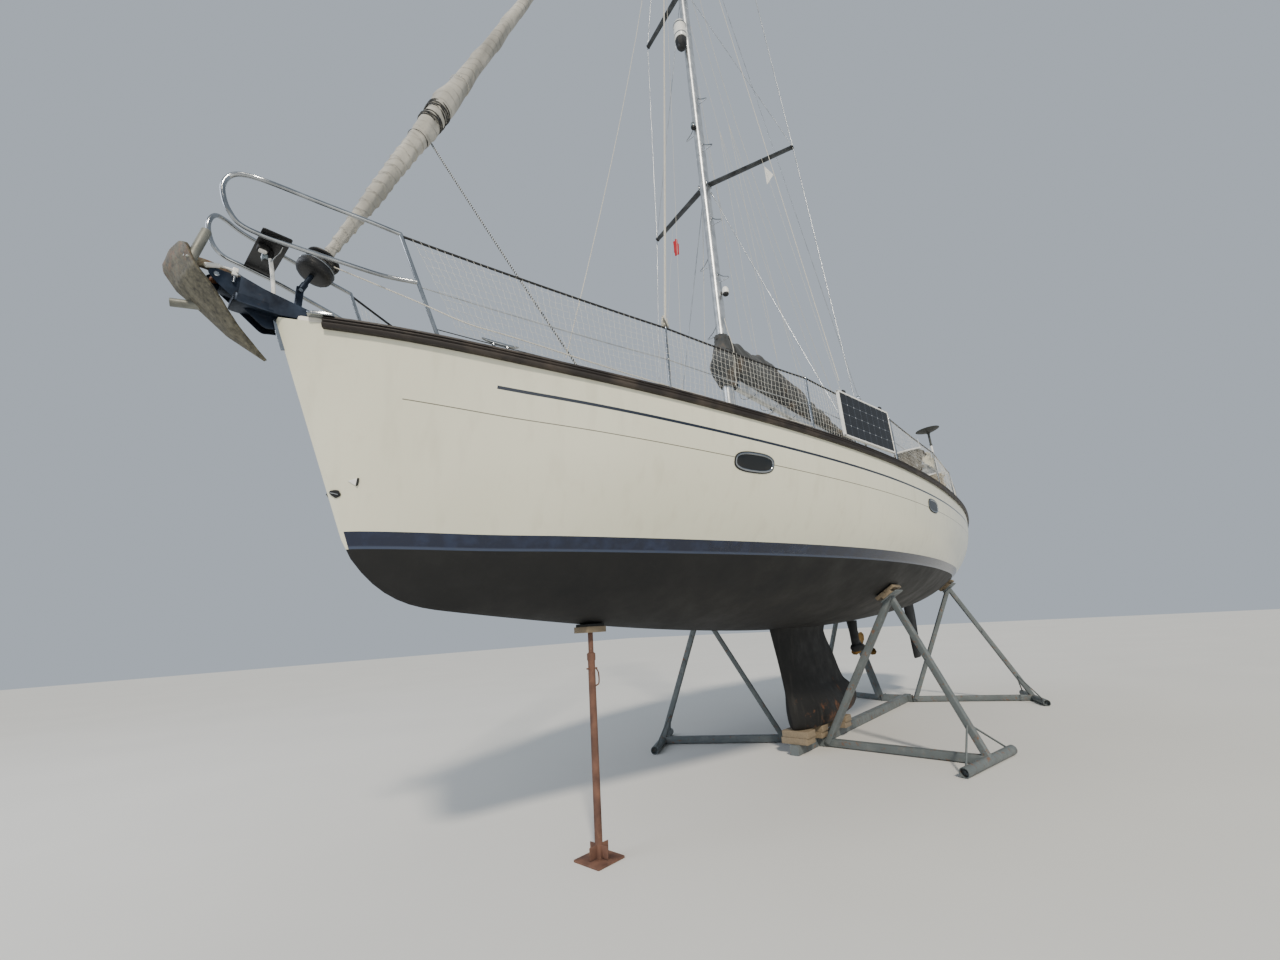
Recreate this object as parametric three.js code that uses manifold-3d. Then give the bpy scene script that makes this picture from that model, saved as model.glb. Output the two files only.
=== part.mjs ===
// Cruising sailing yacht standing ashore on its steel cradle, with a prop under the bow.
// Millimetres. +X to the bow, +Y to port, +Z up. The origin is on the ground under the keel.
import * as THREE from 'three';
import { mergeVertices } from 'three/addons/utils/BufferGeometryUtils.js';
import Module from 'manifold-3d';

const wasm = await Module();
wasm.setup();

// Driving dimensions
const HULL_HALF_LENGTH = 6430;
const GAP = 0.4;
const SHEER_BASE_Z = 3334;
const KEEL_LINE_LOW_Z = 1530;
const STEM_FOOT = { x: 5920, z: 2250 };
const FOREFOOT_X = 5200;
const TRANSOM_RAKE = 230;
const DECK_THICKNESS = 32;
const DECK_CAMBER = 0.04;
const MAST_X = 1057;
const MASTHEAD_Z = 17900;
const BOOM_Z = 5030;
const BOOM_LENGTH = 4850;
const STAY_FOOT = { x: 6330, z: 3900 };
const STAY_HEAD = { x: 1190, z: 17840 };
const RUDDER_STOCK_X = -5420;
const PROP_AXIS_Z = 1130;
const WHEEL_CENTRE = { x: -5010, z: 3680 };
const WHEEL_RADIUS = 375;

// Colours, roughness and metalness
const finish = (color, roughness, metalness) => new THREE.MeshStandardMaterial({ color, roughness, metalness });
const FINISH = {
  topsides: finish(0xe9e6d8, 0.25, 0),
  deck: finish(0xe4e2da, 0.55, 0),
  antifouling: finish(0x14161a, 0.85, 0),
  strake: finish(0x3a2a22, 0.55, 0),
  stainless: finish(0xc9ccd0, 0.25, 1),
  alloy: finish(0xb4b8bc, 0.4, 1),
  galvanised: finish(0x8b8d88, 0.6, 0.8),
  cover: finish(0x3d4248, 0.9, 0),
  sail: finish(0xc9c4b4, 0.85, 0),
  black: finish(0x1a1b1d, 0.5, 0),
  glass: finish(0x20262b, 0.1, 0),
  cell: finish(0x1d2c4e, 0.2, 0),
  bronze: finish(0x8a6a3a, 0.4, 1),
  teak: finish(0x9a7a55, 0.8, 0),
  steel: finish(0x5b6068, 0.6, 0.6),
  rust: finish(0x7a4a32, 0.85, 0.3),
};

// Solids: a closed geometry becomes a manifold, is cut or joined, and comes back as a geometry

function solid(geometry) {
  const bare = geometry.clone();
  bare.deleteAttribute('normal');
  bare.deleteAttribute('uv');
  const merged = mergeVertices(bare, 1e-3);
  return new wasm.Manifold(new wasm.Mesh({
    numProp: 3,
    vertProperties: new Float32Array(merged.attributes.position.array),
    triVerts: new Uint32Array(merged.index.array),
  }));
}

const join = (pieces) => pieces.map(solid).reduce((sum, piece) => sum.add(piece));
const cut = (body, tools) => tools.map(solid).reduce((rest, tool) => rest.subtract(tool), body);

function geometryOf(manifold) {
  const mesh = manifold.getMesh();
  const geometry = new THREE.BufferGeometry();
  geometry.setAttribute('position', new THREE.BufferAttribute(mesh.vertProperties, 3));
  geometry.setIndex(new THREE.BufferAttribute(mesh.triVerts, 1));
  geometry.computeVertexNormals();
  return geometry;
}

// Basic shapes

const point = (x, y, z) => new THREE.Vector3(x, y, z);

function block([x0, x1], [y0, y1], [z0, z1]) {
  return new THREE.BoxGeometry(x1 - x0, y1 - y0, z1 - z0)
    .translate((x0 + x1) / 2, (y0 + y1) / 2, (z0 + z1) / 2);
}

function alignedTo(geometry, from, to) {
  const along = new THREE.Vector3().subVectors(to, from).normalize();
  const turn = new THREE.Quaternion().setFromUnitVectors(point(0, 1, 0), along);
  return geometry.applyQuaternion(turn).translate(...from.clone().lerp(to, 0.5).toArray());
}

function rod(from, to, radius, sides = 10, tipRadius = radius) {
  return alignedTo(new THREE.CylinderGeometry(tipRadius, radius, from.distanceTo(to), sides), from, to);
}

// A square tube of the given side between two points, square to the vertical plane through them
function bar(from, to, width, depth = width) {
  const length = from.distanceTo(to);
  const along = new THREE.Vector3().subVectors(to, from).normalize();
  const heading = Math.atan2(along.y, along.x);
  const climb = Math.asin(along.z);
  return new THREE.BoxGeometry(length, width, depth)
    .rotateY(-climb)
    .rotateZ(heading)
    .translate(...from.clone().lerp(to, 0.5).toArray());
}

function pipe(points, radius, steps, sides = 8, closed = false) {
  const section = new THREE.Shape();
  section.absarc(0, 0, radius, 0, 2 * Math.PI, false);
  const path = new THREE.CatmullRomCurve3(points, closed, 'centripetal');
  return new THREE.ExtrudeGeometry(section, { steps, extrudePath: path, curveSegments: sides });
}

// A flat plate across Y, its outline given as [x, z] corners
function plate(outline, y0, y1) {
  const shape = new THREE.Shape(outline.map(([x, z]) => new THREE.Vector2(x, z)));
  return new THREE.ExtrudeGeometry(shape, { depth: y1 - y0, bevelEnabled: false, steps: 1 })
    .rotateX(Math.PI / 2).translate(0, y1, 0);
}

function turned(profile, segments = 24) {
  return new THREE.LatheGeometry(profile.map(([r, z]) => new THREE.Vector2(r, z)), segments)
    .rotateX(Math.PI / 2);
}

// A body through rings of points that correspond; each end is closed by a fan round its centre
function loft(rings) {
  const count = rings[0].length;
  const corners = rings.flat();
  const index = [];
  for (let i = 0; i + 1 < rings.length; i += 1) {
    for (let j = 0; j < count; j += 1) {
      const a = i * count + j;
      const b = i * count + ((j + 1) % count);
      index.push(a, b, b + count, a, b + count, a + count);
    }
  }
  const capped = [[0, true], [rings.length - 1, false]];
  for (const [ring, first] of capped) {
    const centre = rings[ring].reduce((sum, p) => sum.add(p), point(0, 0, 0)).divideScalar(count);
    const hub = corners.push(centre) - 1;
    for (let j = 0; j < count; j += 1) {
      const a = ring * count + j;
      const b = ring * count + ((j + 1) % count);
      index.push(...(first ? [hub, b, a] : [hub, a, b]));
    }
  }
  const geometry = new THREE.BufferGeometry();
  geometry.setAttribute('position', new THREE.Float32BufferAttribute(corners.flatMap((p) => p.toArray()), 3));
  geometry.setIndex(index);
  return volumeOf(geometry) < 0 ? flipped(geometry) : geometry;
}

function volumeOf(geometry) {
  const { position } = geometry.attributes;
  const corner = (k) => new THREE.Vector3().fromBufferAttribute(position, geometry.index.getX(k));
  let sum = 0;
  for (let k = 0; k < geometry.index.count; k += 3) {
    sum += corner(k).dot(corner(k + 1).cross(corner(k + 2)));
  }
  return sum / 6;
}

function flipped(geometry) {
  geometry.setIndex(Array.from(geometry.index.array).reverse());
  return geometry;
}

const yacht = new THREE.Group();

function add(name, material, shape) {
  const geometry = shape instanceof THREE.BufferGeometry ? shape : geometryOf(shape);
  const mesh = new THREE.Mesh(geometry, material);
  mesh.name = name;
  yacht.add(mesh);
}

const SIDES = [{ side: 'port', sign: 1 }, { side: 'starboard', sign: -1 }];

// Hull lines

const SHEER = [
  // [x, half-breadth at the deck edge]
  [6430, 34], [5900, 386], [5360, 665], [4290, 1113], [3220, 1457], [2140, 1714], [1070, 1878],
  [0, 1955], [-1070, 1961], [-2140, 1909], [-3210, 1819], [-4290, 1681], [-5360, 1504], [-6430, 1299],
];
const FULLNESS = [
  // [x, flare exponent, bilge exponent]
  [6430, 1.0, 1.25], [5920, 1.0, 1.3], [5200, 1.15, 1.35], [4600, 1.5, 1.5], [3500, 1.85, 1.6],
  [2400, 2.2, 1.6], [800, 2.7, 1.5], [-1200, 2.8, 1.5], [-2300, 2.6, 1.65], [-3600, 2.25, 1.95],
  [-4600, 2.05, 2.0], [-6430, 2.0, 2.0],
];
const STATIONS = [
  6430, 6340, 6220, 6100, 6000, 5920, 5870, 5800, 5700, 5560, 5380, 5150, 4800, 4400, 3900, 3300, 2500,
  1600, 700, -300, -1300, -2300, -3300, -4300, -5200, -5900, -6430,
];
const SECTION_STEPS = 11;

function curveValue(table, x, column) {
  const row = table.findIndex((entry) => entry[0] <= x);
  if (row < 0) return table[table.length - 1][column];
  if (row === 0) return table[0][column];
  const at = (k) => table[Math.min(Math.max(k, 0), table.length - 1)];
  const [before, from, to, after] = [at(row - 2), at(row - 1), at(row), at(row + 1)];
  const slope = (a, b) => (b === a ? 0 : (b[column] - a[column]) / (b[0] - a[0]));
  const span = to[0] - from[0];
  const u = (x - from[0]) / span;
  const slopeFrom = (before === from ? slope(from, to) : slope(before, to)) * span;
  const slopeTo = (after === to ? slope(from, to) : slope(from, after)) * span;
  const [p, q] = [from[column], to[column]];
  return p + slopeFrom * u + (3 * (q - p) - 2 * slopeFrom - slopeTo) * u * u
    + (2 * (p - q) + slopeFrom + slopeTo) * u * u * u;
}

const halfBreadth = (x) => curveValue(SHEER, x, 1);

function sheerZ(x) {
  const metres = x / 1000;
  return SHEER_BASE_Z + 3.2 * metres + 4.7 * metres ** 2 + 0.36 * metres ** 3;
}

function keelLineZ(x) {
  if (x >= STEM_FOOT.x) {
    const rise = sheerZ(HULL_HALF_LENGTH) - 20 - STEM_FOOT.z;
    return STEM_FOOT.z + (rise * (x - STEM_FOOT.x)) / (HULL_HALF_LENGTH - STEM_FOOT.x);
  }
  const metres = (x + 300) / 1000;
  const rocker = (at) => KEEL_LINE_LOW_Z + (at > 0 ? 10.8 : 13.8) * at ** 2;
  if (x <= FOREFOOT_X) return rocker(metres);
  const sweep = (x - FOREFOOT_X) / (STEM_FOOT.x - FOREFOOT_X);
  return rocker(metres) + (STEM_FOOT.z - rocker((STEM_FOOT.x + 300) / 1000)) * sweep ** 3.2;
}

function hullHalfWidth(x, z) {
  const low = keelLineZ(x);
  const height = Math.min(Math.max((z - low) / (sheerZ(x) - low), 0), 1);
  const flare = curveValue(FULLNESS, x, 1);
  const bilge = curveValue(FULLNESS, x, 2);
  return halfBreadth(x) * (1 - (1 - height) ** flare) ** (1 / bilge);
}

// The transom leans: its foot is further forward than its top edge
const rakedX = (x, z) => (x > -HULL_HALF_LENGTH ? x : x + (TRANSOM_RAKE * (sheerZ(x) - z)) / 1400);

function hullRing(x) {
  const low = keelLineZ(x);
  const high = sheerZ(x);
  const ring = [point(rakedX(x, low), 0, low)];
  for (const sign of [1, -1]) {
    const half = [];
    for (let j = 1; j <= SECTION_STEPS; j += 1) {
      const z = low + (high - low) * (j / SECTION_STEPS) ** 1.8;
      half.push(point(rakedX(x, z), sign * hullHalfWidth(x, z), z));
    }
    ring.push(...(sign > 0 ? half : half.reverse()));
  }
  return ring;
}

// Cockpit and companionway recesses, as [x range, y range, z range]
const SEAT_Z = 3230;
const SOLE_Z = 2840;
const TUB_WALL = 55;
const COCKPIT = {
  seats: { x: [-5600, -2620], y: 960 },
  well: { x: [-5480, -2680], y: 400 },
};
const ENTRY = { x: [-2500, -1640], y: 330, z: 2560 };
const tubBlocks = (grow) => [
  block(
    [COCKPIT.seats.x[0] - grow, COCKPIT.seats.x[1] + grow],
    [-COCKPIT.seats.y - grow, COCKPIT.seats.y + grow],
    [SEAT_Z - grow, 4600],
  ),
  block(
    [COCKPIT.well.x[0] - grow, COCKPIT.well.x[1] + grow],
    [-COCKPIT.well.y - grow, COCKPIT.well.y + grow],
    [SOLE_Z - grow, 4600],
  ),
];
const entryBlock = (grow) => block(
  [ENTRY.x[0] - grow, ENTRY.x[1] + grow],
  [-ENTRY.y - grow, ENTRY.y + grow],
  [ENTRY.z - grow, 4600],
);
const tubOuter = (gap) => [...tubBlocks(TUB_WALL + gap), entryBlock(TUB_WALL + gap)];

const hullShape = () => loft(STATIONS.map(hullRing));
add('hull', FINISH.topsides, cut(solid(hullShape()), tubOuter(GAP)));

// Deck moulding with coachroof, coamings and cockpit tub

const DECK_ACROSS = 8;
const deckEdgeZ = (x) => sheerZ(x) + DECK_THICKNESS;
const deckZ = (x, y) => {
  const half = Math.max(halfBreadth(x), 1);
  return deckEdgeZ(x) + DECK_CAMBER * half * (1 - Math.min((y / half) ** 2, 1));
};

function deckRing(x) {
  const half = halfBreadth(x);
  const under = sheerZ(x) + GAP;
  const ring = [point(x, -half, under), point(x, half, under)];
  for (let j = 0; j <= DECK_ACROSS; j += 1) {
    const y = half * (1 - (2 * j) / DECK_ACROSS);
    ring.push(point(x, y, deckZ(x, y)));
  }
  return ring;
}

const ROOF_LEAN = 110;
const ROOF = [
  // [x, half-width at the deck, height of the roof edge above the deck edge]
  [-2640, 1150, 505], [-1000, 1150, 480], [700, 1070, 440], [1900, 900, 390], [2700, 700, 320],
  [3150, 540, 200], [3450, 420, 40],
];

function roofRing([x, half, height]) {
  const low = sheerZ(x) + 10;
  const high = deckEdgeZ(x) + height;
  const top = half - ROOF_LEAN * Math.min(height / 300, 1);
  const crown = 0.05 * half;
  return [
    point(x, -half, low), point(x, half, low), point(x, top, high),
    point(x, top * 0.92, high + crown * 0.35), point(x, top * 0.5, high + crown * 0.85),
    point(x, 0, high + crown),
    point(x, -top * 0.5, high + crown * 0.85), point(x, -top * 0.92, high + crown * 0.35),
    point(x, -top, high),
  ];
}

const COAMING = { x: [-5750, -2500], y: [955, 1175], height: 250 };
const coaming = (sign) => loft([
  [COAMING.x[0], 90], [COAMING.x[0] + 350, COAMING.height], [-4200, COAMING.height], [COAMING.x[1], 330],
].map(([x, height]) => {
  const [inner, outer] = COAMING.y;
  const low = sheerZ(x) + 10;
  const high = deckEdgeZ(x) + height;
  return [
    point(x, sign * inner, low), point(x, sign * outer, low),
    point(x, sign * (outer - 50), high), point(x, sign * inner, high),
  ];
}));
const aftCoaming = block([-5760, -5590], [-1120, 1120], [sheerZ(-5700) + 10, deckEdgeZ(-5700) + 130]);

const HATCH_GARAGE_Z = 4010;
const runners = SIDES.map(({ sign }) => block(
  [-2560, -420],
  [Math.min(sign * 345, sign * 395), Math.max(sign * 345, sign * 395)],
  [3850, HATCH_GARAGE_Z],
));

const deckSlab = () => loft(STATIONS.slice(1).map(deckRing));
const deckMoulding = join([
  deckSlab(),
  loft(ROOF.map(roofRing)),
  coaming(1),
  coaming(-1),
  aftCoaming,
  ...runners,
  block([COCKPIT.seats.x[0] - TUB_WALL, COCKPIT.seats.x[1] + TUB_WALL],
    [-COCKPIT.seats.y - TUB_WALL, COCKPIT.seats.y + TUB_WALL], [SEAT_Z - TUB_WALL, SEAT_Z + 130]),
  block([COCKPIT.well.x[0] - TUB_WALL, COCKPIT.well.x[1] + TUB_WALL],
    [-COCKPIT.well.y - TUB_WALL, COCKPIT.well.y + TUB_WALL], [SOLE_Z - TUB_WALL, SEAT_Z + 130]),
  block([ENTRY.x[0] - TUB_WALL, ENTRY.x[1] + TUB_WALL],
    [-ENTRY.y - TUB_WALL, ENTRY.y + TUB_WALL], [ENTRY.z - TUB_WALL, SEAT_Z + 400]),
]);
const doorway = block([COCKPIT.seats.x[1] - 10, ENTRY.x[0] + 10], [-290, 290], [SEAT_Z + 60, 4600]);
add('deck', FINISH.deck, cut(deckMoulding, [...tubBlocks(0), entryBlock(0), doorway]));

// Companionway hatch on its runners, and the washboard that closes the doorway

const HATCH_Z = 3990;
add('companionway_hatch', FINISH.glass, block([-2640, -1600], [-338, 338], [HATCH_Z, HATCH_Z + 40]));
add('washboard', FINISH.teak, block([-2596, -2570], [-286, 286], [SEAT_Z + 64, HATCH_Z - 6]));

// Rubbing strake and toe rail, one strip each side along the sheer

const RAIL_SECTION = [
  // [outboard of the hull side, above the sheer]
  [1, -40], [30, -36], [40, -22], [40, 16], [26, 30], [14, 34], [8, 56], [-24, 56], [-28, 40], [1, 40],
];

function railRing(x, sign) {
  const step = 20;
  const slope = (halfBreadth(x + step) - halfBreadth(x - step)) / (2 * step);
  const outward = new THREE.Vector2(-slope, 1).normalize();
  return RAIL_SECTION.map(([out, up]) => {
    const side = Math.max(halfBreadth(x), hullHalfWidth(x, sheerZ(x) + Math.min(up, 0)));
    return point(x + out * outward.x, sign * (side + out * outward.y), sheerZ(x) + up);
  });
}

const RAIL_STATIONS = STATIONS.filter((x) => x < 6300 && x > -6400).concat([-6400]);
for (const { side, sign } of SIDES) {
  add(`toe_rail_${side}`, FINISH.strake, loft(RAIL_STATIONS.map((x) => railRing(x, sign))));
}

// Coachroof windows, one long dark pane each side

function roofSide(x, fraction, sign, out) {
  const low = deckEdgeZ(x);
  const half = curveValue(ROOF, x, 1);
  const height = curveValue(ROOF, x, 2);
  const lean = ROOF_LEAN * Math.min(height / 300, 1);
  return point(x, sign * (half - lean * fraction + out), low + height * fraction);
}

const WINDOW_STATIONS = [-2000, -1000, 0, 700, 1500];
for (const { side, sign } of SIDES) {
  add(`cabin_window_${side}`, FINISH.glass, loft(WINDOW_STATIONS.map((x) => [
    roofSide(x, 0.3, sign, 6), roofSide(x, 0.8, sign, 6),
    roofSide(x, 0.8, sign, 14), roofSide(x, 0.3, sign, 14),
  ])));
}

// Deck hatches: a low tray lid each, hinged on its forward edge

const HATCHES = [
  // [name, x of the hinge edge, length aft, half-width, top surface]
  ['fore_hatch', 4550, 520, 260, 'deck'],
  ['mid_hatch', 2450, 480, 240, 'roof'],
];
const roofTopZ = (x) => deckEdgeZ(x) + curveValue(ROOF, x, 2) + 0.05 * curveValue(ROOF, x, 1);
for (const [name, x, length, half, surface] of HATCHES) {
  const zAt = surface === 'deck' ? (at) => deckZ(at, 0) : roofTopZ;
  const [low, high] = [zAt(x - length), zAt(x)];
  const tilt = Math.atan2(high - low, length);
  const lid = new THREE.BoxGeometry(length, 2 * half, 34).rotateY(-tilt)
    .translate(x - length / 2, 0, (low + high) / 2 + 17 + 14);
  add(name, FINISH.glass, lid);
}

const LOCKER_X = [5080, 5560];
add('anchor_locker_lid', FINISH.deck, loft([LOCKER_X[0], LOCKER_X[1]].map((x) => {
  const half = (halfBreadth(x) - 120) * 0.55;
  const z = deckZ(x, 0) + 6;
  return [point(x, -half, z), point(x, half, z), point(x, half, z + 22), point(x, -half, z + 22)];
})));

for (const { side, sign } of SIDES) {
  add(`cockpit_locker_${side}`, FINISH.teak, block(
    [-4000, -2900],
    [Math.min(sign * 420, sign * 925), Math.max(sign * 420, sign * 925)],
    [SEAT_Z + GAP, SEAT_Z + 22],
  ));
}

// Keel: a cast fin whose foot carries a long bulb

const FIN = [
  // [z, leading edge x, trailing edge x, half-thickness]
  [1690, 730, -1130, 165], [1560, 705, -1010, 125], [1440, 680, -940, 105], [1100, 590, -1170, 92],
  [760, 510, -1390, 110], [650, 490, -1610, 160], [540, 470, -1780, 205], [420, 445, -1800, 225],
  [330, 420, -1680, 215], [277, 390, -1500, 180],
];
const FOIL = [
  // [distance from the leading edge over the chord, share of the full half-thickness]
  [0, 0], [0.05, 0.5], [0.15, 0.82], [0.32, 1], [0.55, 0.86], [0.8, 0.45], [1, 0.06],
];
function foilRing([z, lead, trail, half]) {
  const at = ([u, share], sign) => point(lead + (trail - lead) * u, sign * half * share, z);
  const port = FOIL.map((row) => at(row, 1));
  const starboard = FOIL.slice(1).reverse().map((row) => at(row, -1));
  return [...port, ...starboard];
}
const hullBelow = (gap) => hullShape().translate(0, 0, -gap);
add('keel', FINISH.antifouling, cut(solid(loft(FIN.map(foilRing))), [hullBelow(GAP)]));

// Spade rudder under the stern, its stock running up into the hull

const RUDDER = [
  // [z, leading edge from the stock, trailing edge from the stock, half-thickness]
  [1845, 130, -560, 52], [1500, 135, -545, 50], [700, 105, -390, 32],
];
const rudderBlade = loft(RUDDER.map(([z, lead, trail, half]) => foilRing([
  z, RUDDER_STOCK_X + lead, RUDDER_STOCK_X + trail, half,
])));
const rudderTop = Math.min(keelLineZ(RUDDER_STOCK_X + 130), 4000);
add('rudder', FINISH.antifouling, join([
  rudderBlade,
  rod(point(RUDDER_STOCK_X, 0, 1700), point(RUDDER_STOCK_X, 0, rudderTop - 6), 38, 14),
]));

// Saildrive leg and three-bladed propeller

const LEG_X = -2200;
const LEG = [
  // [z, leading edge x, trailing edge x, half-thickness]
  [keelLineZ(LEG_X + 190) - 2, LEG_X + 190, LEG_X - 170, 75], [1400, LEG_X + 170, LEG_X - 150, 55],
  [PROP_AXIS_Z - 60, LEG_X + 160, LEG_X - 150, 45],
];
const gearcase = turned([[0, -230], [35, -215], [68, -120], [72, 60], [58, 190], [0, 205]], 16)
  .rotateY(-Math.PI / 2).translate(LEG_X, 0, PROP_AXIS_Z);
add('saildrive', FINISH.antifouling, join([loft(LEG.map(foilRing)), gearcase]));

const PROP_X = LEG_X - 275;
const BLADE_COUNT = 3;
function propBlade(turn) {
  const sections = [[25, 70, 30], [110, 130, 24], [190, 120, 16], [235, 50, 8]];
  const rings = sections.map(([radius, chord, thickness]) => {
    const pitch = Math.atan2(70, radius);
    const corners = [[-0.5, 0], [0, 0.5], [0.5, 0], [0, -0.5]];
    return corners.map(([u, v]) => {
      const around = u * chord * Math.cos(pitch) - v * thickness * Math.sin(pitch);
      const along = u * chord * Math.sin(pitch) + v * thickness * Math.cos(pitch);
      return point(along, around, radius);
    });
  });
  return loft(rings).rotateX(turn).translate(PROP_X, 0, PROP_AXIS_Z);
}
const hub = turned([[0, -60], [28, -50], [42, 0], [44, 45], [0, 45]], 18)
  .rotateY(Math.PI / 2).translate(PROP_X, 0, PROP_AXIS_Z);
const blades = Array.from({ length: BLADE_COUNT }, (_, k) => propBlade((k * 2 * Math.PI) / BLADE_COUNT));
add('propeller', FINISH.bronze, join([hub, ...blades]));

// Line of the forestay, from the stem to the masthead

const stayFoot = point(STAY_FOOT.x, 0, STAY_FOOT.z);
const stayHead = point(STAY_HEAD.x, 0, STAY_HEAD.z);
const stayLength = stayFoot.distanceTo(stayHead);
const onStay = (distance) => stayFoot.clone().lerp(stayHead, distance / stayLength);
const DRUM = { low: 150, high: 330, radius: 112 };

// Stem fitting with its roller and the forestay's toggle, and the anchor stowed in the roller

const stemZ = deckEdgeZ(6300);
const LIGHT_PLATE_Z = 4066;
const ROLLER = { x: 6745, y: -50, z: 3812, radius: 24, halfGap: 40 };
const CHEEK = [
  // [x, z] round one side of the roller channel
  [6200, stemZ - 30], [6440, 3575], [6480, 3562], [6740, 3762], [6790, 3812], [6770, 3850], [6640, 3850],
  [6200, stemZ + 60],
];
const cheek = (y) => plate(CHEEK, y - 3, y + 3);
const SIDE_PLATE = [
  // [x, half-breadth, top z]
  [6640, 52, 3822], [6430, 52, 3762], [6330, 88, 3728], [6215, 165, 3672],
];
const sidePlate = (sign) => loft(SIDE_PLATE.map(([x, y, z]) => [
  point(x, sign * (y - 3), stemZ - 14), point(x, sign * (y + 3), stemZ - 14),
  point(x, sign * (y + 3), z), point(x, sign * (y - 3), z),
]));

// Plough anchor: a thick share, the tube stubs at its heel and the shank lying in the roller
const SHANK_Z = ROLLER.z + ROLLER.radius + 35;
const SHANK_END = { x: 6180, z: SHANK_Z - 124 };
const SHARE = [
  // [x, z of the keel line, half-width, rise of the wings, thickness]
  [6450, 3368, 9, 3, 18], [6640, 3496, 92, 12, 40], [6788, 3640, 160, 24, 54], [6885, 3726, 172, 24, 52],
  [6952, 3850, 168, 16, 44],
];
const BACK = { x: -0.75, z: 0.66 };
const share = loft(SHARE.map(([x, z, half, rise, thick]) => {
  const corner = (across, up) => point(x + BACK.x * up, ROLLER.y + across, z + BACK.z * up);
  return [
    corner(0, 0), corner(half, rise), corner(half, rise + thick), corner(0, thick),
    corner(-half, rise + thick), corner(-half, rise),
  ];
}));
const HEEL_TUBES = [
  // [from, to] of the tube stubs at the two sides of the share
  [point(6872, ROLLER.y + 142, 3782), point(6832, ROLLER.y + 158, 3990)],
  [point(6770, ROLLER.y - 132, 3672), point(6905, ROLLER.y - 158, 3648)],
];

const stemFitting = join([
  cheek(ROLLER.y - ROLLER.halfGap),
  cheek(ROLLER.y + ROLLER.halfGap),
  sidePlate(1),
  block([6190, 6660], [ROLLER.y - ROLLER.halfGap - 3, 56], [stemZ - 10, stemZ + 42]),
  rod(
    point(ROLLER.x, ROLLER.y - ROLLER.halfGap, ROLLER.z),
    point(ROLLER.x, ROLLER.y + ROLLER.halfGap, ROLLER.z),
    ROLLER.radius,
    14,
  ),
  rod(point(6478, 48, stemZ + 30), point(6520, 52, LIGHT_PLATE_Z), 12, 10),
  block([STAY_FOOT.x - 22, STAY_FOOT.x + 22], [-12, 12], [stemZ + 38, STAY_FOOT.z + 25]),
  rod(stayFoot, onStay(DRUM.low - 4), 20, 12),
]);
const lightPlate = (low, high) => block([6450, 6605], [-240, 240], [low, high]);
add('stem_fitting', FINISH.stainless, cut(stemFitting, [
  hullShape().translate(2, 0, 1.5),
  deckSlab().translate(1, 0, 0.5),
  share.clone().translate(-6, 0, 6),
  share.clone(),
  lightPlate(LIGHT_PLATE_Z - GAP, LIGHT_PLATE_Z + 60),
]));
add('anchor', FINISH.galvanised, join([
  bar(point(ROLLER.x - 15, ROLLER.y, SHANK_Z), point(6890, ROLLER.y, SHANK_Z), 26, 60),
  bar(point(SHANK_END.x, ROLLER.y, SHANK_END.z), point(ROLLER.x, ROLLER.y, SHANK_Z), 26, 60),
  bar(point(6862, ROLLER.y, SHANK_Z + 20), point(6862, ROLLER.y, 3760), 26, 60),
  share,
  ...HEEL_TUBES.map(([from, to]) => rod(from, to, 24, 14)),
]));

// Bow rails, one closed loop each side with a gap at the stem

const PULPIT_LEG_X = [5600, 5905];
const FLANGE = 30;
const RAIL_TUBE = 14;
for (const { side, sign } of SIDES) {
  const footY = halfBreadth(PULPIT_LEG_X[0]) - 3 * FLANGE;
  const foot = point(PULPIT_LEG_X[0], sign * footY, deckZ(PULPIT_LEG_X[0], footY) + 13);
  const legTop = point(PULPIT_LEG_X[1], sign * 442, 4322);
  const loop = [
    legTop, point(6100, sign * 405, 4330), point(6370, sign * 346, 4340), point(6620, sign * 292, 4352),
    point(6735, sign * 240, 4362), point(6788, sign * 208, 4338), point(6810, sign * 200, 4265),
    point(6795, sign * 200, 4180), point(6762, sign * 200, 4112), point(6705, sign * 192, 4062),
    point(6600, sign * 195, 4048), point(6430, sign * 225, 4042), point(6215, sign * 280, 4030),
    point(5960, sign * 352, 4015), foot.clone().lerp(legTop, 0.55),
  ];
  add(`pulpit_${side}`, FINISH.stainless, join([
    pipe(loop, RAIL_TUBE, 36, 3),
    rod(foot, legTop, RAIL_TUBE, 10),
    rod(foot.clone().setZ(foot.z - 4), foot.clone().setZ(foot.z + 6), FLANGE, 12),
  ]));
}
add('bow_light_plate', FINISH.black, lightPlate(LIGHT_PLATE_Z, LIGHT_PLATE_Z + 8));

// Stern rails, one each quarter, open in the middle for the ladder

const STERN_RAIL_Z = 690;
for (const { side, sign } of SIDES) {
  const base = (x, y, up) => point(x, sign * y, deckZ(x, y) + up);
  const legs = [base(-5000, 1470, 6), base(-5750, 1360, 6), base(-6330, 1180, 6), base(-6340, 420, 6)];
  const top = [
    legs[0], base(-5000, 1470, 590), base(-5060, 1462, STERN_RAIL_Z), base(-5750, 1360, STERN_RAIL_Z),
    base(-6230, 1260, STERN_RAIL_Z), base(-6330, 1120, STERN_RAIL_Z), base(-6350, 760, STERN_RAIL_Z),
    base(-6345, 500, STERN_RAIL_Z), base(-6340, 420, 590), legs[3],
  ];
  add(`pushpit_${side}`, FINISH.stainless, join([
    pipe(top, RAIL_TUBE, 36, 3),
    rod(legs[1], base(-5750, 1360, STERN_RAIL_Z), RAIL_TUBE - 2, 8),
    rod(legs[2], base(-6290, 1190, STERN_RAIL_Z), RAIL_TUBE - 2, 8),
    ...legs.map((leg) => rod(leg.clone().setZ(leg.z - 2), leg.clone().setZ(leg.z + 8), 36, 12)),
  ]));
}

// Guard rail stanchions inside the toe rail

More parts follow.
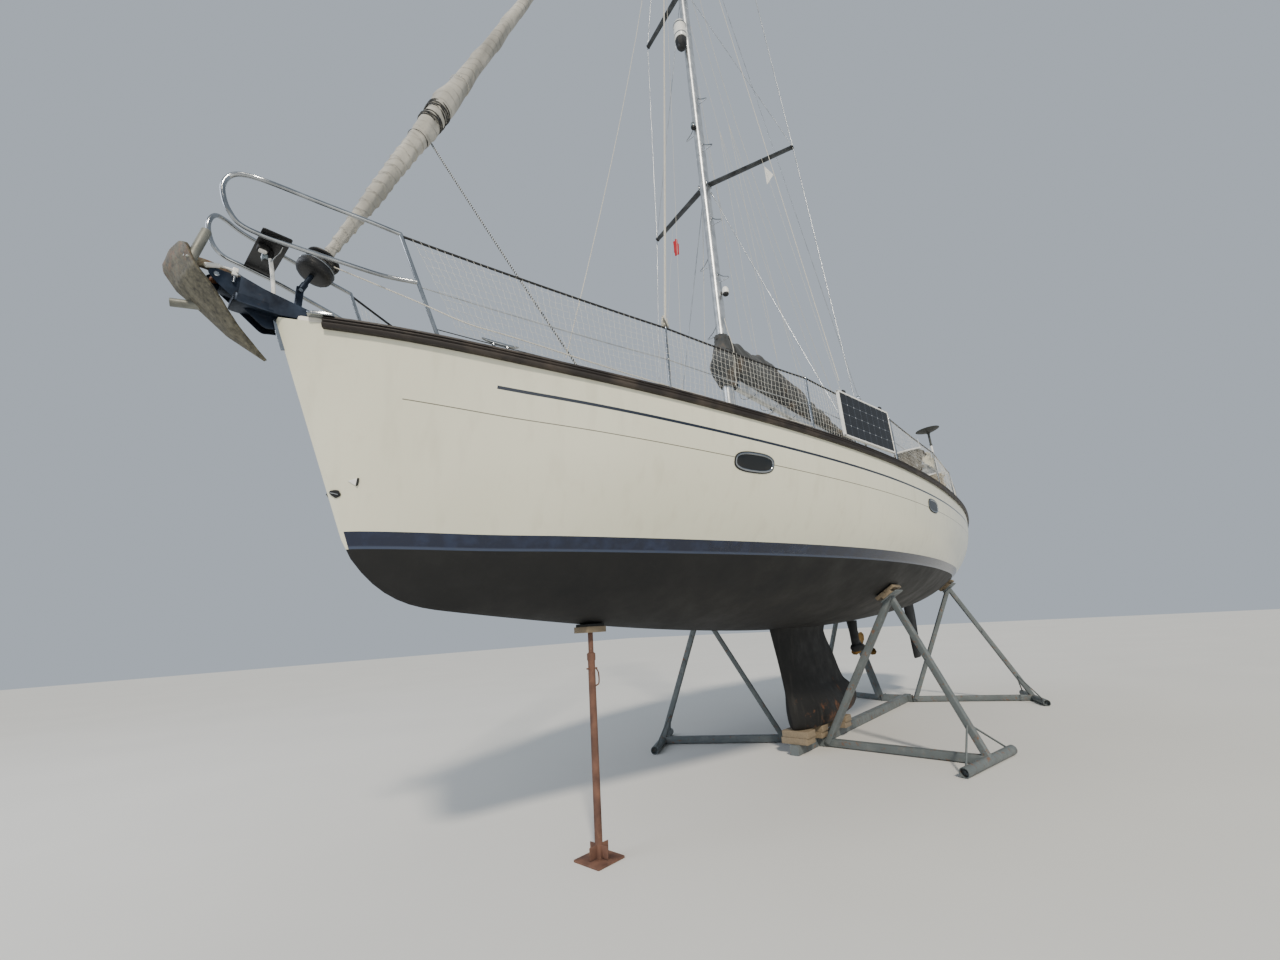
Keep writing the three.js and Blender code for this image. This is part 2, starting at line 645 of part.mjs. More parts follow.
const STANCHION_XS = [3960, 2260, 400, -1700, -3400];
const STANCHION_HEIGHT = 640;
for (const { side, sign } of SIDES) {
  STANCHION_XS.forEach((x, k) => {
    const y = halfBreadth(x) - 88;
    const foot = point(x, sign * y, deckZ(x, y) + 3);
    add(`stanchion_${side}_${k + 1}`, FINISH.stainless, join([
      rod(foot, foot.clone().setZ(foot.z + 40), 24, 12, 18),
      rod(foot, foot.clone().setZ(foot.z + 6), 42, 12),
      rod(foot, foot.clone().setZ(foot.z + STANCHION_HEIGHT), 12.5, 10, 11),
    ]));
  });
}

// Solar panel outboard of the port guard rail

const PANEL = { x: [600, 1750], z: [3490, 4020], y: 1800, turn: 0.14 };
add('solar_panel', FINISH.cell, new THREE.BoxGeometry(
  PANEL.x[1] - PANEL.x[0],
  32,
  PANEL.z[1] - PANEL.z[0],
).rotateZ(-PANEL.turn).translate(
  (PANEL.x[0] + PANEL.x[1]) / 2,
  PANEL.y,
  (PANEL.z[0] + PANEL.z[1]) / 2,
));

// Shallow round antenna on a pole at the port quarter, a little tilted

const DOME = { x: -5870, y: 1080, tilt: [0.0785, 0.069] };
const domeDeck = deckZ(DOME.x, DOME.y) + 4;
add('antenna_dome', FINISH.black, join([
  rod(point(DOME.x, DOME.y, domeDeck), point(DOME.x, DOME.y, 5640), 24, 12),
  rod(point(DOME.x, DOME.y, domeDeck), point(DOME.x, DOME.y, domeDeck + 8), 60, 16),
  turned([[0, 0], [60, 0], [150, 22], [245, 62], [250, 72], [240, 78], [150, 92], [0, 100]], 24)
    .rotateX(DOME.tilt[0]).rotateY(DOME.tilt[1]).translate(DOME.x, DOME.y, 5600),
]));

// Mast with two pairs of swept spreaders

const MAST_HALF = { x: 98, y: 68 };
const GOOSENECK_X = MAST_X - MAST_HALF.x - 48;
const SPREADERS = [
  // [root height, half-span, sweep aft, tip rise]
  [8510, 1350, 400, 60],
  [13130, 1130, 330, 50],
];
const mastBase = Math.round(roofTopZ(MAST_X)) + 14;
const mastTube = new THREE.CylinderGeometry(1, 1, MASTHEAD_Z - mastBase, 20).rotateX(Math.PI / 2)
  .scale(MAST_HALF.x, MAST_HALF.y, 1).translate(MAST_X, 0, (MASTHEAD_Z + mastBase) / 2);
const spreaderTip = ([z, span, sweep, rise], sign) => point(MAST_X - sweep, sign * span, z + rise);
const spreaderArms = SPREADERS.flatMap((row) => SIDES.map(({ sign }) => {
  const tip = spreaderTip(row, sign);
  const section = (x, y, z, chord, thick) => [
    point(x + chord / 2, y, z), point(x, y, z + thick / 2), point(x - chord / 2, y, z),
    point(x, y, z - thick / 2),
  ];
  return loft([
    section(MAST_X, sign * 30, row[0], 110, 34),
    section(tip.x, tip.y, tip.z, 60, 22),
  ]);
}));
add('mast', FINISH.alloy, join([
  mastTube,
  block([MAST_X - 150, MAST_X + 150], [-110, 110], [mastBase - 4, mastBase + 12]),
  block([MAST_X - 210, MAST_X + 190], [-45, 45], [MASTHEAD_Z - 90, MASTHEAD_Z + 12]),
  rod(onStay(stayLength - 250), stayHead, 10, 10),
  ...[BOOM_Z + 76, BOOM_Z - 86, mastBase + 144].map((z) => block(
    [GOOSENECK_X - 24, MAST_X - 60],
    [-26, 26],
    [z, z + 10],
  )),
  ...spreaderArms,
]));

// Standing rigging: each wire is one solid, clear of what it is pinned to

const WIRE = 6;
const wirePath = (points, radius = WIRE) => join(points.slice(1).flatMap((to, k) => {
  const from = points[k];
  const joint = new THREE.IcosahedronGeometry(radius * 1.05, 1).translate(...to.toArray());
  return k + 2 < points.length ? [rod(from, to, radius, 8), joint] : [rod(from, to, radius, 8)];
}));
const CHAINPLATE = { x: 780, y: 1640 };
for (const { side, sign } of SIDES) {
  const chainY = CHAINPLATE.y;
  const deckAt = (x, y) => point(x, sign * y, deckZ(x, y) + 5);
  const outside = (row) => spreaderTip(row, sign).add(point(0, sign * (WIRE + 5), 0));
  const cap = [
    deckAt(CHAINPLATE.x, chainY), outside(SPREADERS[0]), outside(SPREADERS[1]),
    point(MAST_X - 20, sign * (MAST_HALF.y + 12), MASTHEAD_Z - 40),
  ];
  const turnbuckle = (from, to) => rod(from, from.clone().lerp(to, 330 / from.distanceTo(to)), 15, 10);
  add(`cap_shroud_${side}`, FINISH.stainless, solid(turnbuckle(cap[0], cap[1])).add(wirePath(cap)));
  const lower = [
    deckAt(CHAINPLATE.x - 140, chainY - 60),
    point(MAST_X - 40, sign * (MAST_HALF.y + 8), SPREADERS[0][0] - 130),
  ];
  add(`lower_shroud_${side}`, FINISH.stainless, solid(turnbuckle(lower[0], lower[1])).add(wirePath(lower)));
}
const BACKSTAY_SPLIT = { x: -4880, z: 6600 };
const backstayHead = point(MAST_X - 216, 0, MASTHEAD_Z - 40);
const split = point(BACKSTAY_SPLIT.x, 0, BACKSTAY_SPLIT.z);
add('backstay', FINISH.stainless, join([
  rod(backstayHead, split, WIRE, 8),
  block([split.x - 30, split.x + 30], [-40, 40], [split.z - 40, split.z + 20]),
  ...SIDES.map(({ sign }) => rod(
    point(split.x, sign * 20, split.z - 20),
    point(-6390, sign * 1000, deckZ(-6390, 1000) + 3),
    WIRE,
    8,
  )),
]));

// Furling drum and rolled headsail, which turn together round the forestay

const alongStay = (profile, segments) => {
  const along = new THREE.Vector3().subVectors(stayHead, stayFoot).normalize();
  const turn = new THREE.Quaternion().setFromUnitVectors(point(0, 0, 1), along);
  return turned(profile, segments).applyQuaternion(turn).translate(...stayFoot.toArray());
};
add('furler_drum', FINISH.black, alongStay([
  [0, DRUM.low], [70, DRUM.low], [DRUM.radius, DRUM.low + 22], [DRUM.radius, DRUM.low + 72], [72, DRUM.low + 80],
  [72, DRUM.high - 40], [105, DRUM.high - 32], [105, DRUM.high - 14], [60, DRUM.high], [0, DRUM.high],
], 24));
const ROLL = [
  // [radius, distance along the stay]
  [0, DRUM.high + GAP], [32, DRUM.high + GAP], [33, 500], [47, 870], [59, 1160], [64, 1500], [76, 1940],
  [90, 2240], [96, 2640], [79, 3000], [72, 3500], [66, 4200], [58, 5120], [52, 7000], [46, 9000],
  [38, 11500], [30, 13300], [26, 13700], [26, stayLength - 260], [0, stayLength - 260],
];
add('furled_headsail', FINISH.sail, alongStay(ROLL, 14));

// Boom on its gooseneck, with the vang below it and the stowed mainsail under its cover

const boomTube = new THREE.CylinderGeometry(1, 1, BOOM_LENGTH, 18).rotateZ(Math.PI / 2)
  .scale(1, 58, 92).translate(GOOSENECK_X - 60 - BOOM_LENGTH / 2, 0, BOOM_Z);
add('boom', FINISH.alloy, join([
  boomTube,
  rod(point(GOOSENECK_X, 0, BOOM_Z - 70), point(GOOSENECK_X, 0, BOOM_Z + 70), 20, 14),
  block([GOOSENECK_X - 70, GOOSENECK_X], [-18, 18], [BOOM_Z - 30, BOOM_Z + 30]),
]));
const vangFoot = point(GOOSENECK_X, 0, mastBase + 190);
const vangHead = point(GOOSENECK_X - 1150, 0, BOOM_Z - 92 - 30);
add('vang', FINISH.alloy, join([
  rod(vangFoot.clone().add(point(0, 0, -30)), vangFoot.clone().add(point(0, 0, 60)), 18, 12),
  rod(vangFoot, vangFoot.clone().lerp(vangHead, 0.62), 26, 12),
  rod(vangFoot, vangHead, 17, 12),
  block([vangHead.x - 45, vangHead.x + 45], [-14, 14], [vangHead.z - 20, BOOM_Z - 92 - 3]),
]));
const COVER = [
  // [distance aft of the gooseneck, half-width, bottom above the boom axis, top above the boom axis]
  [70, 120, 110, 720], [250, 150, 100, 830], [900, 175, 98, 800], [1900, 170, 97, 680], [3000, 140, 97, 470],
  [4100, 110, 97, 290], [4800, 70, 97, 180],
];
add('sail_cover', FINISH.cover, loft(COVER.map(([aft, half, low, high]) => {
  const x = GOOSENECK_X - aft;
  const across = [[0.55, 0], [0.95, 0.22], [0.9, 0.55], [0.55, 0.86], [0.12, 1]];
  const port = across.map(([y, z]) => point(x, y * half, BOOM_Z + low + (high - low) * z));
  const starboard = across.map(([y, z]) => point(x, -y * half, BOOM_Z + low + (high - low) * z)).reverse();
  return [...port, ...starboard];
})));

// Steering pedestal and wheel

add('steering_pedestal', FINISH.deck, join([
  loft([[SOLE_Z + GAP, 150, 170], [SOLE_Z + 60, 100, 120], [SOLE_Z + 700, 75, 95], [SOLE_Z + 960, 85, 110]]
    .map(([z, halfX, halfY]) => [
      point(-4880 + halfX, halfY * 0.6, z), point(-4880 + halfX * 0.6, halfY, z),
      point(-4880 - halfX * 0.6, halfY, z), point(-4880 - halfX, halfY * 0.6, z),
      point(-4880 - halfX, -halfY * 0.6, z), point(-4880 - halfX * 0.6, -halfY, z),
      point(-4880 + halfX * 0.6, -halfY, z), point(-4880 + halfX, -halfY * 0.6, z),
    ])),
]));
const SPOKES = 6;
const wheelRim = new THREE.TorusGeometry(WHEEL_RADIUS, 13, 8, 36).rotateY(Math.PI / 2);
const wheelParts = [wheelRim];
for (let k = 0; k < SPOKES; k += 1) {
  const angle = (k * 2 * Math.PI) / SPOKES;
  wheelParts.push(rod(
    point(0, 0, 0),
    point(0, WHEEL_RADIUS * Math.sin(angle), WHEEL_RADIUS * Math.cos(angle)),
    8,
    8,
  ));
}
wheelParts.push(rod(point(-22, 0, 0), point(44, 0, 0), 45, 18));
add('steering_wheel', FINISH.stainless, join(wheelParts.map(
  (piece) => piece.translate(WHEEL_CENTRE.x, 0, WHEEL_CENTRE.z),
)));

// Winches and windlass

for (const { side, sign } of SIDES) {
  const base = deckEdgeZ(-3700) + 284;
  add(`winch_${side}`, FINISH.stainless, turned([
    [0, 0], [85, 0], [85, 22], [58, 40], [55, 100], [68, 135], [68, 152], [0, 160],
  ], 20).translate(-3700, sign * 1055, base));
}
add('windlass', FINISH.stainless, turned([
  [0, 0], [110, 0], [110, 40], [70, 60], [66, 120], [82, 150], [60, 175], [0, 180],
], 20).translate(4880, 0, deckZ(4880, 0) + 8));

// Boarding ladder folded up against the transom, pinned at its foot

const LADDER = { top: 3900, low: 2950, half: 190, tube: 13, rungs: 4 };
const ladderEnd = (sign, z) => point(-HULL_HALF_LENGTH - 60, sign * LADDER.half, z);
add('boarding_ladder', FINISH.stainless, join([
  ...[1, -1].map((sign) => rod(ladderEnd(sign, LADDER.low), ladderEnd(sign, LADDER.top), LADDER.tube, 8)),
  ...Array.from({ length: LADDER.rungs }, (_, k) => {
    const z = LADDER.low + ((LADDER.top - LADDER.low) * (k + 0.02)) / (LADDER.rungs - 1 + 0.04);
    return rod(ladderEnd(1, z), ladderEnd(-1, z), LADDER.tube, 8);
  }),
]));

// Cradle: a long beam under the keel, two cross beams, and four propping arms

const BEAM = { height: 120, width: 120 };
const BEARER_TOP = 275;
const CRADLE_XS = { fore: -180, aft: -4230 };
const CENTRE_END = { port: 130, starboard: 430 };
const BEARERS = [
  // [x range, half-width] of the timber blocks under the keel
  [-1010, -790, 190], [-230, -30, 170], [190, 430, 180],
];
const halfBeam = BEAM.width / 2;
const crossBeam = (x) => block([x - halfBeam, x + halfBeam], [-CENTRE_END.starboard, CENTRE_END.port], [0, BEAM.height]);
add('cradle_base', FINISH.steel, join([
  block([CRADLE_XS.aft - 180, 480], [-halfBeam, halfBeam], [0, BEAM.height]),
  crossBeam(CRADLE_XS.fore),
  crossBeam(CRADLE_XS.aft),
  ...BEARERS.map(([x0, x1, y]) => block([x0, x1], [-y, y], [BEAM.height - 1, BEARER_TOP - 0.5])),
]));

const ARM_FRAMES = [
  // [name, outer foot x and y, head x and y, turn of the foot tube in radians]
  ['fore_port', -65, 2030, -180, 1290, -0.14],
  ['fore_starboard', 690, -1985, 400, -1320, 0],
  ['aft_port', -4960, 1950, -4560, 1060, 0],
  ['aft_starboard', -4960, -1950, -4560, -1060, 0],
];
const ARM = { innerTube: [150, 70], outerTube: 76, beam: 90, footRadius: 52, footHalf: 640 };
for (const [name, footX, footY, headX, headY, turn] of ARM_FRAMES) {
  const side = footY > 0 ? 'port' : 'starboard';
  const start = point(name.startsWith('fore') ? CRADLE_XS.fore : CRADLE_XS.aft, 0, 0);
  start.y = Math.sign(footY) * (CENTRE_END[side] + GAP);
  const square = new THREE.Vector2(footX - start.x, footY - start.y).normalize();
  const outward = (from, run, z) => point(from.x + square.x * run, from.y + square.y * run, z);
  const tee = new THREE.Vector2(-square.y, square.x).rotateAround(new THREE.Vector2(), turn);
  const along = (run) => point(footX + tee.x * run, footY + tee.y * run, ARM.footRadius);
  const padZ = lowestHullZ(headX, Math.abs(headY));
  const head = point(headX, headY, padZ - 100);
  const foot = point(footX, footY, ARM.footRadius);
  const knee = foot.clone().lerp(head, 0.2);
  const beamZ = ARM.beam / 2 + 10;
  const clearOfCentre = block(
    [start.x - 400, start.x + 400],
    [Math.min(start.y, 0), Math.max(start.y, 0)],
    [-10, 400],
  );
  add(`cradle_arm_${name}`, FINISH.steel, cut(join([
    bar(outward(start, -60, beamZ), foot.clone().setZ(beamZ), ARM.beam, ARM.beam),
    bar(outward(start, 50, beamZ), head, ...ARM.innerTube),
    bar(foot, head, ARM.outerTube),
    rod(along(-ARM.footHalf), along(ARM.footHalf), ARM.footRadius, 14),
    rod(knee, along(ARM.footHalf - 40), 11, 6),
    rod(knee, along(40 - ARM.footHalf), 11, 6),
    hullPad(headX, headY, padZ),
  ]), [hullBelow(2), clearOfCentre]));
}

function lowestHullZ(x, y) {
  let z = keelLineZ(x);
  while (hullHalfWidth(x, z) < y) z += 2;
  return z;
}

// A pad under the hull, square to the hull's slope across the boat
function hullPad(x, y, z) {
  const reach = 100;
  const rise = lowestHullZ(x, Math.abs(y) + reach) - lowestHullZ(x, Math.abs(y) - reach);
  const slope = Math.atan2(rise, 2 * reach);
  return new THREE.BoxGeometry(320, 300, 120).rotateX(Math.sign(y) * slope)
    .translate(x, y, z - 70);
}

// Bow prop: a telescoping steel tube with a padded head

const PROP = { foot: { x: 3970, y: 110 }, head: { x: 3930, y: 45 } };
const propTop = lowestHullZ(PROP.head.x, PROP.head.y) - 3;
const propFoot = point(PROP.foot.x, PROP.foot.y, 12);
const propHead = point(PROP.head.x, PROP.head.y, propTop - 20);
const alongProp = (share) => propFoot.clone().lerp(propHead, share);
add('bow_prop', FINISH.rust, join([
  rod(propFoot, alongProp(0.64), 30, 14),
  rod(alongProp(0.62), propHead, 22, 14),
  block([PROP.foot.x - 140, PROP.foot.x + 140], [PROP.foot.y - 140, PROP.foot.y + 140], [0, 14]),
  block([PROP.head.x - 110, PROP.head.x + 110], [PROP.head.y - 90, PROP.head.y + 90], [propTop - 70, propTop + 40]),
]).subtract(solid(hullBelow(1))));

export default yacht;
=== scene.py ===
import math

import bpy
import numpy as np
from mathutils import Matrix, Vector


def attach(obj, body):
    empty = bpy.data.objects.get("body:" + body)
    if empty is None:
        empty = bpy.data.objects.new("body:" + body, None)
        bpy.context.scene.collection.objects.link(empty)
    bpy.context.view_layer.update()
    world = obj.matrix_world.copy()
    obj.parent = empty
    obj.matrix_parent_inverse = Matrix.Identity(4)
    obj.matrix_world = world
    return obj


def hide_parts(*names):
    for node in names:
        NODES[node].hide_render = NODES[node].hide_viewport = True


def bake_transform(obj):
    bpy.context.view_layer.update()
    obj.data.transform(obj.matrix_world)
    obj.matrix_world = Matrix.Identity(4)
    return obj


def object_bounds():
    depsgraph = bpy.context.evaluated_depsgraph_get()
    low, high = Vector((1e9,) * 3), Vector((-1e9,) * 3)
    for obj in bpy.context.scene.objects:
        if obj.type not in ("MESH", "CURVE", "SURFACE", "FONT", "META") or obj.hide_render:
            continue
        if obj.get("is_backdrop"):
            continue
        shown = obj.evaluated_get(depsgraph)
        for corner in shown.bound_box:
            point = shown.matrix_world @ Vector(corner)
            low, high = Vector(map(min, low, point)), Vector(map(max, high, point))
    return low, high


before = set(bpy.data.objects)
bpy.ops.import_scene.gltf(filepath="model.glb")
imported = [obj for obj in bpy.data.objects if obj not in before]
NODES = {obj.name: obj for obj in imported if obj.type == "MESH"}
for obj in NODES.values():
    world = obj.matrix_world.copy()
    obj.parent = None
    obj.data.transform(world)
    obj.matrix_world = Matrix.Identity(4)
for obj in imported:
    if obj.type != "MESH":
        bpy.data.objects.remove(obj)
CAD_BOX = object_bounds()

bl_info = {
    "name": "Sailing yacht on its cradle",
    "version": (1, 0, 0),
    "blender": (4, 5, 0),
    "location": "View3D > Sidebar > Yacht",
    "description": "Dresses the packed yacht: hull lines, rigging, deck gear, canvas and cradle",
    "category": "Object",
}

YACHT = "yacht"
SIDES = (("port", 1), ("starboard", -1))
FORWARD, PORT, UP = (1, 0, 0), (0, 1, 0), (0, 0, 1)
# Height of the hull's top edge as a cubic in x: its four factors, the constant first
SHEER_CUBIC = (3.334, 0.0032, 0.0047, 0.00036)

# Hull lines, metres

# x, half-breadth at the deck edge
SHEER = [(6.43, 0.034), (5.9, 0.386), (5.36, 0.665), (4.29, 1.113), (3.22, 1.457), (2.14, 1.714),
    (1.07, 1.878), (0, 1.955), (-1.07, 1.961), (-2.14, 1.909), (-3.21, 1.819), (-4.29, 1.681), (-5.36, 1.504),
    (-6.43, 1.299)]
FULLNESS = [
    # x, flare exponent, bilge exponent
    (6.43, 1.0, 1.25), (5.92, 1.0, 1.3), (5.2, 1.15, 1.35), (4.6, 1.5, 1.5), (3.5, 1.85, 1.6),
    (2.4, 2.2, 1.6), (0.8, 2.7, 1.5), (-1.2, 2.8, 1.5), (-2.3, 2.6, 1.65), (-3.6, 2.25, 1.95),
    (-4.6, 2.05, 2.0), (-6.43, 2.0, 2.0),
]
BOW_X, STERN_X = 6.43, -6.43
HULL_WALL = 0.016
DECK_THICK, CAMBER = 0.032, 0.04


def curve_value(table, x, column=1):
    """A cubic between each two rows, whose slope at a row is that of the line between its neighbours."""
    rows = np.asarray(table, float)[::-1]
    at, value = rows[:, 0], rows[:, column]
    slope = np.empty_like(value)
    slope[1:-1] = (value[2:] - value[:-2]) / (at[2:] - at[:-2])
    slope[0] = (value[1] - value[0]) / (at[1] - at[0])
    slope[-1] = (value[-1] - value[-2]) / (at[-1] - at[-2])
    x = np.clip(x, at[0], at[-1])
    k = np.clip(np.searchsorted(at, x, side="right") - 1, 0, len(at) - 2)
    span = at[k + 1] - at[k]
    u = (x - at[k]) / span
    a, b, s, t = value[k], value[k + 1], slope[k] * span, slope[k + 1] * span
    return a + s * u + (3 * (b - a) - 2 * s - t) * u**2 + (2 * (a - b) + s + t) * u**3


def half_breadth(x):
    """Half the hull's width at the deck edge, from the table."""
    return curve_value(SHEER, x)


def sheer_z(x):
    """Height of the hull's top edge: a cubic in x."""
    a, b, c, d = SHEER_CUBIC
    return a + b * x + c * x**2 + d * x**3


def keel_z(x):
    """Height of the centreline: a parabola each side of the lowest point, a sweep up the forefoot, a
    straight stem."""
    x = np.asarray(x, float)
    rocker = lambda at: 1.53 + np.where(at > 0, 0.0108, 0.0138) * at**2
    sweep = rocker(x + 0.3) + (2.25 - rocker(6.22)) * (np.clip(x - 5.2, 0, None) / 0.72) ** 3.2
    stem = 2.25 + (sheer_z(BOW_X) - 0.02 - 2.25) * (x - 5.92) / 0.51
    return np.where(x >= 5.92, stem, sweep)


def hull_half(x, z):
    """Half-width at a height: the half-breadth times a rounded power curve of the share of the height."""
    low = keel_z(x)
    share = np.clip((z - low) / (sheer_z(x) - low), 0, 1)
    rise = 1 - (1 - share) ** curve_value(FULLNESS, x, 1)
    return half_breadth(x) * rise ** (1 / curve_value(FULLNESS, x, 2))


def deck_edge_z(x):
    """Height of the deck's edge: the hull's top plus the deck's thickness."""
    return sheer_z(x) + DECK_THICK


def deck_z(x, y):
    """Height of the deck: its edge plus a camber that falls with the square of y over the half-breadth."""
    half = np.maximum(half_breadth(x), 0.001)
    return deck_edge_z(x) + CAMBER * half * (1 - np.minimum((y / half) ** 2, 1))


def lowest_hull_z(x, y):
    """Lowest height at which the hull is at least y wide."""
    z = np.linspace(float(keel_z(x)), float(sheer_z(x)), 1200)
    return float(z[np.argmax(hull_half(x, z) >= y)])


# Surfaces


def on_hull(x, z, sign, lift=0.0):
    """The point of the hull's side at (x, z), lifted along the skin's outward normal."""
    x, z = np.broadcast_arrays(np.asarray(x, float), np.asarray(z, float))
    step = 0.005
    along = (hull_half(x + step, z) - hull_half(x - step, z)) / (2 * step)
    up = (hull_half(x, z + step) - hull_half(x, z - step)) / (2 * step)
    out = unit(np.stack([-along, np.ones_like(along), -up], -1))
    p = np.stack([x, hull_half(x, z), z], -1) + out * lift
    return p * [1, sign, 1]


def unit(v):
    """Each vector over its own length."""
    v = np.asarray(v, float)
    return v / np.maximum(np.linalg.norm(v, axis=-1, keepdims=True), 1e-12)


class Surface:
    """Gathers grids of points into one mesh. Each grid is rows of rings, with its own finish number."""

    def __init__(self):
        self.points, self.faces, self.uvs, self.marks, self.count = [], [], [], [], 0

    def grid(self, p, wrap=True, caps=True, finish=0, flip=False):
        """Quads between neighbouring rows and columns; the last column joins the first where wrap is true."""
        p = np.asarray(p, float)
        rows, cols = p.shape[:2]
        r, c = np.meshgrid(np.arange(rows - 1), np.arange(cols if wrap else cols - 1), indexing="ij")
        r, c = r.ravel(), c.ravel()
        corner = [(r, c), (r, c + 1), (r + 1, c + 1), (r + 1, c)]
        if flip:
            corner = corner[::-1]
        quads = np.stack([a * cols + b % cols for a, b in corner], -1) + self.count
        ring = np.concatenate([p, p[:, :1]], 1) if wrap else p
        along = np.concatenate([[0], np.cumsum(np.linalg.norm(np.diff(p, axis=0), axis=2).mean(1))])
        around = np.concatenate([[0], np.cumsum(np.linalg.norm(np.diff(ring, axis=1), axis=2).mean(0))])
        uv = np.stack([np.stack([around[b], along[a]], -1) for a, b in corner], 1)
        self.keep(p.reshape(-1, 3), quads, uv, finish)
        if caps and wrap:
            for row, turn in ((0, not flip), (rows - 1, flip)):
                loop = np.arange(cols) + row * cols + self.count - rows * cols
                loop = loop[::-1] if turn else loop
                local = p[row] - p[row].mean(0)
                flat = np.stack([local[:, 0] + local[:, 1], local[:, 2]], -1)
                flat = flat[::-1] if turn else flat
                self.keep_faces(loop[None], flat[None], finish)
        return self

    def keep(self, points, faces, uv, finish):
        """Adds points with their faces, sheet positions and finish number."""
        self.points.append(points)
        self.count += len(points)
        self.keep_faces(faces, uv, finish)

    def keep_faces(self, faces, uv, finish):
        """Adds faces on points that are there already."""
        self.faces.append(faces)
        self.uvs.append(uv)
        self.marks.append(np.full(len(faces), finish))

    def mesh(self, name):
        """The grids so far, as one mesh."""
        mesh = bpy.data.meshes.new(name)
        points = np.concatenate(self.points)
        sizes = np.concatenate([np.full(len(f), f.shape[1]) for f in self.faces])
        loops = np.concatenate([f.ravel() for f in self.faces])
        starts = np.concatenate([[0], np.cumsum(sizes)[:-1]])
        mesh.vertices.add(len(points))
        mesh.vertices.foreach_set("co", points.ravel())
        mesh.loops.add(len(loops))
        mesh.loops.foreach_set("vertex_index", loops)
        mesh.polygons.add(len(sizes))
        mesh.polygons.foreach_set("loop_start", starts)
        mesh.polygons.foreach_set("material_index", np.concatenate(self.marks))
        mesh.update(calc_edges=True)
        layer = mesh.uv_layers.new(name="Flow")
        layer.data.foreach_set("uv", np.concatenate([u.reshape(-1, 2) for u in self.uvs]).ravel())
        mesh.validate()
        return mesh


def finish_piece(name, shape, body, looks, slot=None, replaces=(), angle=40, bevel=None, merge=False):
    """Makes an object of a Surface or a mesh, gives it its finishes, and lets it ride on its body."""
    mesh = shape.mesh(name) if isinstance(shape, Surface) else shape
    piece = bpy.data.objects.new(name, mesh)
    bpy.context.scene.collection.objects.link(piece)
    for look in looks.split():
        mesh.materials.append(finish(look))
    if merge:
        weld(mesh)
    mesh.polygons.foreach_set("use_smooth", np.ones(len(mesh.polygons), bool))
    if angle < 180:
        mesh.set_sharp_from_angle(angle=math.radians(angle))
    if bevel:
        mod = piece.modifiers.new("Edges", "BEVEL")
        mod.width, mod.segments, mod.limit_method = bevel, 2, "ANGLE"
        mod.angle_limit = math.radians(35)
        mod.harden_normals = False
    if body:
        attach(piece, body)
    if replaces:
        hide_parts(*([replaces] if isinstance(replaces, str) else replaces))
    return piece


def weld(mesh, distance=1e-5):
    """Merges coincident points and turns every face outwards."""
    import bmesh
    work = bmesh.new()
    work.from_mesh(mesh)
    bmesh.ops.remove_doubles(work, verts=work.verts, dist=distance)
    bmesh.ops.dissolve_degenerate(work, edges=work.edges, dist=1e-7)
    bmesh.ops.recalc_face_normals(work, faces=work.faces)
    work.to_mesh(mesh)
    work.free()


def refined(node, looks, body, slot, bevel=0.004, name=None):
    """A copy of a CAD node with its points merged, its flat faces joined and its edges rounded."""
    import bmesh
    mesh = NODES[node].data.copy()
    mesh.materials.clear()
    work = bmesh.new()
    work.from_mesh(mesh)
    bmesh.ops.remove_doubles(work, verts=work.verts, dist=1e-5)
    bmesh.ops.dissolve_limit(work, angle_limit=math.radians(1), verts=work.verts, edges=work.edges)
    work.to_mesh(mesh)
    work.free()
    return finish_piece(name or node.replace("_", "."), mesh, body, looks, slot, node, bevel=bevel)


def side_axis(path):
    """The direction in which a path spreads least: what a flat bend turns about."""
    centred = path - path.mean(0)
    return np.linalg.svd(centred, full_matrices=True)[2][2]


def frames(path, axis=None):
    """Two unit vectors across a path at each of its points: across the turning axis, and square to both."""
    path = np.asarray(path, float)
    tangent = unit(np.gradient(path, axis=0))
    axis = side_axis(path) if axis is None else np.asarray(axis, float)
    side = unit(np.cross(tangent, axis))
    return tangent, side, np.cross(side, tangent)


def smooth_path(points, steps=8, closed=False):
    """A centripetal-free Catmull-Rom curve through points: each span is a cubic of its four neighbours."""
    p = np.asarray(points, float)
    if closed:
        q = np.concatenate([p[-1:], p, p[:2]])
    else:
        q = np.concatenate([2 * p[:1] - p[1:2], p, 2 * p[-1:] - p[-2:-1]])
    a, b, c, d = (q[k: len(q) - 3 + k][:, None] for k in range(4))
    t = np.linspace(0, 1, steps, endpoint=False)[None, :, None]
    out = 0.5 * (2 * b + (c - a) * t + (2 * a - 5 * b + 4 * c - d) * t**2 + (3 * b - a - 3 * c + d) * t**3)
    out = out.reshape(-1, 3)
    return out if closed else np.concatenate([out, p[-1:]])


def tube(path, radius, sides=12, axis=None):
    """A circle carried along a path, its radius given once or at each point."""
    path = np.asarray(path, float)
    _, side, up = frames(path, axis)
    angle = np.linspace(0, 2 * np.pi, sides, endpoint=False)[None, :]
    radius = np.broadcast_to(np.asarray(radius, float), (len(path),))[:, None] * np.ones((1, sides))
    return (path[:, None] + side[:, None] * (np.cos(angle) * radius)[..., None]
            + up[:, None] * (np.sin(angle) * radius)[..., None])


def swept(path, section, axis=UP, scale=None):
    """A flat outline carried along a path: its first number goes across the axis, its second along it."""
    path = np.asarray(path, float)
    _, side, up = frames(path, axis)
    section = np.asarray(section, float)
    scale = np.ones(len(path)) if scale is None else np.asarray(scale, float)
    return (path[:, None] + side[:, None] * (section[:, 0][None] * scale[:, None])[..., None]
            + up[:, None] * (section[:, 1][None] * scale[:, None])[..., None])


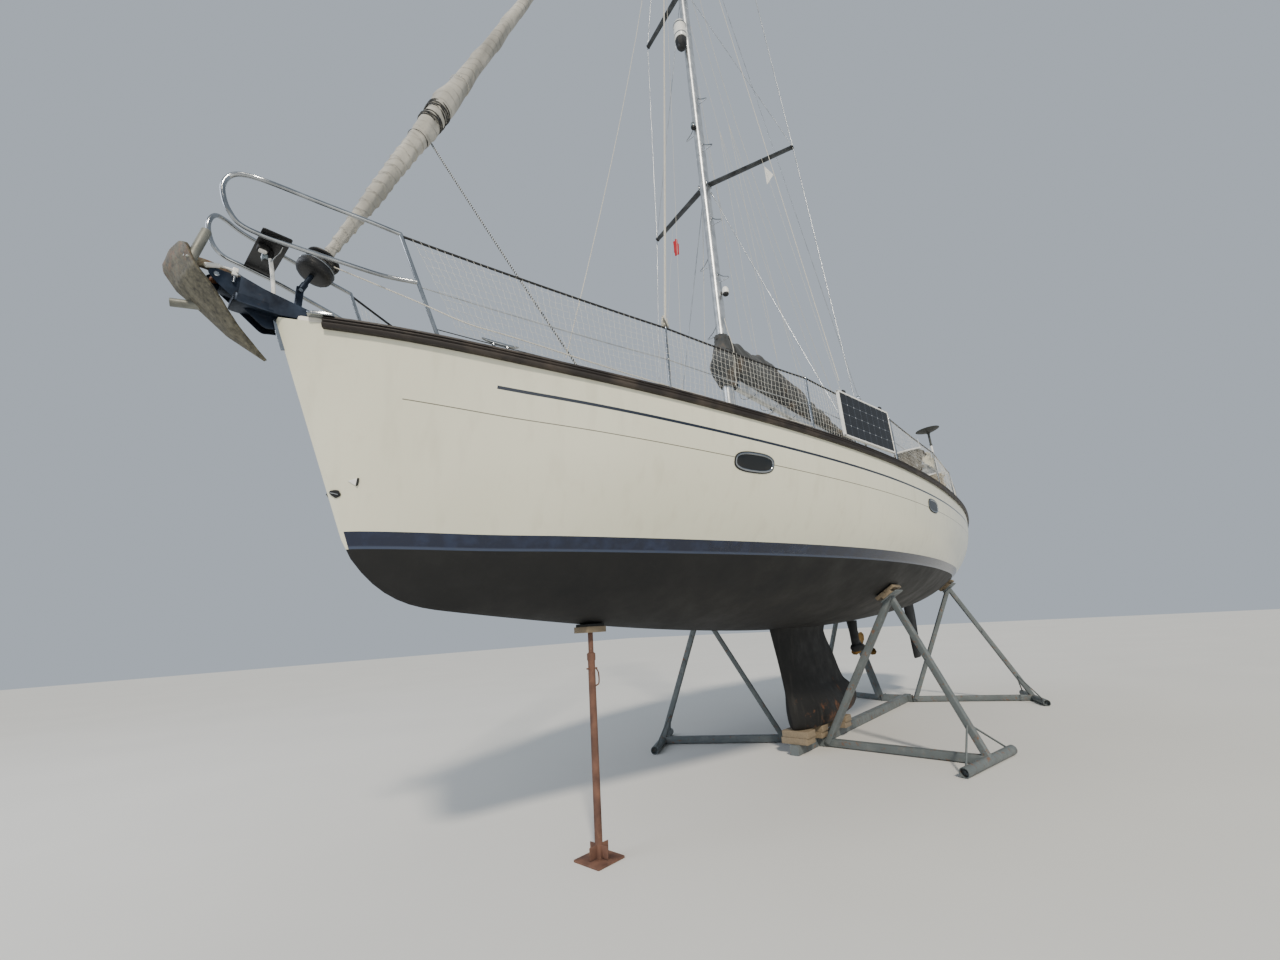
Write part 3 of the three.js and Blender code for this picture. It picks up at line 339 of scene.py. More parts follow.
def turned(profile, start, direction, sides=24, axis=None):
    """A profile of (radius, distance) turned round a line."""
    profile = np.asarray(profile, float)
    d = unit(direction)
    helper = np.array([0, 0, 1.0]) if abs(d[2]) < 0.9 else np.array([1.0, 0, 0])
    a = unit(np.cross(helper, d)) if axis is None else unit(axis)
    b = np.cross(d, a)
    angle = np.linspace(0, 2 * np.pi, sides, endpoint=False)
    ring = a[None] * np.cos(angle)[:, None] + b[None] * np.sin(angle)[:, None]
    return (np.asarray(start, float)[None, None] + d[None, None] * profile[:, 1][:, None, None]
            + ring[None] * profile[:, 0][:, None, None])


def rounded_outline(half_x, half_y, corner, steps=4):
    """A rectangle's outline with round corners: four quarter circles joined by straight sides."""
    quarter = np.linspace(0, np.pi / 2, steps + 1)
    angle = (quarter[None] + np.arange(4)[:, None] * np.pi / 2).ravel()
    sx = np.sign(np.repeat([1, -1, -1, 1], steps + 1))
    sy = np.sign(np.repeat([1, 1, -1, -1], steps + 1))
    return np.stack([sx * (half_x - corner) + corner * np.cos(angle), sy * (half_y - corner) + corner
        * np.sin(angle)], -1)


def slab(centre, size, corner=0.01, edge=0.003, x_axis=FORWARD, up=UP, taper=(1, 1), steps=4):
    """A rounded block: rings of a rounded rectangle, drawn in by quarter circles at the bottom and the top
    edge."""
    x = unit(x_axis)
    z = unit(np.asarray(up, float) - np.dot(up, x) * x)
    y = np.cross(z, x)
    lx, ly, lz = (s / 2 for s in size)
    edge = min(edge, lx * 0.9, ly * 0.9, lz * 0.9)
    corner = min(max(corner, edge * 1.05), lx * 0.99, ly * 0.99)
    a = np.linspace(0, np.pi / 2, 4)
    inset = np.concatenate([edge * (1 - np.sin(a)), edge * (1 - np.cos(a))])
    level = np.concatenate([-lz + edge * (1 - np.cos(a)), lz - edge + edge * np.sin(a)])
    rings = []
    for inn, lev in zip(inset, level):
        share = (lev + lz) / (2 * lz)
        k = 1 + (np.asarray(taper) - 1) * share
        o = rounded_outline(lx * k[0] - inn, ly * k[1] - inn, max(corner - inn, 1e-4), steps)
        rings.append(np.concatenate([o, np.full((len(o), 1), lev)], 1))
    p = np.array(rings)
    return np.asarray(centre, float) + p[..., :1] * x + p[..., 1:2] * y + p[..., 2:] * z


def bar(start, end, width, depth, corner=0.006, up=UP, steps=3):
    """A box tube with round edges between two points."""
    start, end = np.asarray(start, float), np.asarray(end, float)
    along = unit(end - start)
    z = unit(np.asarray(up, float) - np.dot(up, along) * along)
    y = np.cross(z, along)
    o = rounded_outline(width / 2, depth / 2, corner, steps)
    ring = o[:, :1] * y + o[:, 1:] * z
    cap = 0.6
    return np.stack([start + ring * cap, start + ring, end + ring, end + ring * cap])


def ball(centre, radii, rows=10, cols=16, power=1.0, x_axis=FORWARD, up=UP):
    """A superellipsoid: its two angles go through signed powers of their sine and cosine."""
    x = unit(x_axis)
    z = unit(np.asarray(up, float) - np.dot(up, x) * x)
    y = np.cross(z, x)
    v = np.linspace(-np.pi / 2, np.pi / 2, rows)[:, None]
    u = np.linspace(0, 2 * np.pi, cols, endpoint=False)[None]
    f = lambda s: np.sign(s) * np.abs(s) ** power
    px, py = f(np.cos(v)) * f(np.cos(u)) * radii[0], f(np.cos(v)) * f(np.sin(u)) * radii[1]
    pz = f(np.sin(v)) * radii[2] * np.ones_like(u)
    return np.asarray(centre, float) + px[..., None] * x + py[..., None] * y + pz[..., None] * z


# Finishes


def rgb(text):
    """A colour written as six hexadecimal digits, as linear light."""
    v = np.array([int(text[k: k + 2], 16) for k in (0, 2, 4)]) / 255
    lin = np.where(v <= 0.04045, v / 12.92, ((v + 0.055) / 1.055) ** 2.4)
    return (*(float(x) for x in lin), 1.0)


def adding(maker):
    """A method of Surface that makes a shape and adds its grid."""
    def add(surface, *shape, finish=0, caps=True, flip=False, **sizes):
        return surface.grid(maker(*shape, **sizes), caps=caps, finish=finish, flip=flip)
    return add


for maker in (tube, swept, turned, slab, bar, ball):
    setattr(Surface, maker.__name__, adding(maker))


class Value:
    """A number socket of a material. Arithmetic on it adds Math nodes."""

    def __init__(self, paint, socket):
        self.paint, self.socket = paint, socket

    def _math(self, operation, a, b=None, clamp=False):
        """One Math node."""
        return self.paint.node("ShaderNodeMath", {"operation": operation, "use_clamp": clamp},
            [a] if b is None else [a, b])

    def __neg__(self):
        return self._math("MULTIPLY", self, -1)

    def __abs__(self):
        return self._math("ABSOLUTE", self)

    def sine(self):
        """The sine of the value."""
        return self._math("SINE", self)

    def part(self):
        """What follows the decimal point."""
        return self._math("FRACT", self)

    def clamped(self):
        """The value kept between 0 and 1."""
        return self._math("ADD", self, 0, True)


def arithmetic(operation, swapped=False):
    """A method of Value that takes one more number or socket."""
    def apply(value, other):
        a, b = (other, value) if swapped else (value, other)
        return value._math(operation, a, b)
    return apply


for symbol, operation in (("add", "ADD"), ("sub", "SUBTRACT"), ("mul", "MULTIPLY"), ("truediv", "DIVIDE"),
        ("pow", "POWER")):
    setattr(Value, f"__{symbol}__", arithmetic(operation))
    setattr(Value, f"__r{symbol}__", arithmetic(operation, True))
for word, operation in (("above", "GREATER_THAN"), ("below", "LESS_THAN"), ("least", "MINIMUM"),
        ("most", "MAXIMUM")):
    setattr(Value, word, arithmetic(operation))


class Paint:
    """A material under construction: constants go straight on the shader, patterns through node()."""

    def __init__(self, name, **constants):
        self.material = bpy.data.materials.new(name)
        self.material.use_nodes = True
        self.tree = self.material.node_tree
        self.shader = self.tree.nodes["Principled BSDF"]
        for key, value in constants.items():
            self.shader.inputs[key.replace("_", " ")].default_value = value

    def node(self, kind, settings=None, inputs=(), out=0):
        """A node with its settings and inputs; gives one of its outputs."""
        made = self.tree.nodes.new(kind)
        for key, value in (settings or {}).items():
            if key == "stops":
                ramp = made.color_ramp
                while len(ramp.elements) < len(value):
                    ramp.elements.new(0.5)
                for element, (at, colour) in zip(ramp.elements, value):
                    element.position, element.color = at, colour
            else:
                setattr(made, key, value)
        pairs = inputs.items() if isinstance(inputs, dict) else enumerate(inputs)
        for key, value in pairs:
            if isinstance(value, Value):
                self.tree.links.new(value.socket, made.inputs[key])
            elif value is not None:
                made.inputs[key].default_value = value
        return Value(self, made.outputs[out])

    def place(self, scale=(1, 1, 1), turn=(0, 0, 0), uv=False):
        """Where a point lies on the object or on its sheet, scaled."""
        where = self.node("ShaderNodeTexCoord", out="UV" if uv else "Object")
        if tuple(scale) == (1, 1, 1) and tuple(turn) == (0, 0, 0):
            return where
        return self.node("ShaderNodeMapping", {}, {"Vector": where, "Scale": scale, "Rotation": turn})

    def axes(self, vector=None):
        """The three parts of a vector."""
        vector = vector or self.place()
        return [self.node("ShaderNodeSeparateXYZ", {}, [vector], k) for k in range(3)]

    def noise(self, scale, detail=3.0, rough=0.5, vector=None, stretch=(1, 1, 1), twist=0.0, uv=False):
        vector = vector or self.place(stretch, uv=uv)
        return self.node("ShaderNodeTexNoise", {}, {"Vector": vector, "Scale": scale, "Detail": detail,
            "Roughness": rough, "Distortion": twist})

    def spread(self, value, low, high, to_low=0.0, to_high=1.0):
        """A value's share of the way from low to high, kept within."""
        return self.node("ShaderNodeMapRange", {"clamp": True}, [value, low, high, to_low, to_high])

    def mix(self, share, a, b):
        """Two colours mixed by a share."""
        made = self.tree.nodes.new("ShaderNodeMix")
        made.data_type = "RGBA"
        for key, value in ((0, share), (6, a), (7, b)):
            if isinstance(value, Value):
                self.tree.links.new(value.socket, made.inputs[key])
            else:
                made.inputs[key].default_value = value
        return Value(self, made.outputs[2])

    def bump(self, height, distance=0.001, strength=1.0):
        """A normal that follows a height."""
        return self.node("ShaderNodeBump", {}, {"Height": height, "Distance": distance, "Strength": strength})

    def done(self, **links):
        """Links the shader's inputs and gives the material."""
        for key, value in links.items():
            socket = self.shader.inputs[key.replace("_", " ")]
            if isinstance(value, Value):
                self.tree.links.new(value.socket, socket)
            else:
                socket.default_value = value
        return self.material


FINISHES = {}


def finish(name):
    """The finish of that name, made the first time that it is asked for."""
    if name not in FINISHES:
        FINISHES[name] = FINISH_MAKERS[name]()
    return FINISHES[name]


def finish_topsides():
    """Ivory gelcoat with a cove stripe, a scribed line, a two-shade boot stripe and black antifouling
    below."""
    p = Paint("topsides", Coat_Weight=0.0)
    x, _, z = p.axes()
    a, b, c, d = SHEER_CUBIC
    below = a + b * x + c * x * x + d * x * x * x - z
    soft = p.noise(0.7, 3)
    fine = p.noise(9, 4)
    streak = p.noise(3.0, 4, stretch=(3, 3, 0.25))
    cream = p.mix(soft, rgb(hull_colours().topsides_shade), rgb(hull_colours().topsides))
    cream = p.mix(p.spread(streak, 0.52, 0.75) * 0.22, cream, rgb("b9b39c"))
    cream = p.mix(p.spread(fine, 0.62, 0.8) * 0.1, cream, rgb("a9a38c"))
    gauge = hull_colours()
    cove = abs(below - gauge.cove_below).below(0.0115) * x.below(5.27)
    scribe = abs(below - gauge.cove_below - 0.185).below(0.0034) * x.below(5.78)
    cream = p.mix(cove, cream, rgb("1f2736"))
    cream = p.mix(scribe * 0.9, cream, rgb("57544a"))
    boot = z.below(gauge.boot_top) * (x - (z - gauge.boot_low) * 0.41).below(5.897)
    navy = p.mix(p.spread(z, gauge.boot_low + 0.012, gauge.boot_low + 0.022), rgb("39445a"), rgb("141d33"))
    navy = p.mix(p.spread(fine, 0.45, 0.75) * 0.5, navy, rgb("2b3a58"))
    colour = p.mix(boot, cream, navy)
    black = z.below(gauge.boot_low)
    patch = p.noise(2.2, 6, 0.65)
    wet = p.mix(p.spread(patch, 0.5, 0.75) * 0.5, rgb("060708"), rgb("15171a"))
    wet = p.mix(p.spread(p.noise(26, 4, 0.7), 0.6, 0.8) * 0.2, wet, rgb("2c2e30"))
    drag = p.noise(5, 3, stretch=(0.3, 1, 3.2))
    wet = p.mix(p.spread(drag, 0.6, 0.8) * 0.25, wet, rgb("1d2023"))
    colour = p.mix(black, colour, wet)
    rough = p.spread(soft, 0.3, 0.7, 0.16, 0.24) * (1 - black) + black * p.spread(patch, 0.3, 0.7, 0.55, 0.8)
    groove = scribe * -1.0 + cove * 0.3 + p.noise(420, 2) * black * 0.5 + p.noise(1.1, 2) * 1.6 * (1 - black)
    return p.done(Base_Color=colour, Roughness=rough, Normal=p.bump(groove, 0.0016, 0.5))


def finish_gelcoat():
    """White deck gelcoat: smooth on its sides, a raised diamond non-slip pattern on its level faces."""
    p = Paint("deck gelcoat")
    x, y, _ = p.axes()
    up = p.node("ShaderNodeSeparateXYZ", {}, [p.node("ShaderNodeNewGeometry", out="True Normal")], 2)
    level = up.above(0.9)
    diamond = ((x + y) * 330.0).sine() * ((x - y) * 330.0).sine()
    panel = p.noise(0.9, 3)
    dirt = p.spread(p.noise(6, 5, 0.6), 0.5, 0.8)
    colour = p.mix(panel, rgb("dcd8cb"), rgb("ebe8de"))
    colour = p.mix(level * 0.5, colour, rgb("cfcabb"))
    colour = p.mix(dirt * 0.25, colour, rgb("a9a391"))
    rough = p.spread(panel, 0.3, 0.7, 0.28, 0.4) + level * 0.25
    return p.done(Base_Color=colour, Roughness=rough.clamped(), Normal=p.bump(diamond * level + p.noise(60, 2)
        * 0.1, 0.0009, 0.6))


def finish_strake():
    """Weathered brown rubbing strake with a lengthwise grain."""
    p = Paint("strake")
    grain = p.noise(9, 5, 0.6, stretch=(0.5, 6, 14))
    worn = p.spread(p.noise(3.5, 4), 0.5, 0.75)
    colour = p.mix(grain, rgb("120e0d"), rgb("2a211c"))
    colour = p.mix(worn * 0.5, colour, rgb("62564a"))
    return p.done(Base_Color=colour, Roughness=p.spread(grain, 0.3, 0.7, 0.45, 0.7),
        Normal=p.bump(grain, 0.0012, 0.5))


def finish_antifouling():
    """Matt black antifouling, brushed on and worn in patches."""
    p = Paint("antifouling")
    patch = p.noise(3, 6, 0.65)
    drag = p.noise(7, 4, stretch=(0.35, 1, 3))
    colour = p.mix(p.spread(patch, 0.45, 0.75) * 0.6, rgb("070809"), rgb("1a1c1f"))
    colour = p.mix(p.spread(drag, 0.58, 0.8) * 0.4, colour, rgb("3a3b3c"))
    return p.done(Base_Color=colour, Roughness=p.spread(patch, 0.3, 0.7, 0.6, 0.85),
        Normal=p.bump(p.noise(160, 3) * 0.5 + drag, 0.0015, 0.5))


def finish_keel():
    """Black antifouling worn in streaks, with rust bleeding out of the cast iron, most of it towards the
    foot.
    """
    p = Paint("keel antifouling")
    _, _, z = p.axes()
    patch = p.noise(4, 7, 0.7)
    drag = p.noise(8, 4, stretch=(1.4, 1, 0.3))
    colour = p.mix(p.spread(patch, 0.45, 0.7) * 0.6, rgb("08090a"), rgb("1f2122"))
    rust = p.spread(patch + p.spread(z, 0.25, 0.75, 0.16, -0.05), 0.6, 0.72)
    tone = p.mix(p.noise(30, 4), rgb("4a2c1c"), rgb("8a5a38"))
    colour = p.mix(rust * 0.8, colour, tone)
    colour = p.mix(p.spread(drag, 0.6, 0.8) * 0.35, colour, rgb("45413c"))
    return p.done(Base_Color=colour, Roughness=p.spread(patch, 0.3, 0.7, 0.6, 0.9),
        Normal=p.bump(patch + p.noise(90, 3) * 0.3, 0.004, 0.6))


def metal(name, dark, light, rough=(0.18, 0.32), scale=60, stretch=(1, 1, 1), metallic=1.0, spots=0.0,
        spot="6b4a30", pit=0.0004):
    """A metal whose colour and gloss vary with a fine noise, with optional stains."""
    p = Paint(name, Metallic=metallic)
    fine = p.noise(scale, 3, stretch=stretch)
    broad = p.noise(7, 4)
    colour = p.mix(p.spread(broad, 0.3, 0.7), rgb(dark), rgb(light))
    if spots:
        colour = p.mix(p.spread(p.noise(18, 6, 0.7), 0.6, 0.72) * spots, colour, rgb(spot))
    return p.done(Base_Color=colour, Roughness=p.spread(fine * 0.6 + broad * 0.4, 0.3, 0.7, *rough),
        Normal=p.bump(fine, pit, 0.5))




def finish_forged():
    """Weathered galvanised forging: brown-grey, streaked from its heel to its point, with paler blotches
    and rust towards its upper end."""
    p = Paint("weathered forging", Metallic=0.35)
    run = p.place(turn=(0, -0.9, 0))
    streak = p.noise(9, 6, 0.7, vector=p.node("ShaderNodeMapping", {}, {"Vector": run, "Scale": (1, 5, 5)}))
    blotch = p.noise(11, 5, 0.65)
    _, _, z = p.axes()
    high = p.spread(z, 3.72, 3.92)
    colour = p.mix(p.spread(streak, 0.35, 0.65), rgb("35322a"), rgb("6d6959"))
    colour = p.mix(p.spread(blotch, 0.5, 0.7) * 0.5, colour, rgb("8b8674"))
    colour = p.mix(p.spread(p.noise(26, 5, 0.7), 0.48, 0.66) * high * 0.7, colour, rgb("8a5f44"))
    return p.done(Base_Color=colour, Roughness=p.spread(streak, 0.3, 0.7, 0.55, 0.8),
        Normal=p.bump(streak + p.noise(60, 4) * 0.4, 0.003, 0.7))


def finish_steel():
    """Painted cradle steel: dark grey, chipped, with rust at the chips and paler patches."""
    p = Paint("cradle steel", Metallic=0.1)
    chips = p.noise(14, 7, 0.72)
    broad = p.noise(2.5, 4)
    colour = p.mix(broad, rgb("4d5456"), rgb("6f7779"))
    colour = p.mix(p.spread(chips, 0.58, 0.64) * 0.85, colour, p.mix(p.noise(60, 4), rgb("5a3826"),
        rgb("8d6a4e")))
    colour = p.mix(p.spread(p.noise(9, 4), 0.55, 0.8) * 0.4, colour, rgb("8b8d8a"))
    return p.done(Base_Color=colour, Roughness=p.spread(chips, 0.4, 0.7, 0.5, 0.85),
        Normal=p.bump(p.spread(chips, 0.56, 0.66) * -1.0 + p.noise(200, 2) * 0.2, 0.0012, 0.7))


def finish_timber():
    """Weathered grey-brown timber, its grain along its length."""
    p = Paint("weathered timber")
    grain = p.noise(6, 6, 0.65, stretch=(1, 9, 9), twist=0.4)
    colour = p.mix(grain, rgb("5c5142"), rgb("9a8a71"))
    colour = p.mix(p.spread(p.noise(2.5, 3), 0.5, 0.7) * 0.4, colour, rgb("756f66"))
    return p.done(Base_Color=colour, Roughness=p.spread(grain, 0.3, 0.7, 0.7, 0.9),
        Normal=p.bump(grain, 0.002, 0.7))


def finish_teak():
    """Silvered teak slats with dark caulking between them."""
    p = Paint("teak")
    _, y, _ = p.axes()
    slat = (y / 0.045).part()
    seam = slat.below(0.1)
    grain = p.noise(12, 6, 0.6, stretch=(0.7, 9, 9))
    colour = p.mix(grain, rgb("7d6549"), rgb("ab9272"))
    colour = p.mix(seam, colour, rgb("1c1a18"))
    return p.done(Base_Color=colour, Roughness=p.spread(grain, 0.3, 0.7, 0.6, 0.8),
        Normal=p.bump(grain - seam * 1.5, 0.0012, 0.6))


def cloth(name, dark, light, thread=900, stain="6b5a44", stain_share=0.35, rough=0.88, sheen=0.15):
    """Woven cloth: warp and weft as two crossed waves, broad fading and stains."""
    p = Paint(name, Sheen_Weight=sheen)
    where = p.place(uv=True)
    u, v, _ = p.axes(where)
    weave = (u * thread).sine() * 0.5 + (v * thread).sine() * 0.5
    fade = p.noise(1.6, 5, 0.6)
    colour = p.mix(p.spread(fade, 0.3, 0.7), rgb(dark), rgb(light))
    colour = p.mix(p.spread(p.noise(3.4, 6, 0.65), 0.52, 0.72) * stain_share, colour, rgb(stain))
    colour = p.mix(p.spread(weave, -1, 1) * 0.14, colour, rgb("000000"))
    height = weave * 0.12 + p.noise(28, 4) * 0.5
    return p.done(Base_Color=colour, Roughness=p.spread(fade, 0.3, 0.7, rough - 0.06, rough + 0.05),
        Normal=p.bump(height, 0.0022, 0.6))


def finish_rolled():
    """Weathered sailcloth rolled on itself: each lap's edge runs round as a helix, with a shadow under it."""
    p = Paint("rolled sail")
    u, v, _ = p.axes(p.place(uv=True))
    wander = p.noise(2.2, 4, 0.6)
    lap = ((v + u * 0.35 + wander * 0.16) / 0.115).part()
    shadow = p.spread(lap, 0.8, 1.0) * p.spread(p.noise(5, 3), 0.35, 0.62)
    grime = p.noise(3, 5, 0.6, stretch=(1, 1, 0.5))
    colour = p.mix(p.spread(grime, 0.35, 0.7), rgb("8f8d86"), rgb("bfbcb2"))
    colour = p.mix(shadow * 0.6, colour, rgb("4c4a44"))
    return p.done(Base_Color=colour, Roughness=p.spread(grime, 0.3, 0.7, 0.8, 0.92),
        Normal=p.bump(lap * 0.5 + p.noise(34, 5, stretch=(1, 1, 2.5)) * 0.5, 0.01, 0.7))


def finish_striped():
    """Blue-grey cloth with broad pale stripes along it."""
    p = Paint("striped canvas")
    x, _, z = p.axes()
    stripe = abs(((z - x * -0.22) / 0.075).part() - 0.5).above(0.27)
    colour = p.mix(stripe, rgb("7c848e"), rgb("bfc3c6"))
    colour = p.mix(p.noise(14, 4) * 0.35, colour, rgb("4a4a48"))
    return p.done(Base_Color=colour, Roughness=p.spread(p.noise(9, 3), 0.3, 0.7, 0.8, 0.92),
        Normal=p.bump(p.noise(30, 4), 0.002, 0.5))




def rope(name, base, fleck, twist=240.0, share=0.5):
    """Braided rope: two crossed sets of strands with flecks of a second colour."""
    p = Paint(name)
    u, v, _ = p.axes(p.place(uv=True))
    strand = (u * twist * 1.6 + v * twist).sine() * (v * twist - u * twist * 1.6).sine()
    mark = (u * 160.0 + v * 260.0).sine().above(1 - 2 * share)
    colour = p.mix(mark, rgb(base), rgb(fleck))
    colour = p.mix(p.spread(p.noise(40, 3), 0.4, 0.7) * 0.3, colour, rgb("8a857a"))
    return p.done(Base_Color=colour, Roughness=p.spread(strand, -1, 1, 0.9, 0.7),
        Normal=p.bump(strand, 0.0008, 0.7))




def plain(name, dark, light, rough=(0.4, 0.55), scale=40, grain=0.0004, **constants):
    """A moulded or painted surface with a slight mottle and a fine grain."""
    p = Paint(name, **constants)
    mottle = p.noise(scale, 4)
    broad = p.noise(4, 3)
    colour = p.mix(p.spread(mottle * 0.5 + broad * 0.5, 0.35, 0.65), rgb(dark), rgb(light))
    return p.done(Base_Color=colour, Roughness=p.spread(broad, 0.3, 0.7, *rough),
        Normal=p.bump(mottle, grain, 0.5))




def finish_glass():
    """Dark smoked acrylic, lightly scratched."""
    p = Paint("smoked acrylic")
    scratch = p.noise(80, 3, stretch=(1, 6, 1))
    colour = p.mix(p.noise(3, 3), rgb("05070a"), rgb("10161a"))
    return p.done(Base_Color=colour, Roughness=p.spread(scratch, 0.4, 0.8, 0.28, 0.4),
        Normal=p.bump(scratch, 0.0001, 0.4))


def finish_cells():
    """Dark solar cells in a lattice of thin pale lines, with small pale diamonds where four of them meet."""
    p = Paint("solar cells")
    u, v, _ = p.axes(p.place(uv=True))
    a, b = abs((u / 0.1225).part() - 0.5), abs((v / 0.1387).part() - 0.5)
    corner = (a + b).above(0.925)
    edge = a.most(b).above(0.484)
    bars = abs((u / 0.0245).part() - 0.5).above(0.45)
    shade = p.noise(9, 3)
    colour = p.mix(shade, rgb("05070b"), rgb("0b0f17"))
    colour = p.mix(bars * 0.06, colour, rgb("6d7686"))
    colour = p.mix(edge * 0.4, colour, rgb("6d7686"))
    colour = p.mix(corner * 0.8, colour, rgb("b9bdc2"))
    return p.done(Base_Color=colour, Roughness=p.spread(shade, 0.3, 0.7, 0.42, 0.52),
        Normal=p.bump(shade, 0.0001, 0.3))


def finish_floor():
    """Pale studio floor: two near shades in broad patches."""
    p = Paint("studio floor")
    shade = p.noise(0.4, 3)
    colour = p.mix(shade, rgb("d3d3d0"), rgb("dcdcd9"))
    return p.done(Base_Color=colour, Roughness=p.spread(shade, 0.3, 0.7, 0.75, 0.85))


# What makes each finish
FINISH_MAKERS = {
    "topsides": finish_topsides,
    "gelcoat": finish_gelcoat,
    "strake": finish_strake,
    "antifouling": finish_antifouling,
    "keel": finish_keel,
    "forged": finish_forged,
    "steel": finish_steel,
    "timber": finish_timber,
    "teak": finish_teak,
    "rolled": finish_rolled,
    "striped": finish_striped,
    "glass": finish_glass,
    "cells": finish_cells,
    "floor": finish_floor,
    # Stainless: the steel's own grey, partly darkened as a painted reflection of a dark sky and ground
    "stainless": lambda: metal("stainless", "83878b", "b3b7ba", (0.1, 0.24), 90, spots=0.12),
    "wire": lambda: metal("rigging wire", "8f9498", "c6cacd", (0.25, 0.4), 300, (1, 1, 0.3)),
    "spar": lambda: metal("anodised spar", "a9adb0", "d4d7d9", (0.3, 0.42), 40, (6, 6, 0.15), 0.85),
    # Dark grey for the spreader arms is painted shade: the arms are dark only from the shade under them
    "dull_spar": lambda: metal("spar with painted shade", "34373a", "5b5f63", (0.45, 0.6), 40, (6, 6, 0.15), 0.6),
    "galvanised": lambda: metal("galvanised chain", "6a675f", "94918a", (0.45, 0.7),
        45, metallic=0.55, spots=0.5, pit=0.001),
    "rusty": lambda: metal("rusty steel", "46302a", "7c5a4a", (0.7, 0.9),
        40, metallic=0.15, spots=0.7, spot="927258", pit=0.0015),
    "tang": lambda: metal("stay plate", "191f2a", "333e4e", (0.35, 0.55),
        60, metallic=0.75, spots=0.4, spot="5a4a3e"),
    "worn_zinc": lambda: metal("worn zinc", "62635c", "8c8d85", (0.45, 0.65),
        50, metallic=0.6, spots=0.4, spot="6b5a44"),
    "weld": lambda: metal("weld bead", "8b8c86", "b5b5ad", (0.35, 0.55), 90, metallic=0.7, pit=0.0008),
    "bronze": lambda: metal("bronze", "7d5e33", "a98550", (0.3, 0.5),
        50, metallic=0.95, spots=0.3, spot="3f5a4c"),
    "roller": lambda: metal("worn roller", "5a3a28", "8f6244", (0.5, 0.7), 60, metallic=0.1, pit=0.0008),
    "canvas": lambda: cloth("sail cover canvas", "26292c", "44484a", stain="6e5c46", stain_share=0.55),
    "sailcloth": lambda: cloth("sailcloth", "95928a", "bdb9ae", 700, "6f6b60", 0.4, rough=0.85),
    "red": lambda: cloth("red flag cloth", "a01420", "c4202c", 1500, "7a0f18", 0.2),
    "white_cloth": lambda: cloth("white flag cloth", "d8d8d4", "efefec", 1500, "b8b8b0", 0.2),
    "bundle": lambda: cloth("tan canvas", "6a5a3c", "a38f62", 900, "3b3226", 0.6),
    "mottled": lambda: cloth("mottled canvas", "1b1a17", "474134", 900, "75694f", 0.8),
    "cream": lambda: cloth("cream canvas", "b9b39a", "e6e2d0", 900, "8a7a55", 0.4),
    "dark_rope": lambda: rope("dark rope", "1f2123", "3a3c3e", share=0.3),
    "pale_rope": lambda: rope("pale rope", "d2cdbd", "9aa0a8", share=0.15),
    "flecked_rope": lambda: rope("flecked rope", "b9c0c6", "15181d", share=0.6),
    "thread": lambda: rope("net thread", "e4e4de", "c4c4bc", share=0.3),
    "black": lambda: plain("black plastic", "090a0b", "191a1c", (0.45, 0.6)),
    "white": lambda: plain("white plastic", "dcdcd6", "f0f0ec", (0.3, 0.4)),
    "grey": lambda: plain("grey dish", "262826", "424544", (0.5, 0.7)),
    "rubber": lambda: plain("black rubber", "0f1011", "1c1d1e", (0.65, 0.8)),
    "lens": lambda: plain("lamp lens", "5c6a72", "8d9aa0", (0.08, 0.15), Coat_Weight=0.5),
}


# Sizes and colours a user may change


class HullSettings(bpy.types.PropertyGroup):
    """The hull's colours and stripes."""
    topsides: bpy.props.StringProperty(name="Topsides", description="Ivory of the topsides, as hex digits",
        default="e4e3cf")
    topsides_shade: bpy.props.StringProperty(name="Topsides shade", description="Darker ivory, as hex digits",
        default="d8d6bf")
    cove_below: bpy.props.FloatProperty(name="Cove stripe",
        description="Distance of the cove stripe below the sheer", default=0.22, subtype="DISTANCE",
        unit="LENGTH")
    boot_low: bpy.props.FloatProperty(name="Boot stripe foot",
        description="Height of the boot stripe's lower edge", default=2.245, subtype="DISTANCE",
        unit="LENGTH")
    boot_top: bpy.props.FloatProperty(name="Boot stripe top",
        description="Height of the boot stripe's upper edge", default=2.35, subtype="DISTANCE", unit="LENGTH")


def hull_colours():
    """The hull's settings in the sidebar."""
    return bpy.context.scene.yacht_hull


class RigSettings(bpy.types.PropertyGroup):
    """Sizes of the rails, wires and ropes."""
    rail_radius: bpy.props.FloatProperty(name="Rail tube",
        description="Radius of the pulpit and pushpit tubes", default=0.014, subtype="DISTANCE",
        unit="LENGTH")
    wire_radius: bpy.props.FloatProperty(name="Shroud", description="Radius of the shrouds and backstay",
        default=0.006, subtype="DISTANCE", unit="LENGTH")
    guard_radius: bpy.props.FloatProperty(name="Guard line", description="Radius of the guard lines",
        default=0.009, subtype="DISTANCE", unit="LENGTH")
    mesh_size: bpy.props.FloatProperty(name="Net mesh", description="Size of the rail netting's cells",
        default=0.05, subtype="DISTANCE", unit="LENGTH")


def rig_sizes():
    """The rig's settings in the sidebar."""
    return bpy.context.scene.yacht_rig


# Hull


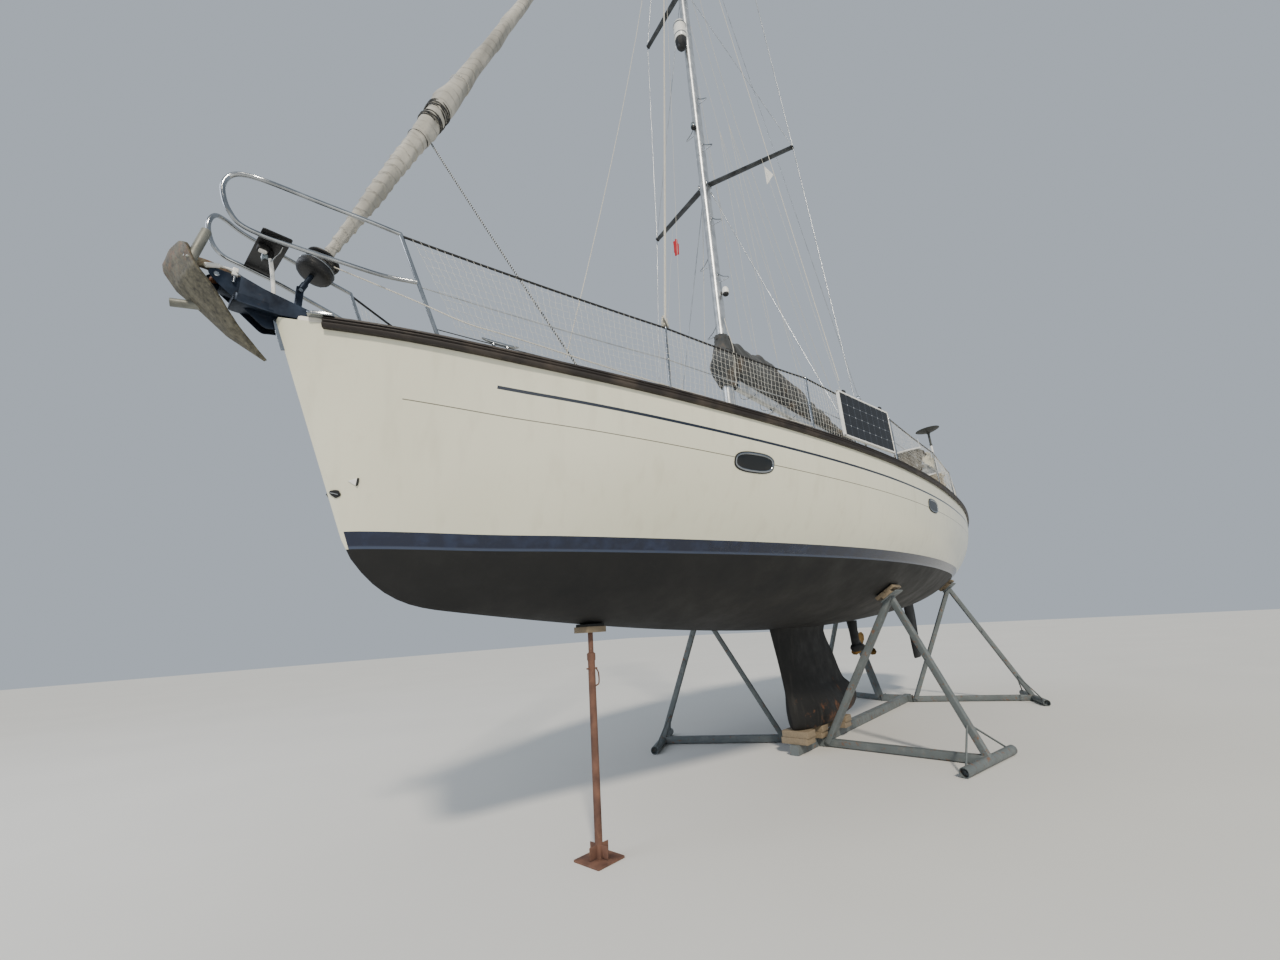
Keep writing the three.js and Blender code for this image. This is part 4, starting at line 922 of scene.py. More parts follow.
class YACHT_OT_hull(bpy.types.Operator):
    """Hull skin from its lines, with its transom and its stripes"""
    bl_idname = "yacht.hull"
    bl_label = "Hull"

    def execute(self, context):
        # Rows run from stem to transom, columns from the port sheer under the keel line to the starboard one.
        # The inner skin repeats the outer one, drawn in by the wall.
        x = np.concatenate([[BOW_X], BOW_X - BOW_X * (1 - np.cos(np.linspace(0.06, np.pi / 2, 60))),
            np.linspace(-0.12, STERN_X, 62)])
        t = np.linspace(0, 1, 40) ** 1.9
        low, high = keel_z(x)[:, None], sheer_z(x)[:, None]
        z = low + (high - low) * t[None, ::-1]
        half = hull_half(x[:, None], z)
        lean = np.where(x <= STERN_X + 1e-6, 1.0, 0.0)[:, None]
        px = x[:, None] + lean * 0.23 * (high - z) / 1.4

        def skin(inset):
            """The hull's skin, drawn in by the inset and raised with it towards the keel."""
            y = np.maximum(half - inset, half * 0.4)
            lift = inset * (1 - t[None, ::-1])
            left = np.stack([px + 0 * y, y, z + lift], -1)
            right = np.stack([px + 0 * y, -y, z + lift], -1)[:, ::-1]
            p = np.concatenate([left[:, :-1], right], 1)
            first, last = p[:1].copy(), p[-1:].copy()
            first[..., 1] *= 0
            close = [last * [1, share, 1] for share in (0.985, 0.6, 0.0)]
            return np.concatenate([first, p, *close])

        outer, inner = skin(0.0), skin(HULL_WALL)
        inner[-4:, :, 0] += HULL_WALL
        inner[:1, :, 0] -= 0.012
        ring = np.concatenate([outer, inner[:, ::-1]], 1)
        s = Surface().grid(ring, wrap=True, caps=False, flip=True)
        mesh = s.mesh("hull.skin")
        finish_piece("hull.skin", mesh, YACHT, "topsides", "topsides", "hull", angle=38, merge=True)
        return {"FINISHED"}


class YACHT_OT_deck(bpy.types.Operator):
    """Deck moulding, strakes and toe rails, windows and hatches"""
    bl_idname = "yacht.deck"
    bl_label = "Deck and strakes"

    def execute(self, context):
        refined("deck", "gelcoat", YACHT, "deck_gelcoat", bevel=0.012, name="deck.moulding")
        self.strakes()
        self.windows()
        self.portlights()
        self.skin_fittings()
        self.hatches()
        return {"FINISHED"}

    def strakes(self):
        """Each strake is an outline of (outboard, up) carried along the sheer; three grooves cut its face."""
        section = [(0.001, -0.04), (0.026, -0.038), (0.036, -0.028)]
        for z in (-0.01, 0.012):
            section += [(0.04, z - 0.008), (0.0405, z - 0.002), (0.03, z), (0.03, z + 0.004)]
        section += [(0.039, 0.022), (0.034, 0.028), (0.022, 0.031), (0.013, 0.034), (0.01, 0.051),
            (0.004, 0.056), (-0.02, 0.056), (-0.025, 0.052), (-0.028, 0.04), (0.001, 0.04)]
        section = np.array(section)
        x = np.linspace(6.22, -6.4, 150)
        step = 0.02
        slope = (half_breadth(x + step) - half_breadth(x - step)) / (2 * step)
        out = unit(np.stack([-slope, np.ones_like(x)], -1))
        level = sheer_z(x)[:, None] + section[:, 1]
        wide = np.maximum(half_breadth(x)[:, None],
            hull_half(x[:, None], np.minimum(level, sheer_z(x)[:, None])))
        for side, sign in SIDES:
            p = np.stack([x[:, None] + section[:, 0] * out[:, :1], sign * (wide + section[:, 0] * out[:, 1:]),
                level], -1)
            s = Surface().grid(p, flip=sign < 0)
            finish_piece(f"strake.{side}", s, YACHT, "strake", "strake", f"toe_rail_{side}", angle=30,
                merge=True)

    def windows(self):
        """The dark panes along the coachroof's sides, their ends drawn in to a quarter ellipse."""
        x = np.linspace(-2.0, 1.5, 60)
        half, height = curve_value(ROOF, x, 1), curve_value(ROOF, x, 2)
        lean = 0.11 * np.minimum(height / 0.3, 1)
        # The pane's ends are drawn in to a quarter ellipse
        end = np.sqrt(np.clip(1 - np.clip((np.abs(x + 0.25) - 1.55) / 0.2, 0, 1) ** 2, 0.02, 1))
        for side, sign in SIDES:
            low, top = 0.55 - 0.25 * end, 0.55 + 0.25 * end
            at = lambda share, out: np.stack([x, sign * (half - lean * share + out), deck_edge_z(x) + height
                * share], -1)
            p = np.stack([at(low, 0.002), at(low, 0.011), at(low * 0.94 + top * 0.06, 0.0135),
                at(low * 0.06 + top * 0.94, 0.0135), at(top, 0.011), at(top, 0.002)], 1)
            s = Surface().grid(p, flip=sign > 0)
            finish_piece(f"cabin.window.{side}", s, YACHT, "glass", "smoked_acrylic", f"cabin_window_{side}",
                merge=True)

    def portlights(self):
        """Each light is rings of one rounded oval, given by how far they stand outside the pane's edge and
        above the hull."""
        a = np.linspace(0, 2 * np.pi, 72, endpoint=False)
        cos, sin = (np.sign(f) * np.abs(f) ** 0.72 for f in (np.cos(a), np.sin(a)))
        for side, sign in SIDES:
            for k, (x, z) in enumerate(((3.19, 2.985), (-0.45, 2.97))):
                s = Surface()
                ring = lambda margin, lift: on_hull(x - (0.215 + margin) * cos, z + (0.083 + margin) * sin,
                    sign, lift)
                flip = sign < 0
                s.grid(np.array([ring(*m) for m in ((0.004, -0.002), (0.006, 0.004), (-0.002, 0.008),
                    (-0.003, 0.003))]), flip=flip, finish=2)
                s.grid(np.array([ring(*m) for m in ((-0.003, 0.002), (-0.004, 0.01), (-0.014, 0.011),
                    (-0.02, 0.007), (-0.022, 0.002))]), flip=flip, finish=0)
                pane = [ring(-0.021, 0.0025)] + [on_hull(x - 0.194 * g * cos, z + 0.062 * g * sin, sign,
                    0.0045) for g in (0.97, 0.6, 0.02)]
                s.grid(np.array(pane), flip=flip, finish=1)
                finish_piece(f"portlight.{side}.{k + 1}", s, YACHT, "stainless glass rubber",
                    "smoked_acrylic", angle=35, merge=True)

    def skin_fittings(self):
        """A drain with its bright guard and a shielded sounder, both close to the stem."""
        drain = [(-0.036, 0.008), (-0.027, 0.022), (0.003, 0.025), (0.022, 0.022), (0.037, -0.006),
            (0.031, -0.016), (0.004, -0.027), (-0.014, -0.014)]
        shield = [(-0.036, 0.006), (0.022, 0.023), (0.027, 0.004), (0.011, -0.024), (-0.006, -0.014)]
        edge = [(0.02, 0.025), (0.03, 0.022), (0.021, -0.024), (0.01, -0.026)]
        for sign in (1, -1):
            s = Surface()
            for outline, at, thick, look in ((drain, (6.012, 2.577), 0.008, 0), (shield, (5.94, 2.646), 0.008,
                    1), (edge, (5.94, 2.646), 0.014, 0)):
                middle = on_hull(*at, sign, 0.003)
                out = unit(on_hull(*at, sign, 0.1) - middle)
                u = unit(np.cross([0, 0, 1.0], out))
                points = np.array(outline)[::-1] * [sign, 1]
                if sign < 0:
                    points = points[::-1]
                s.grid(plate(rounded(points, 0.006), middle, u, np.cross(out, u), thick), finish=look)
                if outline is drain:
                    up = np.cross(out, u)
                    a, b = (middle + out * 0.008 + u * sign * q[0] + up * q[1] for q in ((-0.026, 0.01),
                        (0.024, -0.004)))
                    s.bar(a, b, 0.007, 0.006, 0.002, up=up, finish=2)
            side = "port" if sign > 0 else "starboard"
            finish_piece(f"skin.fittings.{side}", s, YACHT, "black white stainless", "black_plastic",
                merge=True)

    def hatches(self):
        """Hatches, washboard and locker lids, each a CAD node with rounded edges."""
        for node, body, bevel, name, slot, surface in (
                ("fore_hatch", "fore_hatch", 0.006, "fore.hatch", "smoked_acrylic", "glass"),
                ("mid_hatch", "mid_hatch", 0.006, "mid.hatch", "smoked_acrylic", "glass"),
                ("companionway_hatch", "companionway_hatch", 0.008, "companionway.hatch", "smoked_acrylic",
                "glass"),
                ("washboard", YACHT, 0.004, "washboard", "teak", "teak"),
                ("anchor_locker_lid", "anchor_locker_lid", 0.006, "anchor.locker.lid", "deck_gelcoat",
                "gelcoat"),
                ("cockpit_locker_port", "cockpit_locker_port", 0.004, "cockpit.locker.port", "teak", "teak"),
                ("cockpit_locker_starboard", "cockpit_locker_starboard", 0.004, "cockpit.locker.starboard",
                "teak", "teak")):
            refined(node, surface, body, slot, bevel=bevel, name=name + ".lid")


# Underwater parts

FOIL = [(0, 0), (0.012, 0.22), (0.05, 0.5), (0.1, 0.69), (0.15, 0.82), (0.23, 0.95), (0.32, 1), (0.42, 0.96),
    (0.55, 0.86), (0.68, 0.67), (0.8, 0.45), (0.9, 0.25), (1, 0.06)]


def foil_rings(table, steps=6, stock=0.0):
    """Sections of a foil up a fin: rows of (z, leading x, trailing x, half-thickness) joined by a smooth
    curve."""
    rows = sorted(table, reverse=True)
    z = np.concatenate([np.linspace(a[0], b[0], steps, endpoint=False) for a, b in zip(rows, rows[1:])]
        + [[rows[-1][0]]])
    lead, trail, half = (curve_value(rows, z, k) for k in (1, 2, 3))
    u = np.array([f[0] for f in FOIL] + [f[0] for f in FOIL[:0:-1]])
    share = np.array([f[1] for f in FOIL] + [-f[1] for f in FOIL[:0:-1]])
    return np.stack([stock + lead[:, None] + (trail - lead)[:, None] * u, half[:, None] * share,
        z[:, None] + 0 * u], -1)


class YACHT_OT_underwater(bpy.types.Operator):
    """Keel with its bulb, rudder, saildrive leg and propeller"""
    bl_idname = "yacht.underwater"
    bl_label = "Keel, rudder and drive"

    def execute(self, context):
        fin = [(1.69, 0.73, -1.13, 0.165), (1.56, 0.705, -1.01, 0.125), (1.44, 0.68, -0.94, 0.105),
            (1.1, 0.59, -1.17, 0.092), (0.76, 0.51, -1.39, 0.11), (0.65, 0.49, -1.61, 0.16),
            (0.54, 0.47, -1.78, 0.205), (0.42, 0.445, -1.8, 0.225), (0.33, 0.42, -1.68, 0.215),
            (0.29, 0.4, -1.56, 0.197), (0.277, 0.385, -1.49, 0.176)]
        s = Surface().grid(foil_rings(fin))
        finish_piece("keel.fin", s, YACHT, "keel", "antifouling_iron", "keel", merge=True)
        blade = [(1.845, 0.13, -0.56, 0.052), (1.5, 0.135, -0.545, 0.05), (0.78, 0.108, -0.41, 0.034),
            (0.71, 0.09, -0.38, 0.03), (0.7, 0.07, -0.36, 0.02)]
        s = Surface().grid(foil_rings(blade, 5, -5.42))
        top = min(float(keel_z(-5.29)), 4.0) - 0.006
        s.turned([(0.038, 0), (0.038, top - 1.7)], (-5.42, 0, 1.7), UP, 20)
        finish_piece("rudder.blade", s, "rudder", "antifouling", "antifouling_grp", "rudder", merge=True)
        refined("saildrive", "antifouling", YACHT, "antifouling_alloy", bevel=0.004, name="saildrive.leg")
        refined("propeller", "bronze", "propeller", "bronze", bevel=0.002, name="propeller.blades")
        return {"FINISHED"}


# Cradle

CRADLE_FORE, CRADLE_AFT = -0.18, -4.23
CENTRE_END = {"port": 0.13, "starboard": 0.43}
FOOT_HALF = 0.64
PROP_FOOT, PROP_HEAD = (3.97, 0.11), (3.93, 0.045)
ARMS = [
    # name, foot x and y, head x and y, turn of the foot tube
    ("fore_port", -0.065, 2.03, -0.18, 1.29, -0.14),
    ("fore_starboard", 0.69, -1.985, 0.4, -1.32, 0),
    ("aft_port", -4.96, 1.95, -4.56, 1.06, 0),
    ("aft_starboard", -4.96, -1.95, -4.56, -1.06, 0),
]


class YACHT_OT_cradle(bpy.types.Operator):
    """Steel cradle with its four arms and timber, and the prop under the bow"""
    bl_idname = "yacht.cradle"
    bl_label = "Cradle and bow prop"

    def execute(self, context):
        self.base()
        for row in ARMS:
            self.arm(*row)
        self.prop()
        return {"FINISHED"}

    def base(self):
        """The keel beam, two cross beams with a nut at each bolt, and the timber under the keel."""
        s = Surface()
        s.bar((CRADLE_AFT - 0.18, 0, 0.06), (0.48, 0, 0.06), 0.12, 0.12, 0.012)
        for x in (CRADLE_FORE, CRADLE_AFT):
            s.bar((x, -0.43, 0.06), (x, 0.13, 0.06), 0.12, 0.1195, 0.012)
            for y in (-0.36, 0.1):
                s.turned([(0, 0), (0.014, 0), (0.016, 0.006), (0.014, 0.016), (0, 0.016)], (x, y, 0.118), UP,
                    6)
        for x0, x1, half in ((-1.01, -0.79, 0.19), (-0.23, -0.03, 0.17), (0.19, 0.43, 0.18)):
            for k, (low, high) in enumerate(((0.12, 0.195), (0.196, 0.2745))):
                off = 0.008 * (k * 2 - 1)
                s.slab(((x0 + x1) / 2, off, (low + high) / 2), (2 * half, x1 - x0 - 0.012 * k, high - low),
                    0.008, 0.005, x_axis=PORT, finish=1)
        finish_piece("cradle.base", s, YACHT, "steel timber", "cradle_steel", "cradle_base", merge=True)

    def arm(self, name, foot_x, foot_y, head_x, head_y, turn):
        """One propping arm: a skewed triangle of box tubes on a round foot tube, with a padded head under
        the hull."""
        side = "port" if foot_y > 0 else "starboard"
        sign = 1 if foot_y > 0 else -1
        start = np.array([CRADLE_FORE if name.startswith("fore") else CRADLE_AFT, sign * CENTRE_END[side], 0])
        square = unit(np.array([foot_x, foot_y, 0]) - start)
        out = lambda run, z: np.array([start[0] + square[0] * run, start[1] + square[1] * run, z])
        tee = np.array([-square[1], square[0]])
        c, n = math.cos(turn), math.sin(turn)
        tee = np.array([tee[0] * c - tee[1] * n, tee[0] * n + tee[1] * c, 0])
        foot = np.array([foot_x, foot_y, 0.052])
        pad_z = lowest_hull_z(head_x, abs(head_y))
        head = np.array([head_x, head_y, pad_z - 0.1])
        s = Surface()
        s.bar(out(0.003, 0.055), foot * [1, 1, 0] + [0, 0, 0.055], 0.09, 0.09, 0.01)
        s.bar(out(0.05, 0.055), head, 0.15, 0.07, 0.012)
        s.bar(foot, head, 0.076, 0.076, 0.01)
        # The foot tube is open at its ends: its rings go in again a little way inside
        s.turned([(0.044, -0.58), (0.044, -FOOT_HALF), (0.052, -FOOT_HALF), (0.052, FOOT_HALF),
            (0.044, FOOT_HALF), (0.044, 0.58)], foot, tee, 24)
        knee = foot + (head - foot) * 0.2
        for k in (1, -1):
            s.turned([(0.011, 0), (0.011, np.linalg.norm(foot + tee * 0.6 * k - knee))], knee,
                foot + tee * 0.6 * k - knee, 10)
        # Pin holes up the arm, shown as raised bushes with a bolt in the fourth one
        along = unit(head - foot)
        across = unit(np.cross(along, [0, 0, 1.0]))
        for k, share in enumerate(np.linspace(0.3, 0.78, 6)):
            at = foot + (head - foot) * share
            s.turned([(0.013, 0.0375), (0.015, 0.04), (0.013, 0.0425), (0.008, 0.0425), (0.008, 0.036)], at,
                across, 10)
            if k == 3:
                s.turned([(0.0, -0.058), (0.014, -0.058), (0.014, -0.046), (0.009, -0.046), (0.009, 0.05),
                    (0.016, 0.05), (0.016, 0.06), (0, 0.06)], at, across, 6)
        # Head: a steel saddle, then timber boards that lie against the hull
        reach = 0.1
        rise = lowest_hull_z(head_x, abs(head_y) + reach) - lowest_hull_z(head_x, abs(head_y) - reach)
        slope = sign * math.atan2(rise, 2 * reach)
        up = np.array([0, -math.sin(slope), math.cos(slope)])
        centre = np.array([head_x, head_y, pad_z - 0.07])
        s.slab(centre - up * 0.036, (0.3, 0.26, 0.012), 0.02, 0.003, up=up)
        s.slab(centre - up * 0.002, (0.31, 0.145, 0.052), 0.008, 0.004, up=up, finish=1)
        for k in (1, -1):
            y_axis = np.cross(up, [1, 0, 0])
            s.slab(centre + y_axis * 0.072 * k + up * 0.026, (0.315, 0.14, 0.042), 0.008, 0.004, up=up,
                finish=1)
        body = f"cradle_arm_{name}"
        label = "cradle.arm." + name.replace("_", ".")
        finish_piece(label, s, YACHT, "steel timber", "cradle_steel", body, merge=True)

    def prop(self):
        """Telescoping tube: the inner tube stands in the outer one on a pin and a collar."""
        top = lowest_hull_z(*PROP_HEAD) - 0.003
        foot, head = np.array([*PROP_FOOT, 0.012]), np.array([*PROP_HEAD, top - 0.02])
        d = head - foot
        length = np.linalg.norm(d)
        s = Surface()
        collar = 0.87 * length
        s.turned([(0.03, 0), (0.03, collar - 0.06), (0.036, collar - 0.05), (0.036, collar),
            (0.0225, collar + 0.01)], foot, d, 24)
        s.turned([(0.022, collar - 0.1), (0.022, length)], foot, d, 20)
        across = unit(np.cross(unit(d), [0, 1.0, 0]))
        at = foot + unit(d) * (collar - 0.12)
        s.turned([(0, -0.055), (0.007, -0.055), (0.007, 0.06), (0, 0.06)], at, across, 8)
        handle = [at + across * 0.05, at + across * 0.075 - unit(d) * 0.04, at + across * 0.075 - unit(d)
            * 0.12, at + across * 0.03 - unit(d) * 0.14]
        s.tube(smooth_path(handle, 6), 0.006, 8, axis=(0.6, 0.8, 0))
        s.slab((*PROP_FOOT, 0.007), (0.28, 0.28, 0.014), 0.012, 0.002)
        for a in (0, 1, 2, 3):
            q = np.array([math.cos(a * math.pi / 2), math.sin(a * math.pi / 2), 0])
            s.slab(foot + q * 0.06 + [0, 0, 0.05], (0.075, 0.008, 0.085), 0.003, 0.002, x_axis=q)
        s.slab((*PROP_HEAD, top - 0.045), (0.22, 0.18, 0.05), 0.012, 0.004, finish=1)
        s.slab((*PROP_HEAD, top - 0.012), (0.2, 0.16, 0.03), 0.015, 0.008, finish=2)
        finish_piece("bow.prop", s, YACHT, "rusty timber rubber", "rusty_steel", "bow_prop", merge=True)


# Rails

PULPIT_LOOP = [(5.905, 0.442, 4.322), (6.1, 0.405, 4.33), (6.37, 0.346, 4.34), (6.62, 0.292, 4.352),
    (6.735, 0.24, 4.362), (6.788, 0.208, 4.338), (6.81, 0.2, 4.265), (6.795, 0.2, 4.18), (6.762, 0.2, 4.112),
    (6.705, 0.192, 4.062), (6.6, 0.195, 4.048), (6.43, 0.225, 4.042), (6.215, 0.28, 4.03),
    (5.96, 0.352, 4.015)]
STANCHION_XS = (3.96, 2.26, 0.4, -1.7, -3.4)
STANCHION_HEIGHT = 0.64
RAIL_Y, RAIL_X = 1.47, -5.0


def foot_ring(x, y, z, radius=0.03):
    """A flange on the deck with a rounded edge."""
    return turned([(radius, -0.006), (radius, 0.004), (radius * 0.9, 0.007), (radius * 0.55, 0.009),
        (radius * 0.5, 0.02)], (x, y, z), UP, 20)


def pulpit_leg():
    """Foot and head of the pulpit's aft leg on the port side."""
    x = 5.6
    y = float(half_breadth(x)) - 0.09
    return np.array([x, y, float(deck_z(x, y)) + 0.013]), np.array(PULPIT_LOOP[0])


def stanchion_foot(x, sign):
    """A stanchion's foot on the deck, 88 mm inside the hull's edge."""
    y = float(half_breadth(x)) - 0.088
    return np.array([x, sign * y, float(deck_z(x, y)) + 0.003])


class YACHT_OT_rails(bpy.types.Operator):
    """Bow and stern rails, stanchions, guard lines and the netting laced between them"""
    bl_idname = "yacht.rails"
    bl_label = "Rails and netting"

    def execute(self, context):
        self.pulpits()
        self.pushpits()
        self.stanchions()
        self.guard_lines()
        self.netting()
        return {"FINISHED"}

    def pulpits(self):
        """Each pulpit half: a loop of tube round the bow, its aft leg and that leg's foot."""
        r = rig_sizes().rail_radius
        for side, sign in SIDES:
            m = np.array([1, sign, 1])
            foot, top = pulpit_leg()
            loop = [*PULPIT_LOOP, foot + (top - foot) * 0.55]
            s = Surface()
            s.tube(smooth_path(np.array(loop) * m, 7), r, 16, axis=(0.1, 1, 0.2))
            s.tube(np.linspace(foot, top, 6) * m, r, 16, axis=(0.1, 1, 0.2))
            s.ball(top * m, (r * 1.02,) * 3, 8, 12)
            s.grid(foot_ring(foot[0], foot[1] * sign, foot[2]), finish=1)
            finish_piece(f"pulpit.{side}", s, YACHT, "stainless white", "stainless", f"pulpit_{side}",
                merge=True)
        s = Surface()
        s.slab((6.5275, 0, 4.07), (0.155, 0.48, 0.008), 0.012, 0.0015)
        lamp = (6.53, 0.02, 4.064)
        s.turned([(0.0, 0.0), (0.034, 0.0), (0.036, -0.012), (0.034, -0.022)], lamp, UP, 20, finish=0)
        s.turned([(0.031, -0.018), (0.031, -0.048), (0.026, -0.058), (0.012, -0.062), (0.0, -0.063)], lamp,
            UP, 20, finish=1)
        s.turned([(0.0, -0.0655), (0.02, -0.065), (0.022, -0.06)], lamp, UP, 16, finish=0)
        finish_piece("bow.light", s, YACHT, "black lens", "black_plastic", "bow_light_plate", merge=True)

    def pushpits(self):
        """Each pushpit half: a top tube, a lower tube and four legs."""
        r = rig_sizes().rail_radius
        for side, sign in SIDES:
            base = lambda x, y, up: np.array([x, sign * y, float(deck_z(x, y)) + up])
            legs = [base(RAIL_X, RAIL_Y, 0.006), base(-5.75, 1.36, 0.006), base(-6.33, 1.18, 0.006),
                base(-6.34, 0.42, 0.006)]
            top = [legs[0], base(RAIL_X, RAIL_Y, 0.59), base(-5.06, 1.462, 0.69), base(-5.75, 1.36, 0.69),
                base(-6.23, 1.26, 0.69), base(-6.33, 1.12, 0.69), base(-6.35, 0.76, 0.69),
                base(-6.345, 0.5, 0.69), base(-6.34, 0.42, 0.59), legs[3]]
            s = Surface()
            path = smooth_path(top, 8)
            s.grid(self.bent(path, r))
            for a, b in ((legs[1], base(-5.75, 1.36, 0.69)), (legs[2], base(-6.29, 1.19, 0.69))):
                s.tube(np.linspace(a, b, 4), r - 0.002, 14, axis=FORWARD)
            mid = [base(RAIL_X, RAIL_Y, 0.36), base(-5.75, 1.36, 0.36), base(-6.2, 1.27, 0.36),
                base(-6.33, 1.12, 0.36), base(-6.345, 0.76, 0.36), base(-6.34, 0.42, 0.36)]
            s.grid(self.bent(smooth_path(mid, 8), r - 0.003))
            for leg in legs:
                s.grid(foot_ring(*leg, 0.036))
            finish_piece(f"pushpit.{side}", s, YACHT, "stainless", "stainless", f"pushpit_{side}", merge=True)

    def bent(self, path, radius, sides=14):
        """A tube whose cross direction follows the bend without a jump."""
        tangent = unit(np.gradient(path, axis=0))
        side = unit(np.cross(tangent, np.array([0.57, -0.31, 0.12])))
        up = np.cross(side, tangent)
        a = np.linspace(0, 2 * np.pi, sides, endpoint=False)[None, :, None]
        return path[:, None] + radius * (side[:, None] * np.cos(a) + up[:, None] * np.sin(a))

    def stanchions(self):
        """Stanchions, turned from outlines: a base, a tube with a thicker head, and a ring halfway up."""
        for side, sign in SIDES:
            for k, x in enumerate(STANCHION_XS):
                foot = stanchion_foot(x, sign)
                s = Surface()
                s.turned([(0.042, 0), (0.042, 0.005), (0.038, 0.008), (0.026, 0.011), (0.019, 0.022),
                    (0.0175, 0.045), (0.0135, 0.047)], foot, UP, 20)
                high = STANCHION_HEIGHT
                s.turned([(0.0125, 0.03), (0.0125, high - 0.04), (0.0135, high - 0.037),
                    (0.0135, high - 0.008), (0.011, high - 0.002), (0.004, high)], foot, UP, 16)
                s.turned([(0.0125, 0.316), (0.0145, 0.319), (0.0145, 0.329), (0.0125, 0.332)], foot, UP, 16)
                name = f"stanchion.{side}.{k + 1}"
                finish_piece(name, s, YACHT, "stainless", "stainless", f"stanchion_{side}_{k + 1}",
                    merge=True)

    def line_points(self, sign, share):
        """Where a guard line at a share of the stanchions' height is held, from the pulpit leg to the stern
        rail."""
        foot, top = pulpit_leg()
        first = (foot + (top - foot) * (share + 0.01)) * [1, sign, 1]
        held = [stanchion_foot(x, sign) + [0, 0, (STANCHION_HEIGHT - 0.02) * share / 0.97]
            for x in STANCHION_XS]
        last = np.array([RAIL_X, sign * RAIL_Y, float(deck_z(RAIL_X, RAIL_Y)) + 0.62 * share])
        return np.array([first, *held, last])

    def guard_lines(self):
        """Top line, middle line and the thin line that the netting's foot is laced to."""
        r = rig_sizes().guard_radius
        for side, sign in SIDES:
            s = Surface()
            for share, radius, look in ((0.97, r, 0), (0.5, r * 0.45, 1), (0.11, r * 0.4, 2)):
                held = self.line_points(sign, share)
                # Each span hangs in a shallow parabola between its two posts
                t = np.linspace(0, 1, 9)[:-1]
                spans = [a + (b - a) * t[:, None] - np.outer(4 * t * (1 - t), [0, 0, 0.012]) for a,
                    b in zip(held, held[1:])]
                path = np.concatenate([*spans, held[-1:]]) + np.array([0, sign * 0.002, 0])
                s.tube(path, radius, 10, axis=UP, finish=look)
            finish_piece(f"guard.lines.{side}", s, YACHT, "rubber wire dark_rope", "stainless", merge=True)

    def netting(self):
        """A square net hung from the top line: its upright threads are spaced evenly along the line and
        wander by crossing sines, and every level thread joins them at one share of the drop."""
        cell = rig_sizes().mesh_size
        for side, sign in SIDES:
            top_line, foot_line = self.line_points(sign, 0.97), self.line_points(sign, 0.11)
            gaps = np.linalg.norm(np.diff(top_line, axis=0), axis=1)
            run = np.concatenate([[0], np.cumsum(gaps)])
            u = 0.07 + cell * np.arange(int((run[-1] - 0.1) / cell))
            gathered = u + 0.12 * np.exp(-u / 0.5)
            top = np.stack([np.interp(u, run, top_line[:, k]) for k in range(3)], -1)
            foot = np.stack([np.interp(gathered, run, foot_line[:, k]) for k in range(3)], -1)
            v = np.linspace(0, 1, 45)[None]
            loose = np.sin(np.pi * v)
            u = u[:, None]
            along = 0.07 * cell * np.sin(42 * v + 3.1 * np.sin(u * 5.3)) + 0.01 * np.sin(u * 7.9) * loose
            out = 0.01 + (0.012 * np.sin(u * 3.1 + 0.8) + 0.006 * np.sin(u * 11.0)) * loose
            p = top[:, None] + (foot - top)[:, None] * v[..., None] + np.stack([along, sign * out,
                -0.004 + 0 * out], -1)
            p[:, -1, 2] += 0.012 * np.abs(np.sin(u[:, 0] * np.pi / 0.42))
            level = p[:, 4::4].transpose(1, 0, 2).copy()
            rows = np.arange(level.shape[0])[:, None]
            level[..., 2] += 0.004 * np.sin(u[:, 0] * np.pi / cell + rows) + 0.003 * np.sin(u[:, 0] * 9 + 2
                * rows)
            s = Surface()
            self.threads(s, p, 0.0013)
            self.threads(s, level, 0.0011)
            finish_piece(f"netting.{side}", s, YACHT, "thread", "sailcloth", angle=180)

    def threads(self, surface, lines, radius):
        """A three-sided tube along every row of a block of lines at once."""
        tangent = unit(np.gradient(lines, axis=1))
        side = unit(np.cross(tangent, np.array([0.31, 0.93, 0.2])))
        up = np.cross(side, tangent)
        a = np.arange(3) * 2 * np.pi / 3
        p = lines[:, :, None] + radius * (side[:, :, None] * np.cos(a)[:, None] + up[:, :, None]
            * np.sin(a)[:, None])
        count, n = p.shape[:2]
        k, i, j = np.meshgrid(np.arange(count), np.arange(n - 1), np.arange(3), indexing="ij")
        k, i, j = k.ravel(), i.ravel(), j.ravel()
        index = lambda row, col: k * n * 3 + row * 3 + col % 3
        corner = [(i, j), (i, j + 1), (i + 1, j + 1), (i + 1, j)]
        quads = np.stack([index(row, col) for row, col in corner], -1) + surface.count
        uv = np.stack([np.stack([c * 0.003, r * 0.05], -1) for r, c in corner], 1)
        surface.keep(p.reshape(-1, 3), quads, uv, 0)


# Mast, boom and rigging

MAST_X, MASTHEAD_Z = 1.057, 17.9
MAST_HALF = (0.098, 0.068)
BOOM_Z, BOOM_LENGTH, GOOSENECK_X = 5.03, 4.85, 0.911
# x, half-width at the deck, height above the deck edge
ROOF = [(3.45, 0.42, 0.04), (3.15, 0.54, 0.2), (2.7, 0.7, 0.32), (1.9, 0.9, 0.39), (0.7, 1.07, 0.44),
    (-1.0, 1.15, 0.48), (-2.64, 1.15, 0.505)]
SPREADERS = [
    # root height, half-span, sweep aft, tip rise
    (8.51, 1.35, 0.4, 0.06), (13.13, 1.13, 0.33, 0.05),
]
CHAINPLATE = (0.78, 1.64)
STAY_FOOT, STAY_HEAD = np.array([6.33, 0, 3.9]), np.array([1.19, 0, 17.84])
STAY_LENGTH = float(np.linalg.norm(STAY_HEAD - STAY_FOOT))
STAY = unit(STAY_HEAD - STAY_FOOT)


def roof_top_z(x):
    """Height of the coachroof's top on the middle line."""
    return float(deck_edge_z(x) + curve_value(ROOF, x, 2) + 0.05 * curve_value(ROOF, x, 1))


